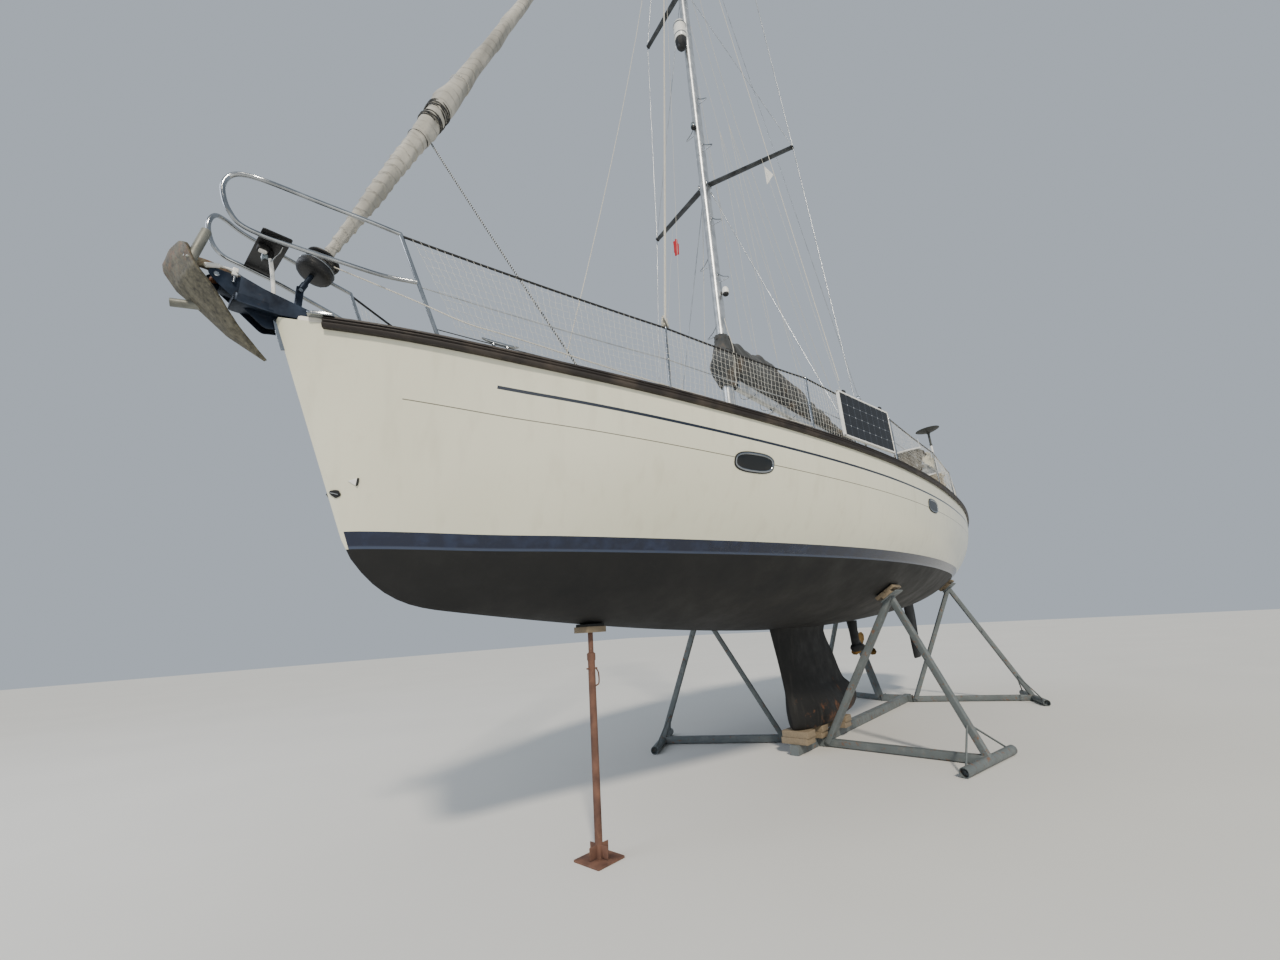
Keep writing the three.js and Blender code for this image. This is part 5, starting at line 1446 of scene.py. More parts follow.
MAST_FOOT_Z = round(roof_top_z(MAST_X), 3) + 0.014


def spreader_tip(row, sign):
    """The outer end of a spreader: swept aft, raised, and out by its span."""
    z, span, sweep, rise = row
    return np.array([MAST_X - sweep, sign * span, z + rise])


def oval(half_x, half_y, count=36, power=0.85):
    """A rounded-off oval: a circle's sine and cosine through one signed power."""
    a = np.linspace(0, 2 * np.pi, count, endpoint=False)
    f = lambda s: np.sign(s) * np.abs(s) ** power
    return np.stack([half_x * f(np.cos(a)), half_y * f(np.sin(a))], -1)


def shackle(surface, at, size=0.02, up=UP, finish_id=0):
    """A small bow shackle: a half ring closed by its pin."""
    z = unit(up)
    x = unit(np.cross(z, [0.3, 1, 0.1]))
    a = np.linspace(0, np.pi, 9)[:, None]
    surface.tube(at + size * (np.cos(a) * x + np.sin(a) * z * 1.3), size * 0.2, 8, finish=finish_id)
    surface.tube(np.array([at - x * size * 1.25, at + x * size * 1.25]), size * 0.22, 8, finish=finish_id)


class YACHT_OT_mast(bpy.types.Operator):
    """Mast with its spreaders, steps, lamps and radar reflector"""
    bl_idname = "yacht.mast"
    bl_label = "Mast"

    def execute(self, context):
        s = Surface()
        ring = oval(*MAST_HALF)
        # The sail track is a slot down the after face
        back = ring[:, 0] < -0.9 * MAST_HALF[0]
        ring[back & (np.abs(ring[:, 1]) < 0.012), 0] += 0.016
        z = np.concatenate([[MAST_FOOT_Z], np.linspace(MAST_FOOT_Z + 0.01, MASTHEAD_Z - 0.06, 30),
            [MASTHEAD_Z]])
        body = np.stack([MAST_X + ring[:, 0] + 0 * z[:, None], ring[:, 1] + 0 * z[:, None], z[:, None] + 0
            * ring[:, 0]], -1)
        s.grid(body)
        s.slab((MAST_X, 0, MAST_FOOT_Z + 0.004), (0.3, 0.22, 0.016), 0.03, 0.004, finish=1)
        for k in range(4):
            s.turned([(0.01, 0), (0.01, 0.008), (0, 0.009)], (MAST_X + 0.125 * (1 if k % 2 else -1),
                0.085 * (1 if k > 1 else -1), MAST_FOOT_Z + 0.012), UP, 6, finish=1)
        s.slab((MAST_X - 0.01, 0, MASTHEAD_Z - 0.039), (0.4, 0.09, 0.102), 0.02, 0.006)
        for x in (MAST_X - 0.19, MAST_X + 0.17):
            s.turned([(0.0, -0.05), (0.028, -0.05), (0.028, 0.05), (0.0, 0.05)], (x, 0, MASTHEAD_Z - 0.05),
                PORT, 20, finish=1)
        s.tube(np.array([STAY_HEAD - STAY * 0.25, STAY_HEAD]), 0.01, 12, finish=1)
        for z in (BOOM_Z + 0.081, BOOM_Z - 0.081, MAST_FOOT_Z + 0.149):
            s.slab((GOOSENECK_X + 0.043, 0, z), (0.134, 0.052, 0.01), 0.012, 0.002, finish=1)
        s.slab((MAST_X - 0.094, 0, BOOM_Z), (0.012, 0.07, 0.24), 0.006, 0.002, finish=1)
        self.spreaders(s)
        finish_piece("mast.spar", s, YACHT, "spar stainless black dull_spar", "spar_alloy", "mast",
            merge=True)
        self.fittings()
        return {"FINISHED"}

    def spreaders(self, s):
        """Each arm is a flat foil section drawn from root to tip, with a rubber cap over the wire."""
        a = np.linspace(0, 2 * np.pi, 20, endpoint=False)
        foil = np.stack([np.cos(a) * 0.5, np.sin(a) * (0.5 + 0.14 * np.cos(a))], -1)
        for row in SPREADERS:
            for _, sign in SIDES:
                root, tip = np.array([MAST_X, sign * 0.03, row[0]]), spreader_tip(row, sign)
                t = np.linspace(0, 1, 8)[:, None, None]
                chord, thick = 0.11 - 0.022 * t, 0.034 - 0.01 * t
                p = root + (tip - root) * t + np.stack([foil[:, 0] * chord[..., 0], 0 * foil[:, 0]
                    * chord[..., 0], foil[:, 1] * thick[..., 0]], -1)
                # The arms take the dark spar finish, which is painted shade
                s.grid(p, flip=sign < 0, finish=3)
                s.ball(tip, (0.05, 0.022, 0.022), 10, 16, finish=2)
                s.turned([(0.0, 0.017), (0.009, 0.016), (0.01, 0.02), (0, 0.0215)], tip, (0, sign, 0), 12,
                    finish=1)
                s.slab(root + [0.0, sign * 0.045, 0], (0.15, 0.022, 0.075), 0.02, 0.004, finish=1)

    def fittings(self):
        """Folding mast steps, the deck, steaming and masthead lamps, and the radar reflector."""
        s = Surface()
        # Folding steps: a bent rod that leaves the mast's side and comes back to it lower down
        for z, sign in ((7.8, 1), (6.75, 1), (7.12, -1), (5.9, -1), (9.3, 1), (9.75, -1), (10.3, 1)):
            y = MAST_HALF[1]
            rod = ((-0.004, 0.05), (0.07, -0.03), (0.155, -0.085), (0.165, -0.1), (0.145, -0.108),
                (-0.004, -0.1))
            pts = [(MAST_X + 0.02, sign * (y + out), z + rise) for out, rise in rod]
            s.tube(smooth_path(pts, 5), 0.008, 10, axis=FORWARD)
            s.slab((MAST_X + 0.02, sign * (y + 0.001), z + 0.04), (0.03, 0.006, 0.05), 0.008, 0.001)
        finish_piece("mast.steps", s, YACHT, "stainless", "stainless")
        s = Surface()
        # Deck lamp on the port side: a pale hood over a dark rim
        at = np.array([MAST_X - 0.02, MAST_HALF[1] + 0.065, 6.44])
        s.slab(at + [0, -0.04, 0.03], (0.05, 0.05, 0.03), 0.008, 0.003, finish=1)
        s.turned([(0, 0.1), (0.035, 0.095), (0.047, 0.07), (0.052, 0.02), (0.052, 0.0), (0.046, -0.006),
            (0.0, -0.006)], at, UP, 24)
        s.turned([(0.044, -0.004), (0.046, -0.022), (0.038, -0.035), (0.0, -0.04)], at, UP, 24, finish=1)
        # Steaming lamp on the fore side
        at = np.array([MAST_X + MAST_HALF[0] + 0.03, 0, 9.68])
        s.slab(at + [-0.02, 0, 0], (0.05, 0.06, 0.04), 0.01, 0.003, finish=1)
        s.turned([(0, -0.055), (0.034, -0.052), (0.04, -0.03), (0.04, 0.03), (0.034, 0.05), (0, 0.055)],
            at + [0.02, 0, 0], UP, 20, finish=1)
        s.turned([(0.0405, -0.02), (0.0415, -0.015), (0.0415, 0.02), (0.0405, 0.025)], at + [0.021, 0, 0], UP,
            20, finish=2)
        # Radar reflector: a canister in front of the mast, its lower end a dark faceted cone
        at = np.array([MAST_X + MAST_HALF[0] + 0.13, 0.0, 11.5])
        s.turned([(0, 0.48), (0.07, 0.475), (0.1, 0.455), (0.11, 0.42), (0.108, 0.3), (0.114, 0.285),
            (0.114, 0.1), (0.106, 0.07), (0, 0.07)], at, UP, 28)
        s.turned([(0.104, 0.075), (0.106, 0.02), (0.095, -0.05), (0.07, -0.11), (0.03, -0.135), (0, -0.135)],
            at, UP, 8, finish=1)
        for z in (0.15, 0.4):
            s.slab(at + [-0.105, 0, z], (0.1, 0.04, 0.012), 0.01, 0.002, finish=3)
            s.turned([(0.1145, z - 0.012), (0.117, z - 0.01), (0.117, z + 0.01), (0.1145, z + 0.012)], at, UP,
                28, finish=3)
        # Masthead lamp
        top = np.array([MAST_X, 0, MASTHEAD_Z + 0.012])
        s.turned([(0.03, 0), (0.03, 0.05), (0.024, 0.065), (0, 0.07)], top + [-0.03, 0, 0], UP, 16, finish=2)
        finish_piece("mast.lamps", s, YACHT, "white black lens stainless", "black_plastic")


class YACHT_OT_rigging(bpy.types.Operator):
    """Shrouds and backstay with their screws, and the running lines beside the mast"""
    bl_idname = "yacht.rigging"
    bl_label = "Rigging"

    def execute(self, context):
        r = rig_sizes().wire_radius
        for side, sign in SIDES:
            deck_at = lambda x, y: np.array([x, sign * y, float(deck_z(x, y)) + 0.005])
            out = np.array([0, sign * (r + 0.005), 0])
            cap = [deck_at(*CHAINPLATE), spreader_tip(SPREADERS[0], sign) + out,
                spreader_tip(SPREADERS[1], sign) + out,
                np.array([MAST_X - 0.02, sign * (MAST_HALF[1] + 0.012), MASTHEAD_Z - 0.04])]
            s = Surface()
            self.wire(s, cap, r, True)
            # The upper diagonal leaves the lower spreader's end for the root of the upper one
            self.wire(s,
                [cap[1] + out * 0.2, np.array([MAST_X - 0.03, sign * (MAST_HALF[1] + 0.006), SPREADERS[1][0]
                - 0.12])], r * 0.75, False)
            finish_piece(f"cap.shroud.{side}", s, YACHT, "wire stainless", "stainless", f"cap_shroud_{side}",
                merge=True)
            lower = [deck_at(CHAINPLATE[0] - 0.14, CHAINPLATE[1] - 0.06),
                np.array([MAST_X - 0.04, sign * (MAST_HALF[1] + 0.008), SPREADERS[0][0] - 0.13])]
            s = Surface()
            self.wire(s, lower, r, True)
            finish_piece(f"lower.shroud.{side}", s, YACHT, "wire stainless", "stainless",
                f"lower_shroud_{side}", merge=True)
        s = Surface()
        split = np.array([-4.88, 0, 6.6])
        self.wire(s, [split, np.array([MAST_X - 0.216, 0, MASTHEAD_Z - 0.04])], r, False)
        s.slab(split + [0, 0, -0.01], (0.012, 0.08, 0.06), 0.02, 0.003, finish=1)
        for _, sign in SIDES:
            foot = np.array([-6.39, sign * 1.0, float(deck_z(-6.39, 1.0)) + 0.003])
            self.wire(s, [foot, split + [0, sign * 0.02, -0.02]], r, True)
        finish_piece("backstay.wires", s, YACHT, "wire stainless", "stainless", "backstay", merge=True)
        self.running()
        return {"FINISHED"}

    def wire(self, s, points, radius, screw):
        """A wire through its points with swaged ends; at its foot a bottle screw between a toggle and a
        threaded stud."""
        points = [np.asarray(p, float) for p in points]
        d = unit(points[1] - points[0])
        if screw:
            foot = points[0]
            s.slab(foot + [0, 0, 0.018], (0.07, 0.006, 0.05), 0.014, 0.002, finish=1)
            s.turned([(0, -0.016), (0.008, -0.016), (0.008, 0.016), (0, 0.016)], foot + [0, 0, 0.03], PORT,
                12, finish=1)
            s.turned([(0.0, 0.02), (0.016, 0.025), (0.017, 0.055), (0.008, 0.065), (0.0075, 0.11),
                (0.015, 0.115), (0.015, 0.135), (0.011, 0.14), (0.011, 0.25), (0.015, 0.255), (0.015, 0.275),
                (0.0075, 0.28), (0.0075, 0.33), (0.011, 0.335), (0.01, 0.4), (radius * 1.1, 0.42)], foot, d,
                16, finish=1)
            points = [foot + d * 0.4] + points[1:]
        for a, b in zip(points, points[1:]):
            s.tube(np.array([a, b]), radius, 10)
        for p in points[1:-1]:
            s.ball(p, (radius * 1.6, radius * 1.6, radius * 2.5), 8, 10)
        end, back = points[-1], unit(points[-2] - points[-1])
        s.turned([(0, 0), (radius * 1.8, 0.004), (radius * 1.8, 0.09), (radius, 0.11)], end, back, 12,
            finish=1)

    def running(self):
        """Halyards, flag lines and lazy jacks: pale lines between two points each, hanging in a slight
        curve."""
        head = np.array([MAST_X, 0, MASTHEAD_Z - 0.1])
        knot = stanchion_foot(STANCHION_XS[0], 1) + [0, 0, STANCHION_HEIGHT + 0.01]
        # from, to, radius, sag
        lines = [(head + [0.1, 0.06, 0], knot + [0.008, 0, 0], 0.0055, 0.02),
            (head + [0.1, 0.04, 0], knot - [0.008, 0, 0], 0.005, 0.05),
            (head + [0.12, 0.02, 0], (4.78, 0.8, 3.66), 0.0035, 0.55),
            (head + [-0.05, 0.06, 0], (1.86, 1.8, 4.06), 0.0045, 0.03),
            (head + [0.1, -0.05, 0], (0.9, -1.0, 3.95), 0.003, 0.1), ((0.93, 0.96, 8.46), (1.0, 1.62, 3.55),
            0.002, 0.02), ((0.8, -0.88, 8.46), (0.9, -1.62, 3.55), 0.002, 0.02),
            ((1.04, -0.09, 8.24), (0.9, -0.6, 4.08), 0.0045, 0.02), ((1.0, 0.075, 10.69), (0.6, 0.075, 5.84),
            0.003, 0.05), ((1.0, 0.07, 9.6), (0.35, 0.12, 5.75), 0.0025, 0.04)]
        s = Surface()
        t = np.linspace(0, 1, 16)[:, None]
        for start, end, radius, slack in lines:
            a, b = np.array(start, float), np.array(end, float)
            sag = 4 * t * (1 - t) * slack * np.array([[0.0, 0.2, -1.0]])
            s.tube(a + (b - a) * t + sag, radius, 7, axis=(0.2, 1, 0))
        # The halyards' tails, made up in a small hank on the stanchion's head
        for k in range(5):
            a = np.linspace(0, 2 * np.pi, 17)
            ring = knot + np.stack([0.03 * np.cos(a), 0.014 * np.sin(a) + 0.004 * k - 0.008,
                0.045 * np.sin(a + 0.5 * k) + 0.03], -1)
            s.tube(ring, 0.006, 7, axis=(0.3, 1, 0.2))
        finish_piece("running.lines", s, YACHT, "pale_rope", "sailcloth", merge=True)
        # Topping lift and lazy jacks hang from the mast down to the boom
        s = Surface()
        lift = [(0.85, 0, 17.8), (0.388, 0, 13.65), (-0.77, 0, 10.42), (-2.543, 0, 7.162), (-3.92, 0, 5.13)]
        s.tube(smooth_path(lift, 14), 0.004, 7, axis=PORT)
        lift = finish_piece("topping.lift", s, None, "pale_rope", "sailcloth", merge=True)
        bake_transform(lift)
        s = Surface()
        for _, sign in SIDES:
            fork = np.array([0.1, sign * 0.1, 10.6])
            for a, b in (((0.93, sign * 0.08, 13.2), fork), (fork, (-1.2, sign * 0.155, 5.7)),
                    (fork, (-0.35, sign * 0.17, 5.78)), (fork, (-2.5, sign * 0.14, 5.5))):
                s.tube(np.linspace(a, b, 12), 0.003, 7, axis=(0.2, 1, 0))
        jacks = finish_piece("lazy.jacks", s, None, "pale_rope", "sailcloth", merge=True)
        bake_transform(jacks)


# Headsail, drum, boom and sail cover

# distance along the stay, radius
ROLL = [(14.6, 0.026), (13.7, 0.026), (13.3, 0.03), (11.5, 0.038), (9.0, 0.046), (7.0, 0.052), (5.12, 0.058),
    (4.2, 0.066), (3.5, 0.072), (3.0, 0.079), (2.64, 0.096), (2.24, 0.09), (1.94, 0.076), (1.5, 0.064),
    (1.16, 0.059), (0.87, 0.047), (0.5, 0.033), (0.33, 0.03)]
ACROSS = unit(np.cross(STAY, [0, 1, 0]))
LEFT = np.cross(ACROSS, STAY)
DRUM_BODY = "furled_headsail_and_drum"


def roll_point(distance, angle, lift=0.0):
    """A point on the rolled sail's skin: along the stay, then outwards at an angle round it."""
    distance, angle = np.broadcast_arrays(np.asarray(distance, float), np.asarray(angle, float))
    radius = curve_value(ROLL, distance) + lift
    middle = STAY_FOOT + STAY * distance[..., None]
    return middle + (ACROSS * np.cos(angle)[..., None] + LEFT * np.sin(angle)[..., None]) * radius[..., None]


class YACHT_OT_headsail(bpy.types.Operator):
    """Rolled headsail in its overlapping turns, its lashings, and the furling drum"""
    bl_idname = "yacht.headsail"
    bl_label = "Headsail and drum"

    def execute(self, context):
        self.roll()
        self.lashings()
        self.sheets()
        self.drum()
        return {"FINISHED"}

    def roll(self):
        """The radius at (distance, angle) is the table's, plus a step that climbs round once in each turn of
        the cloth, plus soft creases: sums of sines seeded by fixed phases."""
        end = STAY_LENGTH - 0.26
        d = np.concatenate([[0.3305, 0.331], np.linspace(0.34, 3.2, 420), np.linspace(3.22, end - 0.01, 300),
            [end]])
        a = np.linspace(0, 2 * np.pi, 56, endpoint=False)
        dd, aa = np.meshgrid(d, a, indexing="ij")
        base = curve_value(ROLL, dd)
        low = np.clip((2.35 - dd) / 0.5, 0, 1)
        pitch = 0.115
        turn = (aa / (2 * np.pi) - dd / pitch) % 1.0
        step = turn ** 3 * 0.0085 * low
        long_turn = (aa / (2 * np.pi) - dd / 0.9 + 0.3) % 1.0
        step = step + long_turn ** 4 * 0.006 * (0.4 + 0.6 * (1 - low)) * np.clip((9 - dd) / 4, 0.25, 1)
        crease = (0.004 * np.sin(3 * aa + 2.1 * dd) * np.sin(1.7 * dd + 0.6) + 0.0022
            * np.sin(5 * aa - 6.3 * dd + 1.0) + 0.0016 * np.sin(2 * aa + 13.0 * dd)) * np.clip(base / 0.06,
            0.4, 1.3)
        # The lashings nip the roll, and the cloth bulges between them
        nip = -0.01 * (np.exp(-((dd - 2.36) / 0.03) ** 2) + 0.8 * np.exp(-((dd - 2.2) / 0.03) ** 2))
        bulge = 0.014 * np.exp(-((dd - 2.58) / 0.13) ** 2) * (0.4 + 0.6 * np.cos(aa - 2.6))
        p = roll_point(dd, aa, step + crease + nip + bulge)
        p[:2] = roll_point(dd[:2], aa[:2], np.array([[-0.018], [0.0]]) + 0 * aa[:2])
        p[-1] = roll_point(dd[-1], aa[-1], -0.012)
        s = Surface().grid(p)
        piece = finish_piece("furled.headsail", s, DRUM_BODY, "rolled", "sailcloth", "furled_headsail",
            angle=50, merge=True)

    def lashings(self):
        """Turns of dark rope round the roll, crossed over each other, with a short hanging loop, and one
        pale tie above."""
        s = Surface()
        # first and last distance, turns, start angle
        runs = [(2.34, 2.42, 2.6, 0.4), (2.17, 2.24, 2.2, 1.4), (2.2, 2.37, 1.3, 2.2), (2.38, 2.19, 1.2, 0.9),
            (1.93, 1.94, 1.1, 0.2)]
        for first, last, turns, start in runs:
            t = np.linspace(0, 1, int(turns * 26))
            a = start + t * turns * 2 * np.pi
            radius = 0.0055 if first > 2 else 0.0025
            p = roll_point(first + (last - first) * t, a, 0.004 + 0.003 * np.abs(np.sin(t * 9.0)))
            s.tube(p, radius, 8, axis=STAY)
        hang = roll_point(2.19, 4.45, 0.004)
        loop = [hang, hang + [-0.01, 0.0, -0.05], hang + [0.004, 0.012, -0.105], hang + [0.035, 0.018, -0.11],
            hang + [0.045, 0.012, -0.07]]
        s.tube(smooth_path(loop, 8), 0.0055, 8, axis=(0.1, 1, 0))
        tie = np.linspace(0, 2 * np.pi * 1.1, 30)
        s.tube(roll_point(2.92 + 0 * tie, tie, 0.008), 0.003, 7, axis=STAY, finish=1)
        finish_piece("headsail.lashings", s, DRUM_BODY, "dark_rope pale_rope", "sailcloth", merge=True)

    def sheets(self):
        """The sheet runs taut from the clew to the deck, the furling line from the drum to its lead on the
        toe rail."""
        clew = roll_point(2.19, 4.45, 0.006)
        path = np.array([clew, (5.4, 0.12, 5.42), (5.02, 0.5, 4.44), (4.697, 0.83, 3.61)])
        s = Surface().tube(smooth_path(path, 12), 0.008, 8, axis=FORWARD)
        piece = finish_piece("headsail.sheet", s, None, "flecked_rope", "sailcloth", merge=True)
        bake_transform(piece)
        path = np.array([(6.18, 0.06, 4.13), (6.154, 0.08, 4.12), (5.778, 0.45, 3.856), (5.515, 0.66, 3.7),
            (5.2, 0.78, 3.66), (3.96, 1.14, 3.56), (2.26, 1.6, 3.5)])
        s = Surface().tube(smooth_path(path, 8), 0.0045, 8, axis=UP)
        finish_piece("furling.line", s, YACHT, "pale_rope", "sailcloth", merge=True)

    def drum(self):
        """The furling drum: bowls turned about the forestay, the line wound between them, and their ribs."""
        s = Surface()
        add = lambda profile, sides=40, mark=0: s.turned(profile, STAY_FOOT, STAY, sides, finish=mark)
        add([(0.0, 0.15), (0.05, 0.15), (0.078, 0.153), (0.1, 0.162), (0.11, 0.176), (0.112, 0.19),
            (0.112, 0.216), (0.109, 0.222), (0.098, 0.226), (0.076, 0.23), (0.072, 0.236), (0.072, 0.292),
            (0.078, 0.296), (0.097, 0.299), (0.105, 0.304), (0.105, 0.314), (0.098, 0.32), (0.07, 0.326),
            (0.052, 0.33), (0.0, 0.33)])
        add([(0.1125, 0.214), (0.1145, 0.216), (0.1145, 0.221), (0.11, 0.2235)], mark=2)
        # Furling line wound on the core, each turn a little fatter where it crosses the last
        coil = np.linspace(0, 1, 220)
        a = coil * 2 * np.pi * 7
        middle = STAY_FOOT + STAY * (0.238 + 0.052 * (0.5 - 0.5 * np.cos(coil * 2 * np.pi * 1.5)))[:, None]
        reach = 0.08 + 0.012 * coil[:, None] + 0.004 * np.sin(a * 0.31)[:, None]
        p = middle + (ACROSS * np.cos(a)[:, None] + LEFT * np.sin(a)[:, None]) * reach
        s.tube(p, 0.0065, 8, axis=STAY, finish=1)
        # Ribs on the drum's bowl, and the collar above it
        for k in range(14):
            a = 2 * np.pi * (k + 0.3) / 14
            out = ACROSS * math.cos(a) + LEFT * math.sin(a)
            s.bar(STAY_FOOT + STAY * 0.166 + out * 0.102, STAY_FOOT + STAY * 0.214 + out * 0.111, 0.01, 0.006,
                0.002, up=out)
        s.turned([(0.034, 0.33), (0.036, 0.336), (0.036, 0.352), (0.03, 0.36)], STAY_FOOT, STAY, 24, finish=2)
        finish_piece("furler.drum", s, DRUM_BODY, "black dark_rope stainless", "black_plastic", "furler_drum",
            merge=True)


COVER = [
    # distance aft of the gooseneck, half-width, bottom and top above the boom's axis
    (4.8, 0.07, 0.097, 0.18), (4.1, 0.11, 0.097, 0.29), (3.0, 0.14, 0.097, 0.47), (1.9, 0.17, 0.097, 0.68),
    (0.9, 0.175, 0.098, 0.8), (0.4, 0.16, 0.1, 0.71), (0.25, 0.15, 0.1, 0.74), (0.07, 0.12, 0.11, 0.68),
]
# Distances aft of the gooseneck at which the cover is tied under the boom
COVER_TIES = (0.45, 1.1, 1.75, 2.45, 3.15, 3.8, 4.4)


class YACHT_OT_boom(bpy.types.Operator):
    """Boom, its strut, and the mainsail under its cover"""
    bl_idname = "yacht.boom"
    bl_label = "Boom and sail cover"

    def execute(self, context):
        s = Surface()
        ring = oval(0.058, 0.092, 32)
        x = GOOSENECK_X - 0.06 - np.array([0, 0.0001, 0.02, BOOM_LENGTH - 0.02, BOOM_LENGTH - 0.0001,
            BOOM_LENGTH])
        k = np.array([0.8, 0.9, 1, 1, 0.95, 0.85])[:, None]
        s.grid(np.stack([x[:, None] + 0 * ring[:, 0], -ring[:, 0] * k, BOOM_Z + ring[:, 1] * k], -1))
        for x0 in (GOOSENECK_X - 0.075, GOOSENECK_X - BOOM_LENGTH - 0.03):
            s.grid(np.stack([np.array([x0 - 0.03, x0 - 0.03, x0 + 0.03, x0 + 0.03])[:, None] + 0 * ring[:, 0],
                -ring[:, 0] * np.array([0.96, 1.03, 1.03, 0.96])[:, None], BOOM_Z + ring[:, 1]
                * np.array([0.96, 1.02, 1.02, 0.96])[:, None]], -1), finish=1)
        s.turned([(0, -0.07), (0.018, -0.07), (0.02, -0.064), (0.02, 0.064), (0.018, 0.07), (0, 0.07)],
            (GOOSENECK_X, 0, BOOM_Z), UP, 20, finish=1)
        s.slab((GOOSENECK_X - 0.035, 0, BOOM_Z), (0.07, 0.036, 0.06), 0.01, 0.003, finish=1)
        # Plates with shackles under the boom, for the sheet and the reefing lines
        for aft in (2.35, 2.75, 3.4, 4.1):
            at = np.array([GOOSENECK_X - aft, 0, BOOM_Z - 0.094])
            s.slab(at, (0.07, 0.03, 0.008), 0.012, 0.002, finish=1)
            shackle(s, at + [0, 0, -0.012], 0.014, (0, 0, -1), 1)
        finish_piece("boom.spar", s, "boom_rig", "spar stainless", "spar_alloy", "boom", merge=True)
        foot = np.array([GOOSENECK_X, 0, MAST_FOOT_Z + 0.19])
        head = np.array([GOOSENECK_X - 1.15, 0, BOOM_Z - 0.122])
        d = head - foot
        length = float(np.linalg.norm(d))
        s = Surface()
        s.turned([(0, -0.03), (0.018, -0.03), (0.018, 0.06), (0, 0.06)], foot, UP, 16, finish=1)
        s.turned([(0.02, 0.0), (0.026, 0.01), (0.026, 0.61 * length), (0.029, 0.612 * length),
            (0.029, 0.64 * length), (0.018, 0.645 * length), (0.017, length - 0.02), (0.012, length)], foot,
            d, 20)
        s.slab(head + [0, 0, 0.006], (0.09, 0.028, 0.052), 0.012, 0.003, finish=1)
        finish_piece("vang.strut", s, "boom_rig", "spar stainless", "spar_alloy", "vang", merge=True)
        self.cover()
        self.collar()
        return {"FINISHED"}

    def cover(self):
        """A skin round the stowed sail: its section is a drawn-up arch, pulled in at the ties under the
        boom's top, and its folds are sines that run down and aft from the top edge."""
        aft = np.linspace(0.07, 4.8, 200)
        half, low, high = (curve_value(COVER, aft, k) for k in (1, 2, 3))
        a = np.linspace(0, 2 * np.pi, 72, endpoint=False)
        side = np.sin(a)
        up = (1 - np.cos(a)) / 2
        width = np.where(up < 0.5, 0.62 + 0.38 * np.sin(np.pi * np.minimum(up, 0.5)),
            1.0) * (1 - np.clip(up - 0.3, 0, 1) ** 1.6 * 0.75)
        A, S, U, W = np.meshgrid(aft, a, indexing="ij")[0], side[None], up[None], width[None]
        fold = (0.02 * np.sin(9.0 * A + 5.0 * U + 0.6 * np.sign(S)) * U + 0.012
            * np.sin(17.0 * A - 9.0 * U + 1.1) + 0.008 * np.sin(31.0 * A + 14.0 * U * np.sign(S)) + 0.01
            * np.sin(4.1 * A + 2.0)) * (1 - U ** 6)
        tie = np.zeros_like(A)
        for at in COVER_TIES:
            tie = tie + np.exp(-((A - at) / 0.05) ** 2)
        y = S * half[:, None] * W * 1.02 + np.sign(S) * fold * np.minimum(np.abs(S) * 2,
            1) * np.minimum(half[:, None] / 0.15, 1)
        y = y * (1 - 0.22 * tie * (1 - U))
        lump = 0.03 * np.sin(6.2 * A + 0.4) + 0.018 * np.sin(13.7 * A + 1.9) + 0.01 * np.sin(29 * A)
        z = BOOM_Z + low[:, None] + (high - low)[:, None] * U + lump * U ** 2 * np.clip((high - low)[:, None]
            / 0.4, 0.2, 1) - 0.012 * tie * U
        p = np.stack([GOOSENECK_X - A, y, z], -1)
        centre = p.mean(1, keepdims=True)
        p[0] = centre[0] + (p[0] - centre[0]) * 0.96
        front = centre[:1] + (p[:1] - centre[:1]) * 0.5 + [0.006, 0, 0]
        back = centre[-1:] + (p[-1:] - centre[-1:]) * 0.4 - [0.02, 0, 0]
        p = np.concatenate([front, p, back])
        s = Surface().grid(p, flip=True)
        piece = finish_piece("sail.cover", s, "boom_rig", "canvas", "cover_canvas", "sail_cover", angle=60,
            merge=True)
        s = Surface()
        for at in COVER_TIES:
            w = float(curve_value(COVER, at, 1)) * 0.72
            x = GOOSENECK_X - at
            t = np.linspace(-0.9, 0.9, 26)
            loop = np.stack([x + 0 * t, w * np.sin(t * np.pi / 1.2) / np.sin(0.75 * np.pi) * 0.95,
                BOOM_Z + 0.12 - 0.222 * np.cos(t * np.pi / 1.9)], -1)
            s.tube(loop, 0.0035, 7, axis=FORWARD)
        finish_piece("sail.cover.ties", s, "boom_rig", "dark_rope", "cover_canvas", merge=True)

    def collar(self):
        """The cover's front, laced round the mast: a sleeve whose radius bulges forward below its neck."""
        low, high = 4.92, 5.73
        z = np.linspace(low, high, 60)
        a = np.linspace(0, 2 * np.pi, 72, endpoint=False)
        Z, A = np.meshgrid(z, a, indexing="ij")
        t = (Z - low) / (high - low)
        ring = oval(MAST_HALF[0] + 0.012, MAST_HALF[1] + 0.012, 72)
        swell = (0.022 + 0.1 * np.exp(-((t - 0.38) / 0.26) ** 2) * np.clip(np.cos(A), 0, 1) ** 0.7 + 0.035
            * np.sin(np.pi * np.clip(t, 0, 1)))
        folds = (0.01 * np.sin(7 * A + 5 * t) * np.sin(np.pi * t) + 0.006 * np.sin(12 * A - 9 * t + 1) + 0.005
            * np.sin(21 * t + 2 * A))
        out = np.stack([np.cos(A), np.sin(A)], -1)
        xy = ring[None] + out * (swell + folds)[..., None]
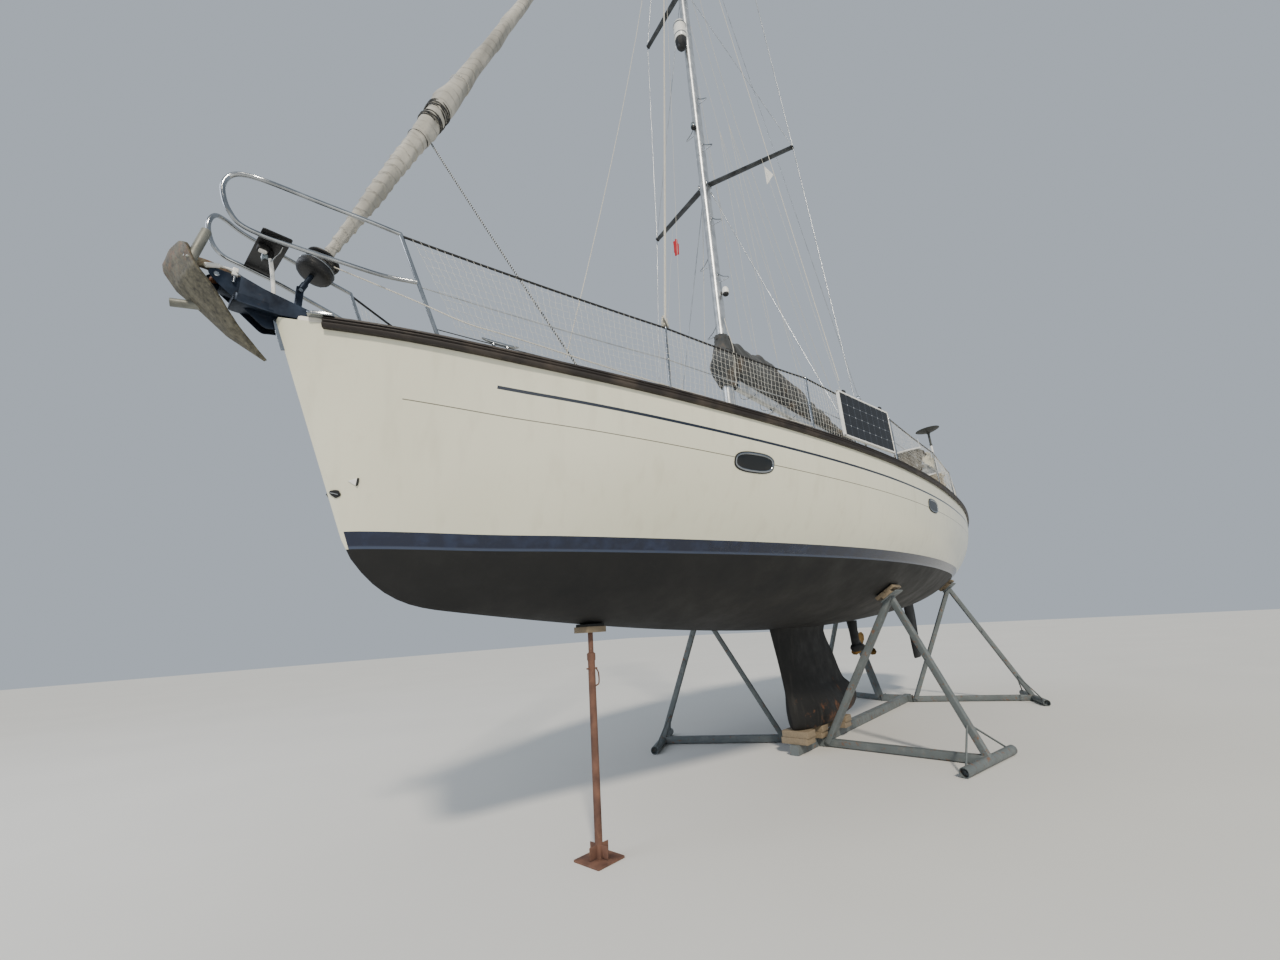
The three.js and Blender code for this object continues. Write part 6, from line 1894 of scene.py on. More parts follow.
        # The after side stays on the mast, so that the boom's part of the cover may swing
        xy[..., 0] = np.maximum(xy[..., 0], -MAST_HALF[0] - 0.028)
        edge = 0.02 * np.sin(3 * A + 1) * np.sin(np.pi * (1 - t)) ** 2
        p = np.stack([MAST_X + xy[..., 0], xy[..., 1], Z + edge], -1)
        inner = np.stack([MAST_X + ring[None, :, 0] + 0 * Z, ring[None, :, 1] + 0 * Z, Z], -1)
        p = np.concatenate([p, inner[::-1], p[:1]])
        s = Surface().grid(p, caps=False)
        piece = finish_piece("sail.cover.collar", s, YACHT, "canvas", "cover_canvas", angle=60, merge=True)
        s = Surface()
        for level in (4.97, 5.2, 5.44, 5.66):
            t = np.linspace(0, 2 * np.pi, 40)
            k = (level - low) / (high - low)
            grow = 0.026 + 0.1 * math.exp(-((k - 0.38) / 0.26) ** 2) * np.clip(np.cos(t), 0,
                1) ** 0.7 + 0.035 * math.sin(math.pi * k)
            x = (MAST_HALF[0] + 0.012 + grow) * np.cos(t)
            loop = np.stack([MAST_X + np.maximum(x, -MAST_HALF[0] - 0.03), (MAST_HALF[1] + 0.012 + grow)
                * np.sin(t), level + 0.01 * np.sin(t * 2)], -1)
            s.tube(loop, 0.0045, 7, axis=UP)
        # A pale halyard tail comes down over the cover
        tail = [(MAST_X + 0.03, 0.085, 6.0), (MAST_X + 0.035, 0.125, 5.75), (MAST_X + 0.02, 0.165, 5.5),
            (MAST_X + 0.03, 0.172, 5.25), (MAST_X + 0.02, 0.15, 5.05), (MAST_X - 0.02, 0.135, 4.98),
            (MAST_X + 0.02, 0.13, 4.9)]
        s.tube(smooth_path(tail, 8), 0.006, 8, axis=FORWARD, finish=1)
        finish_piece("sail.cover.lacing", s, YACHT, "dark_rope pale_rope", "cover_canvas", merge=True)


# Bow roller and anchor

ROLLER_Y = -0.05
SHANK_END = (6.2, 3.7515)
# x, height of the keel line, half-width, rise of the edges, thickness, how far the starboard wing lies ahead
SHARE = [(6.45, 3.368, 0.009, 0.003, 0.018, 0.0), (6.64, 3.496, 0.092, 0.012, 0.04, 0.0),
    (6.788, 3.64, 0.154, 0.02, 0.054, 0.0), (6.885, 3.726, 0.176, 0.02, 0.054, 0.012),
    (6.938, 3.825, 0.176, 0.012, 0.056, 0.026), (6.952, 3.862, 0.15, 0.012, 0.058, 0.03),
    (6.958, 3.886, 0.1, 0.014, 0.05, 0.024)]


def rounded(points, radius, steps=4):
    """Cuts a closed outline's corners with parabolas that begin and end one radius from each corner."""
    p = np.asarray(points, float)
    before, after = np.roll(p, 1, 0), np.roll(p, -1, 0)
    reach = lambda q: np.minimum(radius, np.linalg.norm(q - p, axis=1) * 0.45)[:, None]
    a, b = p + unit(before - p) * reach(before), p + unit(after - p) * reach(after)
    t = np.linspace(0, 1, steps + 1)[None, :, None]
    return (a[:, None] * (1 - t) ** 2 + 2 * p[:, None] * t * (1 - t) + b[:, None] * t**2).reshape(-1,
        p.shape[1])


def plate(outline, at, u, v, thick, edge=0.0012):
    """A flat plate: its anticlockwise outline in the plane of u and v, drawn in along its mitres at both
    faces."""
    p = np.asarray(outline, float)
    run = unit(np.roll(p, -1, 0) - p)
    out = np.stack([run[:, 1], -run[:, 0]], -1)
    back = np.roll(out, 1, 0)
    mitre = (out + back) / np.maximum(1 + (out * back).sum(1), 0.4)[:, None]
    u, v = np.asarray(u, float), np.asarray(v, float)
    w = np.cross(u, v)
    rows = []
    for inset, level in ((edge, -thick / 2), (0, -thick / 2 + edge), (0, thick / 2 - edge),
            (edge, thick / 2)):
        q = p - mitre * inset
        rows.append(np.asarray(at, float) + q[:, :1] * u + q[:, 1:] * v + w * level)
    return np.array(rows)


class YACHT_OT_bow(bpy.types.Operator):
    """Bow roller with its plates, the anchor stowed in it, and the pin of the stay"""
    bl_idname = "yacht.bow"
    bl_label = "Bow roller and anchor"

    def execute(self, context):
        self.roller()
        self.anchor()
        return {"FINISHED"}

    def roller(self):
        """The stem fitting: cheeks, plates, rollers on their axles and the forestay's lower end."""
        s = Surface()
        stem = float(deck_edge_z(6.3))
        cheek = [(6.2, stem - 0.03), (6.44, 3.575), (6.48, 3.562), (6.74, 3.762), (6.79, 3.812), (6.77, 3.85),
            (6.64, 3.85), (6.2, stem + 0.06)]
        for y in (ROLLER_Y - 0.04, ROLLER_Y + 0.04):
            s.grid(plate(rounded(cheek, 0.03), (0, y, 0), FORWARD, UP, 0.006), finish=3)
        # The floor between the cheeks and the block on the deck
        s.slab((6.425, -0.0185, stem + 0.016), (0.47, 0.149, 0.052), 0.02, 0.004, finish=3)
        s.bar((6.36, ROLLER_Y, stem - 0.04), (6.72, ROLLER_Y, 3.742), 0.074, 0.006, 0.002, finish=3)
        # Band down the stem's edge
        band = np.array([(6.434, 0, 3.64), (6.415, 0, 3.575), (6.392, 0, 3.51), (6.369, 0, 3.45)])
        s.swept(band, rounded_outline(0.016, 0.004, 0.003, 2), axis=PORT)
        # Pin, its rod and block on the roller's plates, with the lanyard that holds it
        s.turned([(0, 0), (0.013, 0.002), (0.0145, 0.006), (0.0145, 0.07), (0.012, 0.074), (0, 0.075)],
            (6.806, 0.0, 3.838), (-0.069, 0, 0.031), 16, finish=4)
        s.tube(np.linspace((6.74, 0, 3.867), (6.676, 0, 3.872), 3), 0.006, 10, axis=PORT, finish=4)
        s.slab((6.664, 0, 3.862), (0.03, 0.026, 0.05), 0.006, 0.003, finish=4)
        s.tube(np.linspace((6.664, 0.004, 3.845), (6.664, 0.004, 3.79), 3), 0.007, 10, axis=PORT)
        lanyard = [(6.66, 0.01, 3.86), (6.628, 0.03, 3.83), (6.6, 0.046, 3.8), (6.578, 0.05, 3.735)]
        s.tube(smooth_path(lanyard, 5), 0.003, 8, axis=PORT)
        # Side plate along the port side, bent to the hull's flare
        side = np.array([(6.64, 0.052, 3.822), (6.43, 0.052, 3.762), (6.33, 0.088, 3.728),
            (6.215, 0.165, 3.672)])
        t = np.linspace(0, 1, 12)
        line = np.stack([np.interp(t, np.linspace(0, 1, 4), side[:, k]) for k in range(3)], -1)
        wall = []
        for inset, shift in ((0.001, -0.003), (0, -0.002), (0, 0.002), (0.001, 0.003)):
            off = np.array([0, shift, 0])
            top, low = line + off - [0, 0, inset], line * [1, 1, 0] + [0, 0, stem - 0.014 + inset] + off
            wall.append(np.concatenate([top, low[::-1]]))
        s.grid(np.array(wall), finish=3)
        # Rollers on their axles, and the bent post beside them with its dark head
        for at, radius in (((6.745, ROLLER_Y, 3.812), 0.024), ((6.465, ROLLER_Y, 3.713), 0.026),
                ((6.563, ROLLER_Y, 3.759), 0.026)):
            at = np.array(at)
            s.turned([(0.008, -0.033), (radius, -0.032), (radius * 0.72, -0.016), (radius * 0.6, 0),
                (radius * 0.72, 0.016), (radius, 0.032), (0.008, 0.033)], at, PORT, 24, finish=1)
            s.turned([(0, -0.05), (0.009, -0.048), (0.009, 0.048), (0, 0.05)], at, PORT, 12)
            for end in (-0.045, 0.045):
                s.turned([(0.016, -0.002), (0.016, 0.003), (0.009, 0.006), (0, 0.006)], at + [0, end, 0],
                    (0, np.sign(end), 0), 6)
        post = np.array([(6.47, 0.034, stem + 0.03), (6.472, 0.035, 3.8), (6.494, 0.044, 3.92),
            (6.516, 0.052, 4.01)])
        s.tube(smooth_path(post, 6), 0.012, 14, axis=PORT, finish=4)
        s.tube(np.linspace((6.515, 0.052, 4.008), (6.522, 0.052, 4.064), 3), 0.014, 14, axis=PORT, finish=2)
        # Lamp under the plate with its cable down to the post
        s.slab((6.563, 0.072, 4.046), (0.062, 0.05, 0.036), 0.014, 0.006, finish=2)
        s.slab((6.563, 0.074, 4.026), (0.044, 0.036, 0.01), 0.012, 0.004, finish=4)
        cable = [(6.513, 0.06, 3.985), (6.5, 0.075, 4.015), (6.485, 0.115, 4.035), (6.48, 0.15, 4.06)]
        s.tube(smooth_path(cable, 6), 0.004, 8, axis=FORWARD)
        # Stay's plate, toggle and rod
        s.slab((6.33, 0, (stem + 0.038 + 3.925) / 2), (0.044, 0.024, 3.925 - stem - 0.038), 0.01, 0.003,
            finish=3)
        s.turned([(0, -0.024), (0.012, -0.023), (0.012, 0.023), (0, 0.024)], STAY_FOOT + [0, 0, -0.005], PORT,
            14)
        s.turned([(0, -0.018), (0.017, -0.014), (0.021, 0.0), (0.021, 0.06), (0.016, 0.075), (0.016, 0.146),
            (0, 0.146)], STAY_FOOT, STAY, 14, finish=3)
        finish_piece("stem.fitting", s, YACHT, "stainless roller rubber tang white", "stainless",
            "stem_fitting", merge=True)

    def anchor(self):
        """Ploughshare whose section opens from its point: keel line and edges interpolated from the table,
        its upper face hollowed by a parabola; a forged shank with an eye, and two tubes at the heel."""
        s = Surface()
        table = np.array(SHARE)
        t = np.linspace(0, 1, 40)
        row = (table[:, 1] - table[0, 1]) / (table[-1, 1] - table[0, 1])
        x, keel, half, rise, thick, ahead = (np.interp(t, row, table[:, k]) for k in range(6))
        half = half * (1 + 0.04 * np.sin(np.pi * t))
        across = np.linspace(-1, 1, 17)
        lower = np.stack([across[None] * half[:, None], rise[:, None] * np.abs(across[None]) ** 1.4], -1)
        hollow = thick[:, None] * (0.3 + 0.7 * (1 - across[None] ** 2) ** 0.8)
        edge = np.where(np.abs(across) > 0.99, 0.35, 1.0)[None]
        upper = np.stack([across[None] * half[:, None], rise[:, None] * np.abs(across[None]) ** 1.4 + hollow
            * edge], -1)
        section = np.concatenate([lower, upper[:, ::-1]], 1)
        # Hammered edges and dents
        ripple = 0.0016 * np.sin(40 * t)[:, None] * np.sin(3 * np.arange(section.shape[1]))[None]
        p = np.stack([x[:, None] - 0.75 * (section[..., 1] + ripple) - ahead[:, None] * section[..., 0]
            / 0.17, ROLLER_Y + section[..., 0], keel[:, None] + 0.66 * (section[..., 1] + ripple)], -1)
        s.grid(p, flip=True)
        # Rib from the arm down the share's middle
        rib = np.array([(6.862, ROLLER_Y, 3.8), (6.8, ROLLER_Y, 3.72), (6.7, ROLLER_Y, 3.6),
            (6.6, ROLLER_Y, 3.51)])
        s.swept(smooth_path(rib, 6), rounded_outline(0.03, 0.01, 0.006, 2), axis=PORT,
            scale=np.linspace(1.0, 0.35, 19))
        shank = [(SHANK_END[0], ROLLER_Y, SHANK_END[1]), (6.46, ROLLER_Y, 3.8085), (6.745, ROLLER_Y, 3.871),
            (6.86, ROLLER_Y, 3.871)]
        s.swept(smooth_path(shank, 8), rounded_outline(0.029, 0.0125, 0.008, 3), axis=PORT)
        s.ball((6.862, ROLLER_Y, 3.864), (0.045, 0.017, 0.036), 12, 18, 0.8)
        s.bar((6.862, ROLLER_Y, 3.888), (6.862, ROLLER_Y, 3.745), 0.058, 0.026, 0.008, up=PORT)
        s.turned([(0, -0.028), (0.014, -0.027), (0.014, 0.027), (0, 0.028)], (6.862, ROLLER_Y, 3.868), PORT,
            12, finish=1)
        # Bead of weld where the heel plate meets the share
        a = np.linspace(-0.9, 0.9, 30)
        bead = np.stack([6.905 - 0.012 * a ** 2, ROLLER_Y + 0.15 * a, 3.8 + 0.012 * np.abs(a)], -1)
        s.tube(bead, 0.007 + 0.0018 * np.sin(np.arange(30) * 2.1), 8, axis=FORWARD, finish=2)
        for a, b in (((6.872, 0.092, 3.782), (6.832, 0.108, 3.99)),
                ((6.77, -0.182, 3.672), (6.905, -0.208, 3.648))):
            a, b = np.array(a), np.array(b)
            length = float(np.linalg.norm(b - a))
            s.turned([(0, 0), (0.025, 0.002), (0.025, length - 0.003), (0.023, length), (0.019, length)], a,
                b - a, 24, finish=1)
            s.turned([(0.019, length), (0.018, length - 0.04), (0, length - 0.042)], a, b - a, 24, finish=3)
        # Eye and shackle at the shank's end, with the chain to its pipe
        shackle(s, np.array([SHANK_END[0] - 0.005, ROLLER_Y, SHANK_END[1]]), 0.022, (-1, 0, 0), 1)
        finish_piece("anchor.share", s, YACHT, "forged worn_zinc weld rubber", "galvanised", "anchor",
            merge=True)
        s = Surface()
        start, end = np.array([SHANK_END[0] - 0.035, ROLLER_Y, SHANK_END[1]]), np.array([5.66, 0.0,
            float(deck_z(5.66, 0)) + 0.012])
        count = 18
        k = np.arange(count)
        t = (k + 0.5) / count
        middle = start + (end - start) * t[:, None] - np.array([0, 0, 1]) * (0.012 * 4 * t * (1 - t))[:, None]
        along = unit(np.gradient(middle, axis=0))
        flat = np.where((k % 2 == 0)[:, None], np.array([[0.0, 1, 0]]), unit(np.cross(along, [0, 1, 0])))
        a = np.linspace(0, 2 * np.pi, 14, endpoint=False)
        reach = 0.5 * float(np.linalg.norm(end - start)) / count + 0.005
        for m in range(count):
            ring = middle[m] + np.cos(a)[:, None] * along[m] * reach + np.sin(a)[:, None] * flat[m] * 0.011
            closed = np.concatenate([ring[-1:], ring, ring[:1]])
            link = tube(closed, 0.0042, 6, axis=np.cross(along[m], flat[m]))[1:-1]
            s.grid(np.concatenate([link, link[:1]]), caps=False)
        # Pipe that takes the chain into the locker, ahead of the lid
        collar = [(0.03, -0.004), (0.056, -0.004), (0.056, 0.004), (0.044, 0.01), (0.04, 0.024),
            (0.036, 0.026), (0.03, 0.022), (0.03, -0.004)]
        s.turned(collar, (5.64, 0.0, float(deck_z(5.64, 0))), UP, 28)
        finish_piece("anchor.chain", s, YACHT, "galvanised", "galvanised", merge=True)


# Cockpit and deck gear

PANEL_MIDDLE, PANEL_SIZE, PANEL_TURN = np.array([1.175, 1.8, 3.755]), (1.15, 0.53, 0.032), -0.14
WHEEL_CENTRE, WHEEL_RADIUS = np.array([-5.01, 0, 3.68]), 0.375
SOLE_Z = 2.84
DISH_AXIS = (0.069, -0.078, 0.994)
WINCHES = (-3.7, 1.055)
LADDER_X, LADDER_HALF = -6.49, 0.19
LADDER_RUNGS = (2.956, 3.269, 3.581, 3.894)
PEDESTAL_X, WINDLASS_X = -4.88, 4.88
DISH_POLE = (-5.87, 1.08)


class YACHT_OT_gear(bpy.types.Operator):
    """Solar panel, dish, steering, winches, windlass, ladder, cleats, flags and canvas"""
    bl_idname = "yacht.gear"
    bl_label = "Deck gear"

    def execute(self, context):
        for make in (self.panel, self.dish, self.pedestal, self.wheel, self.winches, self.windlass,
                self.ladder, self.cleats, self.flags, self.bundles):
            make()
        return {"FINISHED"}

    def panel(self):
        """Cells on a frame that stands on its edge at the rail; U runs along it and V up it."""
        x = np.array([math.cos(PANEL_TURN), math.sin(PANEL_TURN), 0])
        y = np.array([-math.sin(PANEL_TURN), math.cos(PANEL_TURN), 0])
        z = np.array([0, 0, 1.0])
        half = (PANEL_SIZE[0] / 2, PANEL_SIZE[1] / 2)
        s = Surface()
        s.slab(PANEL_MIDDLE - y * 0.004, (PANEL_SIZE[0] - 0.03, PANEL_SIZE[2] - 0.012, PANEL_SIZE[1] - 0.03),
            0.004, 0.002, x, finish=2)
        for a, b in (((-1, -1), (1, -1)), ((-1, 1), (1, 1)), ((-1, -1), (-1, 1)), ((1, -1), (1, 1))):
            ends = [PANEL_MIDDLE + x * (p[0] * (half[0] - 0.009)) + z * (p[1] * (half[1] - 0.009))
                for p in (a, b)]
            d = unit(ends[1] - ends[0]) * 0.009
            s.bar(ends[0] - d, ends[1] + d, PANEL_SIZE[2], 0.018, 0.002, up=np.cross(d, y), finish=0)
        # Face of cells: a flat grid just proud of the backing
        u = np.linspace(-1, 1, 9) * (half[0] - 0.02)
        v = np.linspace(-1, 1, 5) * (half[1] - 0.02)
        U, V = np.meshgrid(u, v, indexing="ij")
        face = PANEL_MIDDLE + y * 0.0125 + U[..., None] * x + V[..., None] * z
        s.grid(face, wrap=False, caps=False, finish=1)
        for px in (-0.42, 0.42):
            s.slab(PANEL_MIDDLE + x * px + z * (half[1] + 0.012), (0.06, 0.02, 0.05), 0.008, 0.003, x,
                finish=2)
        s.slab(PANEL_MIDDLE - y * 0.024 - z * 0.16, (0.11, 0.016, 0.09), 0.012, 0.004, x, finish=2)
        finish_piece("solar.panel", s, YACHT, "white cells black", "solar_cell", "solar_panel", merge=True)

    def dish(self):
        """A flat domed antenna, turned from its outline, on a tube with a turned foot."""
        s = Surface()
        x, y = DISH_POLE
        foot = float(deck_z(x, y)) + 0.004
        s.tube(np.array([(x, y, foot), (x, y, foot + 0.01), (x, y, 5.3)]), 0.024, 18, axis=FORWARD)
        s.turned([(0.0, 0), (0.06, 0), (0.06, 0.006), (0.05, 0.01), (0.028, 0.014), (0.026, 0.05)],
            (x, y, foot), UP, 24)
        s.turned([(0.0255, 5.28), (0.03, 5.285), (0.03, 5.32), (0.024, 5.33), (0.024, 5.56), (0.04, 5.59),
            (0.055, 5.615), (0, 5.62)], (x, y, 0), UP, 20, finish=1)
        s.turned([(0, 0), (0.06, 0.002), (0.11, 0.012), (0.18, 0.036), (0.236, 0.06), (0.25, 0.068),
            (0.252, 0.076), (0.244, 0.082), (0.18, 0.09), (0.09, 0.097), (0, 0.099)], (x, y, 5.6), DISH_AXIS,
            56, finish=1)
        finish_piece("dish.on.pole", s, YACHT, "white grey", "stainless", "antenna_dome", merge=True)

    def pedestal(self):
        """The steering pedestal: rounded sections at the heights in the table, and its compass."""
        s = Surface()
        levels = np.array([(0.0004, 0.15, 0.17), (0.004, 0.152, 0.172), (0.03, 0.15, 0.17), (0.06, 0.1, 0.12),
            (0.12, 0.092, 0.112), (0.4, 0.082, 0.102), (0.7, 0.075, 0.095), (0.8, 0.078, 0.1),
            (0.955, 0.085, 0.11), (0.96, 0.08, 0.105)])
        rings = []
        for z, hx, hy in levels:
            o = rounded_outline(hx, hy, 0.045, 6)
            rings.append(np.stack([PEDESTAL_X + o[:, 0], o[:, 1], np.full(len(o), SOLE_Z + z)], -1))
        s.grid(np.array(rings))
        # Compass under its dome, and a lever on each side of the pedestal
        top = SOLE_Z + 0.955
        s.turned([(0.075, 0), (0.078, 0.005), (0.078, 0.025), (0.07, 0.03)], (PEDESTAL_X, 0, top), UP, 28,
            finish=1)
        s.turned([(0.068, 0.02), (0.064, 0.045), (0.048, 0.065), (0.025, 0.075), (0, 0.078)],
            (PEDESTAL_X, 0, top), UP, 28, finish=2)
        for sign in (-1, 1):
            s.turned([(0, 0), (0.006, 0), (0.006, 0.11), (0.012, 0.115), (0.014, 0.135), (0, 0.14)],
                (PEDESTAL_X + 0.02, sign * 0.105, SOLE_Z + 0.8), (0.2, sign, 0.35), 14, finish=3)
        finish_piece("steering.pedestal", s, YACHT, "white black glass stainless", "stainless",
            "steering_pedestal", merge=True)

    def wheel(self):
        """The wheel: a ring, its spokes, the turned hub and the leather on its rim."""
        s = Surface()
        a = np.linspace(0, 2 * np.pi, 97)
        rim = WHEEL_CENTRE + np.stack([0 * a, WHEEL_RADIUS * np.cos(a), WHEEL_RADIUS * np.sin(a)], -1)
        s.tube(rim, 0.013, 14, axis=FORWARD, caps=False)
        for k in range(6):
            b = k * np.pi / 3
            out = np.array([0, math.cos(b), math.sin(b)])
            s.tube(WHEEL_CENTRE + np.array([0.03, WHEEL_RADIUS * 0.5, WHEEL_RADIUS])[:, None] * out, 0.008,
                10, axis=FORWARD)
        s.turned([(0, -0.022), (0.04, -0.02), (0.045, -0.012), (0.045, 0.034), (0.03, 0.044), (0, 0.044)],
            WHEEL_CENTRE, FORWARD, 30)
        s.turned([(0, -0.044), (0.014, -0.042), (0.018, -0.036), (0.018, -0.022), (0, -0.022)], WHEEL_CENTRE,
            FORWARD, 6, finish=1)
        # Leather stitched on the rim, drawn as a fatter sleeve
        s.tube(rim[26:71], 0.0152, 14, axis=FORWARD, finish=1)
        finish_piece("wheel.rim", s, "steering_wheel", "stainless rubber", "stainless", "steering_wheel",
            merge=True)

    def winches(self):
        """The two winches, each turned from its outline, with twelve ribs round its drum."""
        for side, sign in SIDES:
            s = Surface()
            x, y = WINCHES[0], sign * WINCHES[1]
            base = float(deck_edge_z(x)) + 0.284
            s.turned([(0, 0), (0.085, 0), (0.085, 0.01), (0.082, 0.02), (0.075, 0.023), (0.06, 0.034),
                (0.056, 0.05), (0.054, 0.075), (0.055, 0.1), (0.06, 0.118), (0.067, 0.132), (0.068, 0.14),
                (0.067, 0.15), (0.06, 0.154), (0.058, 0.15), (0.04, 0.15), (0.038, 0.16), (0, 0.16)],
                (x, y, base), UP, 40)
            for b in np.arange(12) * np.pi / 6:
                out = np.array([math.cos(b), math.sin(b), 0])
                s.bar(np.array([x, y, base + 0.045]) + out * 0.056, np.array([x, y, base + 0.11]) + out
                    * 0.0575, 0.004, 0.004, 0.001, up=out)
            s.turned([(0.036, 0.152), (0.036, 0.164), (0.013, 0.166), (0.011, 0.15), (0, 0.15)], (x, y, base),
                UP, 24, finish=1)
            finish_piece(f"winch.drum.{side}", s, YACHT, "stainless black", "stainless", f"winch_{side}",
                merge=True)

    def windlass(self):
        """The windlass, turned from its outline, with eight ribs round its drum."""
        s = Surface()
        base = (WINDLASS_X, 0, float(deck_z(WINDLASS_X, 0)) + 0.008)
        s.turned([(0, 0), (0.108, 0), (0.11, 0.004), (0.11, 0.03), (0.1, 0.04), (0.078, 0.052), (0.07, 0.062),
            (0.062, 0.07), (0.066, 0.115), (0.074, 0.128), (0.082, 0.148), (0.078, 0.162), (0.06, 0.175),
            (0.04, 0.18), (0, 0.18)], base, UP, 40)
        for b in np.arange(8) * np.pi / 4:
            out = np.array([math.cos(b), math.sin(b), 0])
            s.bar(np.array(base) + [0, 0, 0.078] + out * 0.062, np.array(base) + [0, 0, 0.112] + out * 0.066,
                0.01, 0.006, 0.002, up=out)
        s.turned([(0.022, 0.176), (0.022, 0.184), (0.01, 0.186), (0, 0.178)], base, UP, 20, finish=1)
        finish_piece("windlass.drum", s, YACHT, "stainless black", "stainless", "windlass", merge=True)

    def ladder(self):
        """The boarding ladder: two upright tubes with rungs between them, each rung with a tread."""
        s = Surface()
        for sign in (-1, 1):
            rail = [(LADDER_X, sign * LADDER_HALF, level) for level in (3.905, 3.7, 3.2, 2.95)]
            s.tube(smooth_path(rail, 6), 0.013, 14, axis=PORT)
            for z in (3.82, 3.45):
                s.turned([(0.013, -0.02), (0.017, -0.018), (0.017, 0.018), (0.013, 0.02)],
                    (LADDER_X, sign * LADDER_HALF, z), UP, 14)
        for level in LADDER_RUNGS:
            s.tube(np.array([(LADDER_X, -LADDER_HALF, level), (LADDER_X, LADDER_HALF, level)]), 0.012, 14,
                axis=FORWARD)
            s.slab((LADDER_X, 0, level + 0.004), (0.03, 0.3, 0.024), 0.008, 0.003, finish=1)
        finish_piece("ladder.rails", s, "boarding_ladder", "stainless rubber", "stainless", "boarding_ladder",
            merge=True)

    def cleats(self):
        """Deck cleats, each a tapering bar on two feet, and two flat chocks at the stem."""
        s = Surface()
        for _, sign in SIDES:
            for x, y in ((5.24, 0.635), (-5.9, 1.18), (0.2, 1.7)):
                z = float(deck_z(x, y)) + (0.045 if x > 3 else 0.004)
                turn = unit([1, -sign * 0.22, 0]) if x > 3 else np.array([1.0, 0, 0])
                at = np.array([x, sign * y, z])
                if x > 3:
                    s.slab(at - [0, 0, 0.024], (0.17, 0.062, 0.046), 0.02, 0.005, turn)
                for d in (-0.05, 0.05):
                    s.turned([(0.022, 0), (0.015, 0.012), (0.011, 0.03), (0.011, 0.045)], at + turn * d, UP,
                        14)
                horn = np.array([-0.135, -0.09, 0, 0.09, 0.135])[:, None] * turn + np.array([0.012, 0.004, 0,
                    0.004, 0.012])[:, None] * [0, 0, 1]
                s.tube(smooth_path(at + [0, 0, 0.048] + horn, 5), np.interp(np.linspace(0, 1, 21),
                    [0, 0.2, 0.5, 0.8, 1], [0.006, 0.011, 0.014, 0.011, 0.006]), 12, axis=UP)
            # Flat chocks at the stem
            at = np.array([6.243, sign * 0.185, float(deck_edge_z(6.243)) + 0.01])
            arm = unit([1, -sign * 0.55, 0])
            s.slab(at, (0.15, 0.052, 0.018), 0.012, 0.004, arm)
            s.slab(at + [0, 0, 0.014], (0.1, 0.03, 0.014), 0.01, 0.005, arm)
        finish_piece("deck.cleats", s, YACHT, "stainless", "stainless", merge=True)

    def flags(self):
        """Cloth held along its upright hoist: across its fly it drops by its fall and swings to and fro in
        pleats."""
        for name, top, hoist, fly, fall, pleat, taper, look in (
                ("pennant.port", (0.874, 0.96, 8.346), 0.36, 0.12, 0.0, 0.0, 0.95, "white_cloth"),
                ("flag.starboard", (0.79, -0.87, 8.21), 0.22, 0.3, 0.15, 0.042, 0.0, "red")):
            u, v = np.meshgrid(np.linspace(0, 1, 61), np.linspace(0, 1, 14), indexing="ij")
            swing = pleat * np.sin(3.5 * np.pi * u) + u * (0.02 if pleat else fly)
            depth = (0.5 + (v - 0.5) * (1 - taper * u)) * hoist
            ripple = 0.01 * np.sin(6 * u + 4 * v) * u
            p = np.stack([top[0] - 0.66 * swing + ripple, top[1] + 0.75 * swing, top[2] - depth - fall * u],
                -1)
            s = Surface().grid(p, wrap=False, caps=False)
            piece = finish_piece(name, s, YACHT, look, "sailcloth", angle=180)
            solid = piece.modifiers.new("Cloth", "SOLIDIFY")
            solid.thickness, solid.offset = 0.0012, 0

    def bundles(self):
        """Canvas laced along the port guard rail. Each cloth lies between an upper and a lower line of (x, z)
        on the rail's upright plane and swells out of it by crossing sines; its thickness is added by
        Solidify."""
        cloths = [
            # name, upper line, lower line, finish
            ("rail.canvas.fore", [(0.372, 3.545), (-0.157, 3.7), (-0.848, 3.9), (-1.24, 3.88)],
             [(0.319, 3.47), (-0.1, 3.465), (-0.5, 3.48), (-0.95, 3.64)], "mottled"),
            ("rail.canvas.cream", [(-1.07, 3.84), (-1.45, 3.975), (-1.8, 3.985), (-2.066, 3.93)],
             [(-0.96, 3.7), (-1.26, 3.723), (-1.6, 3.76), (-2.034, 3.82)], "cream"),
            ("rail.canvas.striped", [(-0.3, 3.52), (-0.915, 3.672), (-1.7, 3.8), (-2.3, 3.86)],
             [(-0.48, 3.455), (-0.95, 3.5), (-1.64, 3.67), (-2.2, 3.79)], "striped"),
            ("stern.canvas", [(-0.99, 3.5), (-1.764, 3.69), (-2.6, 3.87), (-3.3, 3.98)],
             [(-1.25, 3.45), (-1.855, 3.46), (-2.4, 3.54), (-3.05, 3.74)], "bundle"),
        ]
        for k, (name, upper, lower, look) in enumerate(cloths):
            t = np.linspace(0, 1, 90)
            edge = [smooth_path(np.array([(x, 0, z) for x, z in line]), 30) for line in (upper, lower)]
            along = [np.stack([np.interp(t, np.linspace(0, 1, len(e)), e[:, c]) for c in (0, 2)], -1)
                for e in edge]
            v = np.linspace(0, 1, 26)[:, None, None]
            xz = along[0][None] * (1 - v) + along[1][None] * v
            q, w = t[None], v[..., 0]
            x = xz[..., 0] + 0.006 * np.sin(21 * w + 9 * q)
            z = xz[..., 1] + 0.007 * np.sin(31 * q + k) * (0.3 + w)
            swell = (0.03 * np.sin(np.pi * w) + 0.01 * np.sin(19 * q + 3 * w + k) + 0.007
                * np.sin(43 * q - 5 * w + 2 * k) + 0.005 * np.sin(14 * w + 11 * q))
            y = half_breadth(x) - 0.112 - 0.012 * k - swell
            s = Surface().grid(np.stack([x, y, z], -1), wrap=False, caps=False)
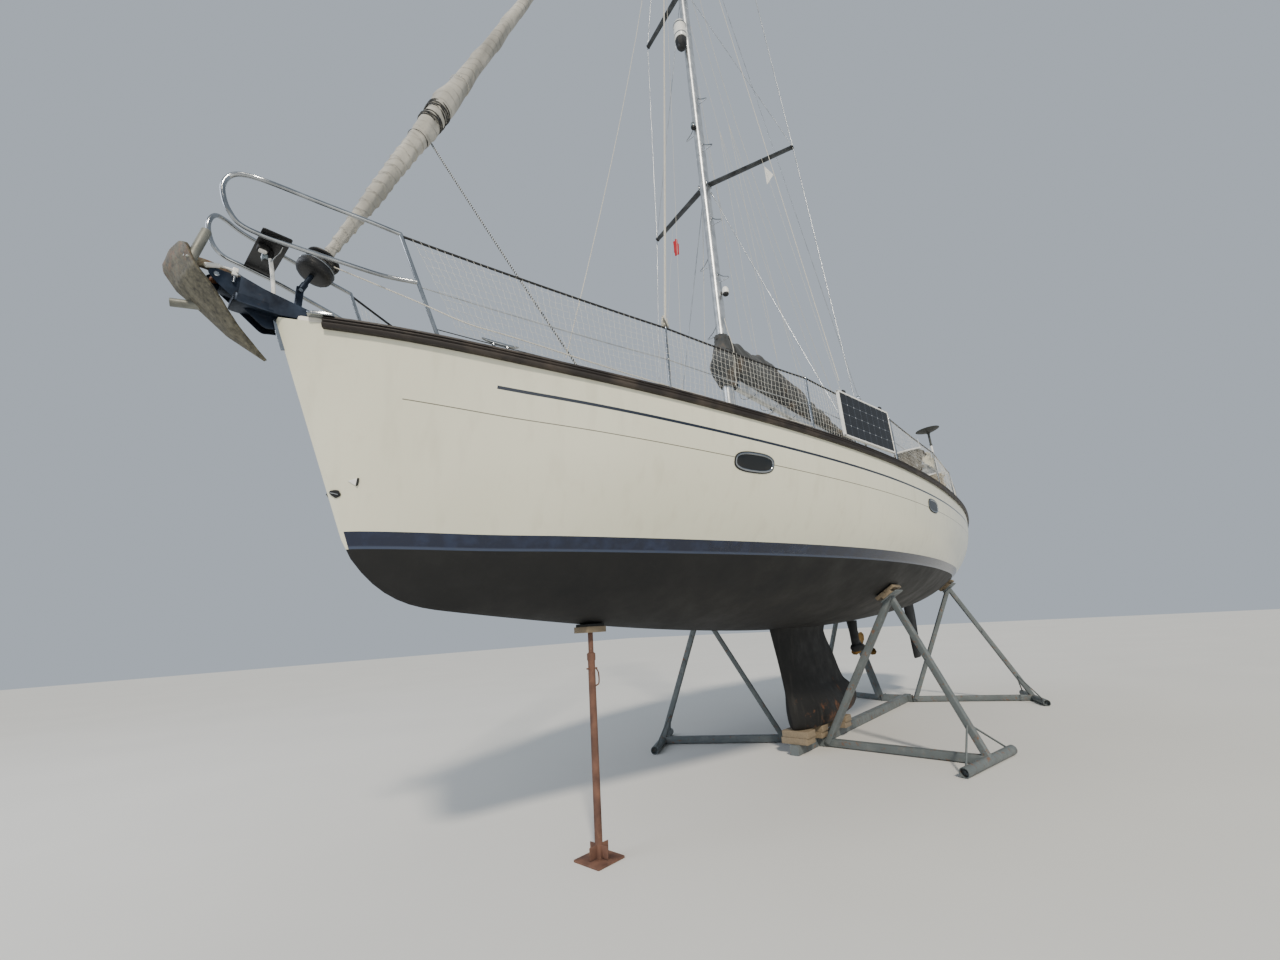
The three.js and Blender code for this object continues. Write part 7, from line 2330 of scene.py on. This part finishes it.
            piece = finish_piece(name, s, YACHT, look, "cover_canvas", angle=180, merge=True)
            thickness = piece.modifiers.new("Cloth", "SOLIDIFY")
            thickness.thickness = 0.0022
            # The flat cut: its longest edge, its greatest height and the area between its four edges
            wide = max(np.hypot(np.diff(x[row]), np.diff(z[row])).sum() for row in (0, -1))
            deep = (z[0] - z[-1]).max()
            down, across = x.shape[0] - 1, x.shape[1] - 1
            du, dv = (np.stack([np.diff(f, axis=axis)[:down, :across] for f in (x, z)], -1)
                for axis in (1, 0))
            area = float(np.abs(du[..., 0] * dv[..., 1] - du[..., 1] * dv[..., 0]).sum())
            float(min(area, wide * deep))
        # A tan bundle hangs between two of the cloths and a small white bag below them
        for name, centre, radii, look in (("rail.canvas.tan", (-1.02, 1.745, 3.835), (0.2, 0.03, 0.062),
                "bundle"), ("rail.bag", (-0.555, 1.81, 3.55), (0.055, 0.022, 0.046), "white_cloth")):
            b = ball((0, 0, 0), radii, 30, 60, 0.7)
            q = b / np.array(radii)
            b = b * (1 + 0.1 * np.sin(6 * q[..., :1] + 4 * q[..., 2:]) + 0.06
                * np.sin(15 * q[..., :1] - 9 * q[..., 2:]))
            s = Surface().grid(np.array(centre) + b)
            piece = finish_piece(name, s, YACHT, look, "cover_canvas", angle=180, merge=True)
        # White hem, pale piping and the ties that hold the canvas to the guard lines
        s = Surface()
        rail = lambda x, z: np.stack([x, half_breadth(x) - 0.104, z], -1)
        for a, b, radius in (((0.38, 3.552), (-0.9, 3.915), 0.012), ((-0.98, 3.504), (-3.28, 3.984), 0.009)):
            x = np.linspace(a[0], b[0], 30)
            line = [(-3.3, 3.984), (-2.6, 3.874), (-1.764, 3.695), (-0.98, 3.504)]
            if a[0] > 0:
                line = [(-0.9, 3.91), (-0.157, 3.706), (0.38, 3.55)]
            z = np.interp(x, *zip(*line))
            s.tube(rail(x, z), radius, 10, axis=PORT)
        for x, low, high in ((-0.85, 3.89, 4.03), (-1.55, 3.97, 4.05), (-2.0, 3.94, 4.06), (-2.6, 3.86, 4.07),
                (-3.25, 3.97, 4.08)):
            z = np.linspace(low - 0.01, high, 12)
            s.tube(rail(x + 0.004 * np.sin(60 * z), z), 0.003, 7, axis=FORWARD)
        finish_piece("canvas.hems", s, YACHT, "white_cloth", "sailcloth", merge=True)


# Stage and camera

CAMERA = {"at": (7.062, 3.471, 1.674), "yaw": 3.862, "pitch": 0.278, "roll": -0.062, "focal": 515.21}
FRAME_WIDTH = 1280
FLOOR_HALF = 60


class YACHT_OT_stage(bpy.types.Operator):
    """Pale floor, soft light and the camera"""
    bl_idname = "yacht.stage"
    bl_label = "Stage, light and camera"

    def execute(self, context):
        self.camera()
        mesh = bpy.data.meshes.new("studio.floor")
        far = FLOOR_HALF
        mesh.from_pydata([(-far, -far, 0), (far, -far, 0), (far, far, 0), (-far, far, 0)], [], [(0, 1, 2, 3)])
        mesh.materials.append(finish("floor"))
        floor = bpy.data.objects.new("studio.floor", mesh)
        bpy.context.scene.collection.objects.link(floor)
        floor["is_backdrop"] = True
        world = bpy.data.worlds.new("studio")
        bpy.context.scene.world = world
        world.use_nodes = True
        ground = world.node_tree.nodes["Background"]
        ground.inputs[0].default_value = rgb("c9d3de")
        ground.inputs[1].default_value = 0.75
        self.light("key", "SUN", (12, 14, 18), (0, 0, 2.5), 3.2, math.radians(6), rgb("fff4e2"))
        self.light("fill", "AREA", (16, -6, 9), (1, 0, 3), 900, 8.0, rgb("eef3ff"))
        self.light("under", "AREA", (6, 9, 0.8), (-1, 0, 1.6), 160, 6.0, rgb("f4f1ea"))
        return {"FINISHED"}

    def camera(self):
        """A camera at the photograph's place: yaw and pitch give its view, roll turns it about that."""
        yaw, pitch, roll = CAMERA["yaw"], CAMERA["pitch"], CAMERA["roll"]
        look = np.array([math.cos(yaw) * math.cos(pitch), math.sin(yaw) * math.cos(pitch), math.sin(pitch)])
        right = unit(np.cross(look, [0, 0, 1]))
        up = np.cross(right, look)
        c, s = math.cos(roll), math.sin(roll)
        right, up = right * c + up * s, up * c - right * s
        data = bpy.data.cameras.new("viewpoint")
        data.sensor_width = 36
        data.lens = CAMERA["focal"] / FRAME_WIDTH * data.sensor_width
        data.clip_start, data.clip_end = 0.05, 300
        camera = bpy.data.objects.new("viewpoint", data)
        bpy.context.scene.collection.objects.link(camera)
        camera.matrix_world = Matrix([(right[k], up[k], -look[k], CAMERA["at"][k]) for k in range(3)]
            + [(0, 0, 0, 1)])
        bpy.context.scene.camera = camera

    def light(self, name, kind, at, to, power, size, colour):
        """A lamp that is turned to a point."""
        data = bpy.data.lights.new(name, kind)
        data.energy, data.color = power, colour[:3]
        if kind == "SUN":
            data.angle = size
        else:
            data.size = size
        lamp = bpy.data.objects.new(name, data)
        lamp.location = at
        lamp.rotation_euler = (Vector(to) - Vector(at)).to_track_quat("-Z", "Y").to_euler()
        bpy.context.scene.collection.objects.link(lamp)


# Add-on

OPERATORS = [YACHT_OT_stage, YACHT_OT_hull, YACHT_OT_deck, YACHT_OT_underwater, YACHT_OT_cradle,
    YACHT_OT_rails, YACHT_OT_mast, YACHT_OT_rigging, YACHT_OT_headsail, YACHT_OT_boom, YACHT_OT_bow,
    YACHT_OT_gear]


class YACHT_PT_panel(bpy.types.Panel):
    """The yacht's pieces"""
    bl_label = "Yacht"
    bl_idname = "YACHT_PT_panel"
    bl_space_type = "VIEW_3D"
    bl_region_type = "UI"
    bl_category = "Yacht"

    def draw(self, context):
        for operator in OPERATORS:
            self.layout.operator(operator.bl_idname)


SETTINGS = [("yacht_hull", HullSettings), ("yacht_rig", RigSettings)]


def register():
    """Makes the add-on's classes and settings known."""
    for _, group in SETTINGS:
        bpy.utils.register_class(group)
    for operator in OPERATORS:
        bpy.utils.register_class(operator)
    bpy.utils.register_class(YACHT_PT_panel)
    for name, group in SETTINGS:
        setattr(bpy.types.Scene, name, bpy.props.PointerProperty(type=group))


def unregister():
    """Takes the add-on's classes and settings away again."""
    for name, _ in SETTINGS:
        delattr(bpy.types.Scene, name)
    for made in [YACHT_PT_panel, *reversed(OPERATORS), *(group for _, group in SETTINGS)]:
        bpy.utils.unregister_class(made)


def main():
    """Runs each operator in turn."""
    register()
    for operator in OPERATORS:
        name = operator.bl_idname.split(".")[1]
        getattr(bpy.ops.yacht, name)()
    sizes = {"cad": CAD_BOX, "visual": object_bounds()}
    plain_lists = {key: [[float(v) for v in corner] for corner in box] for key, box in sizes.items()}


if __name__ == "__main__":
    main()
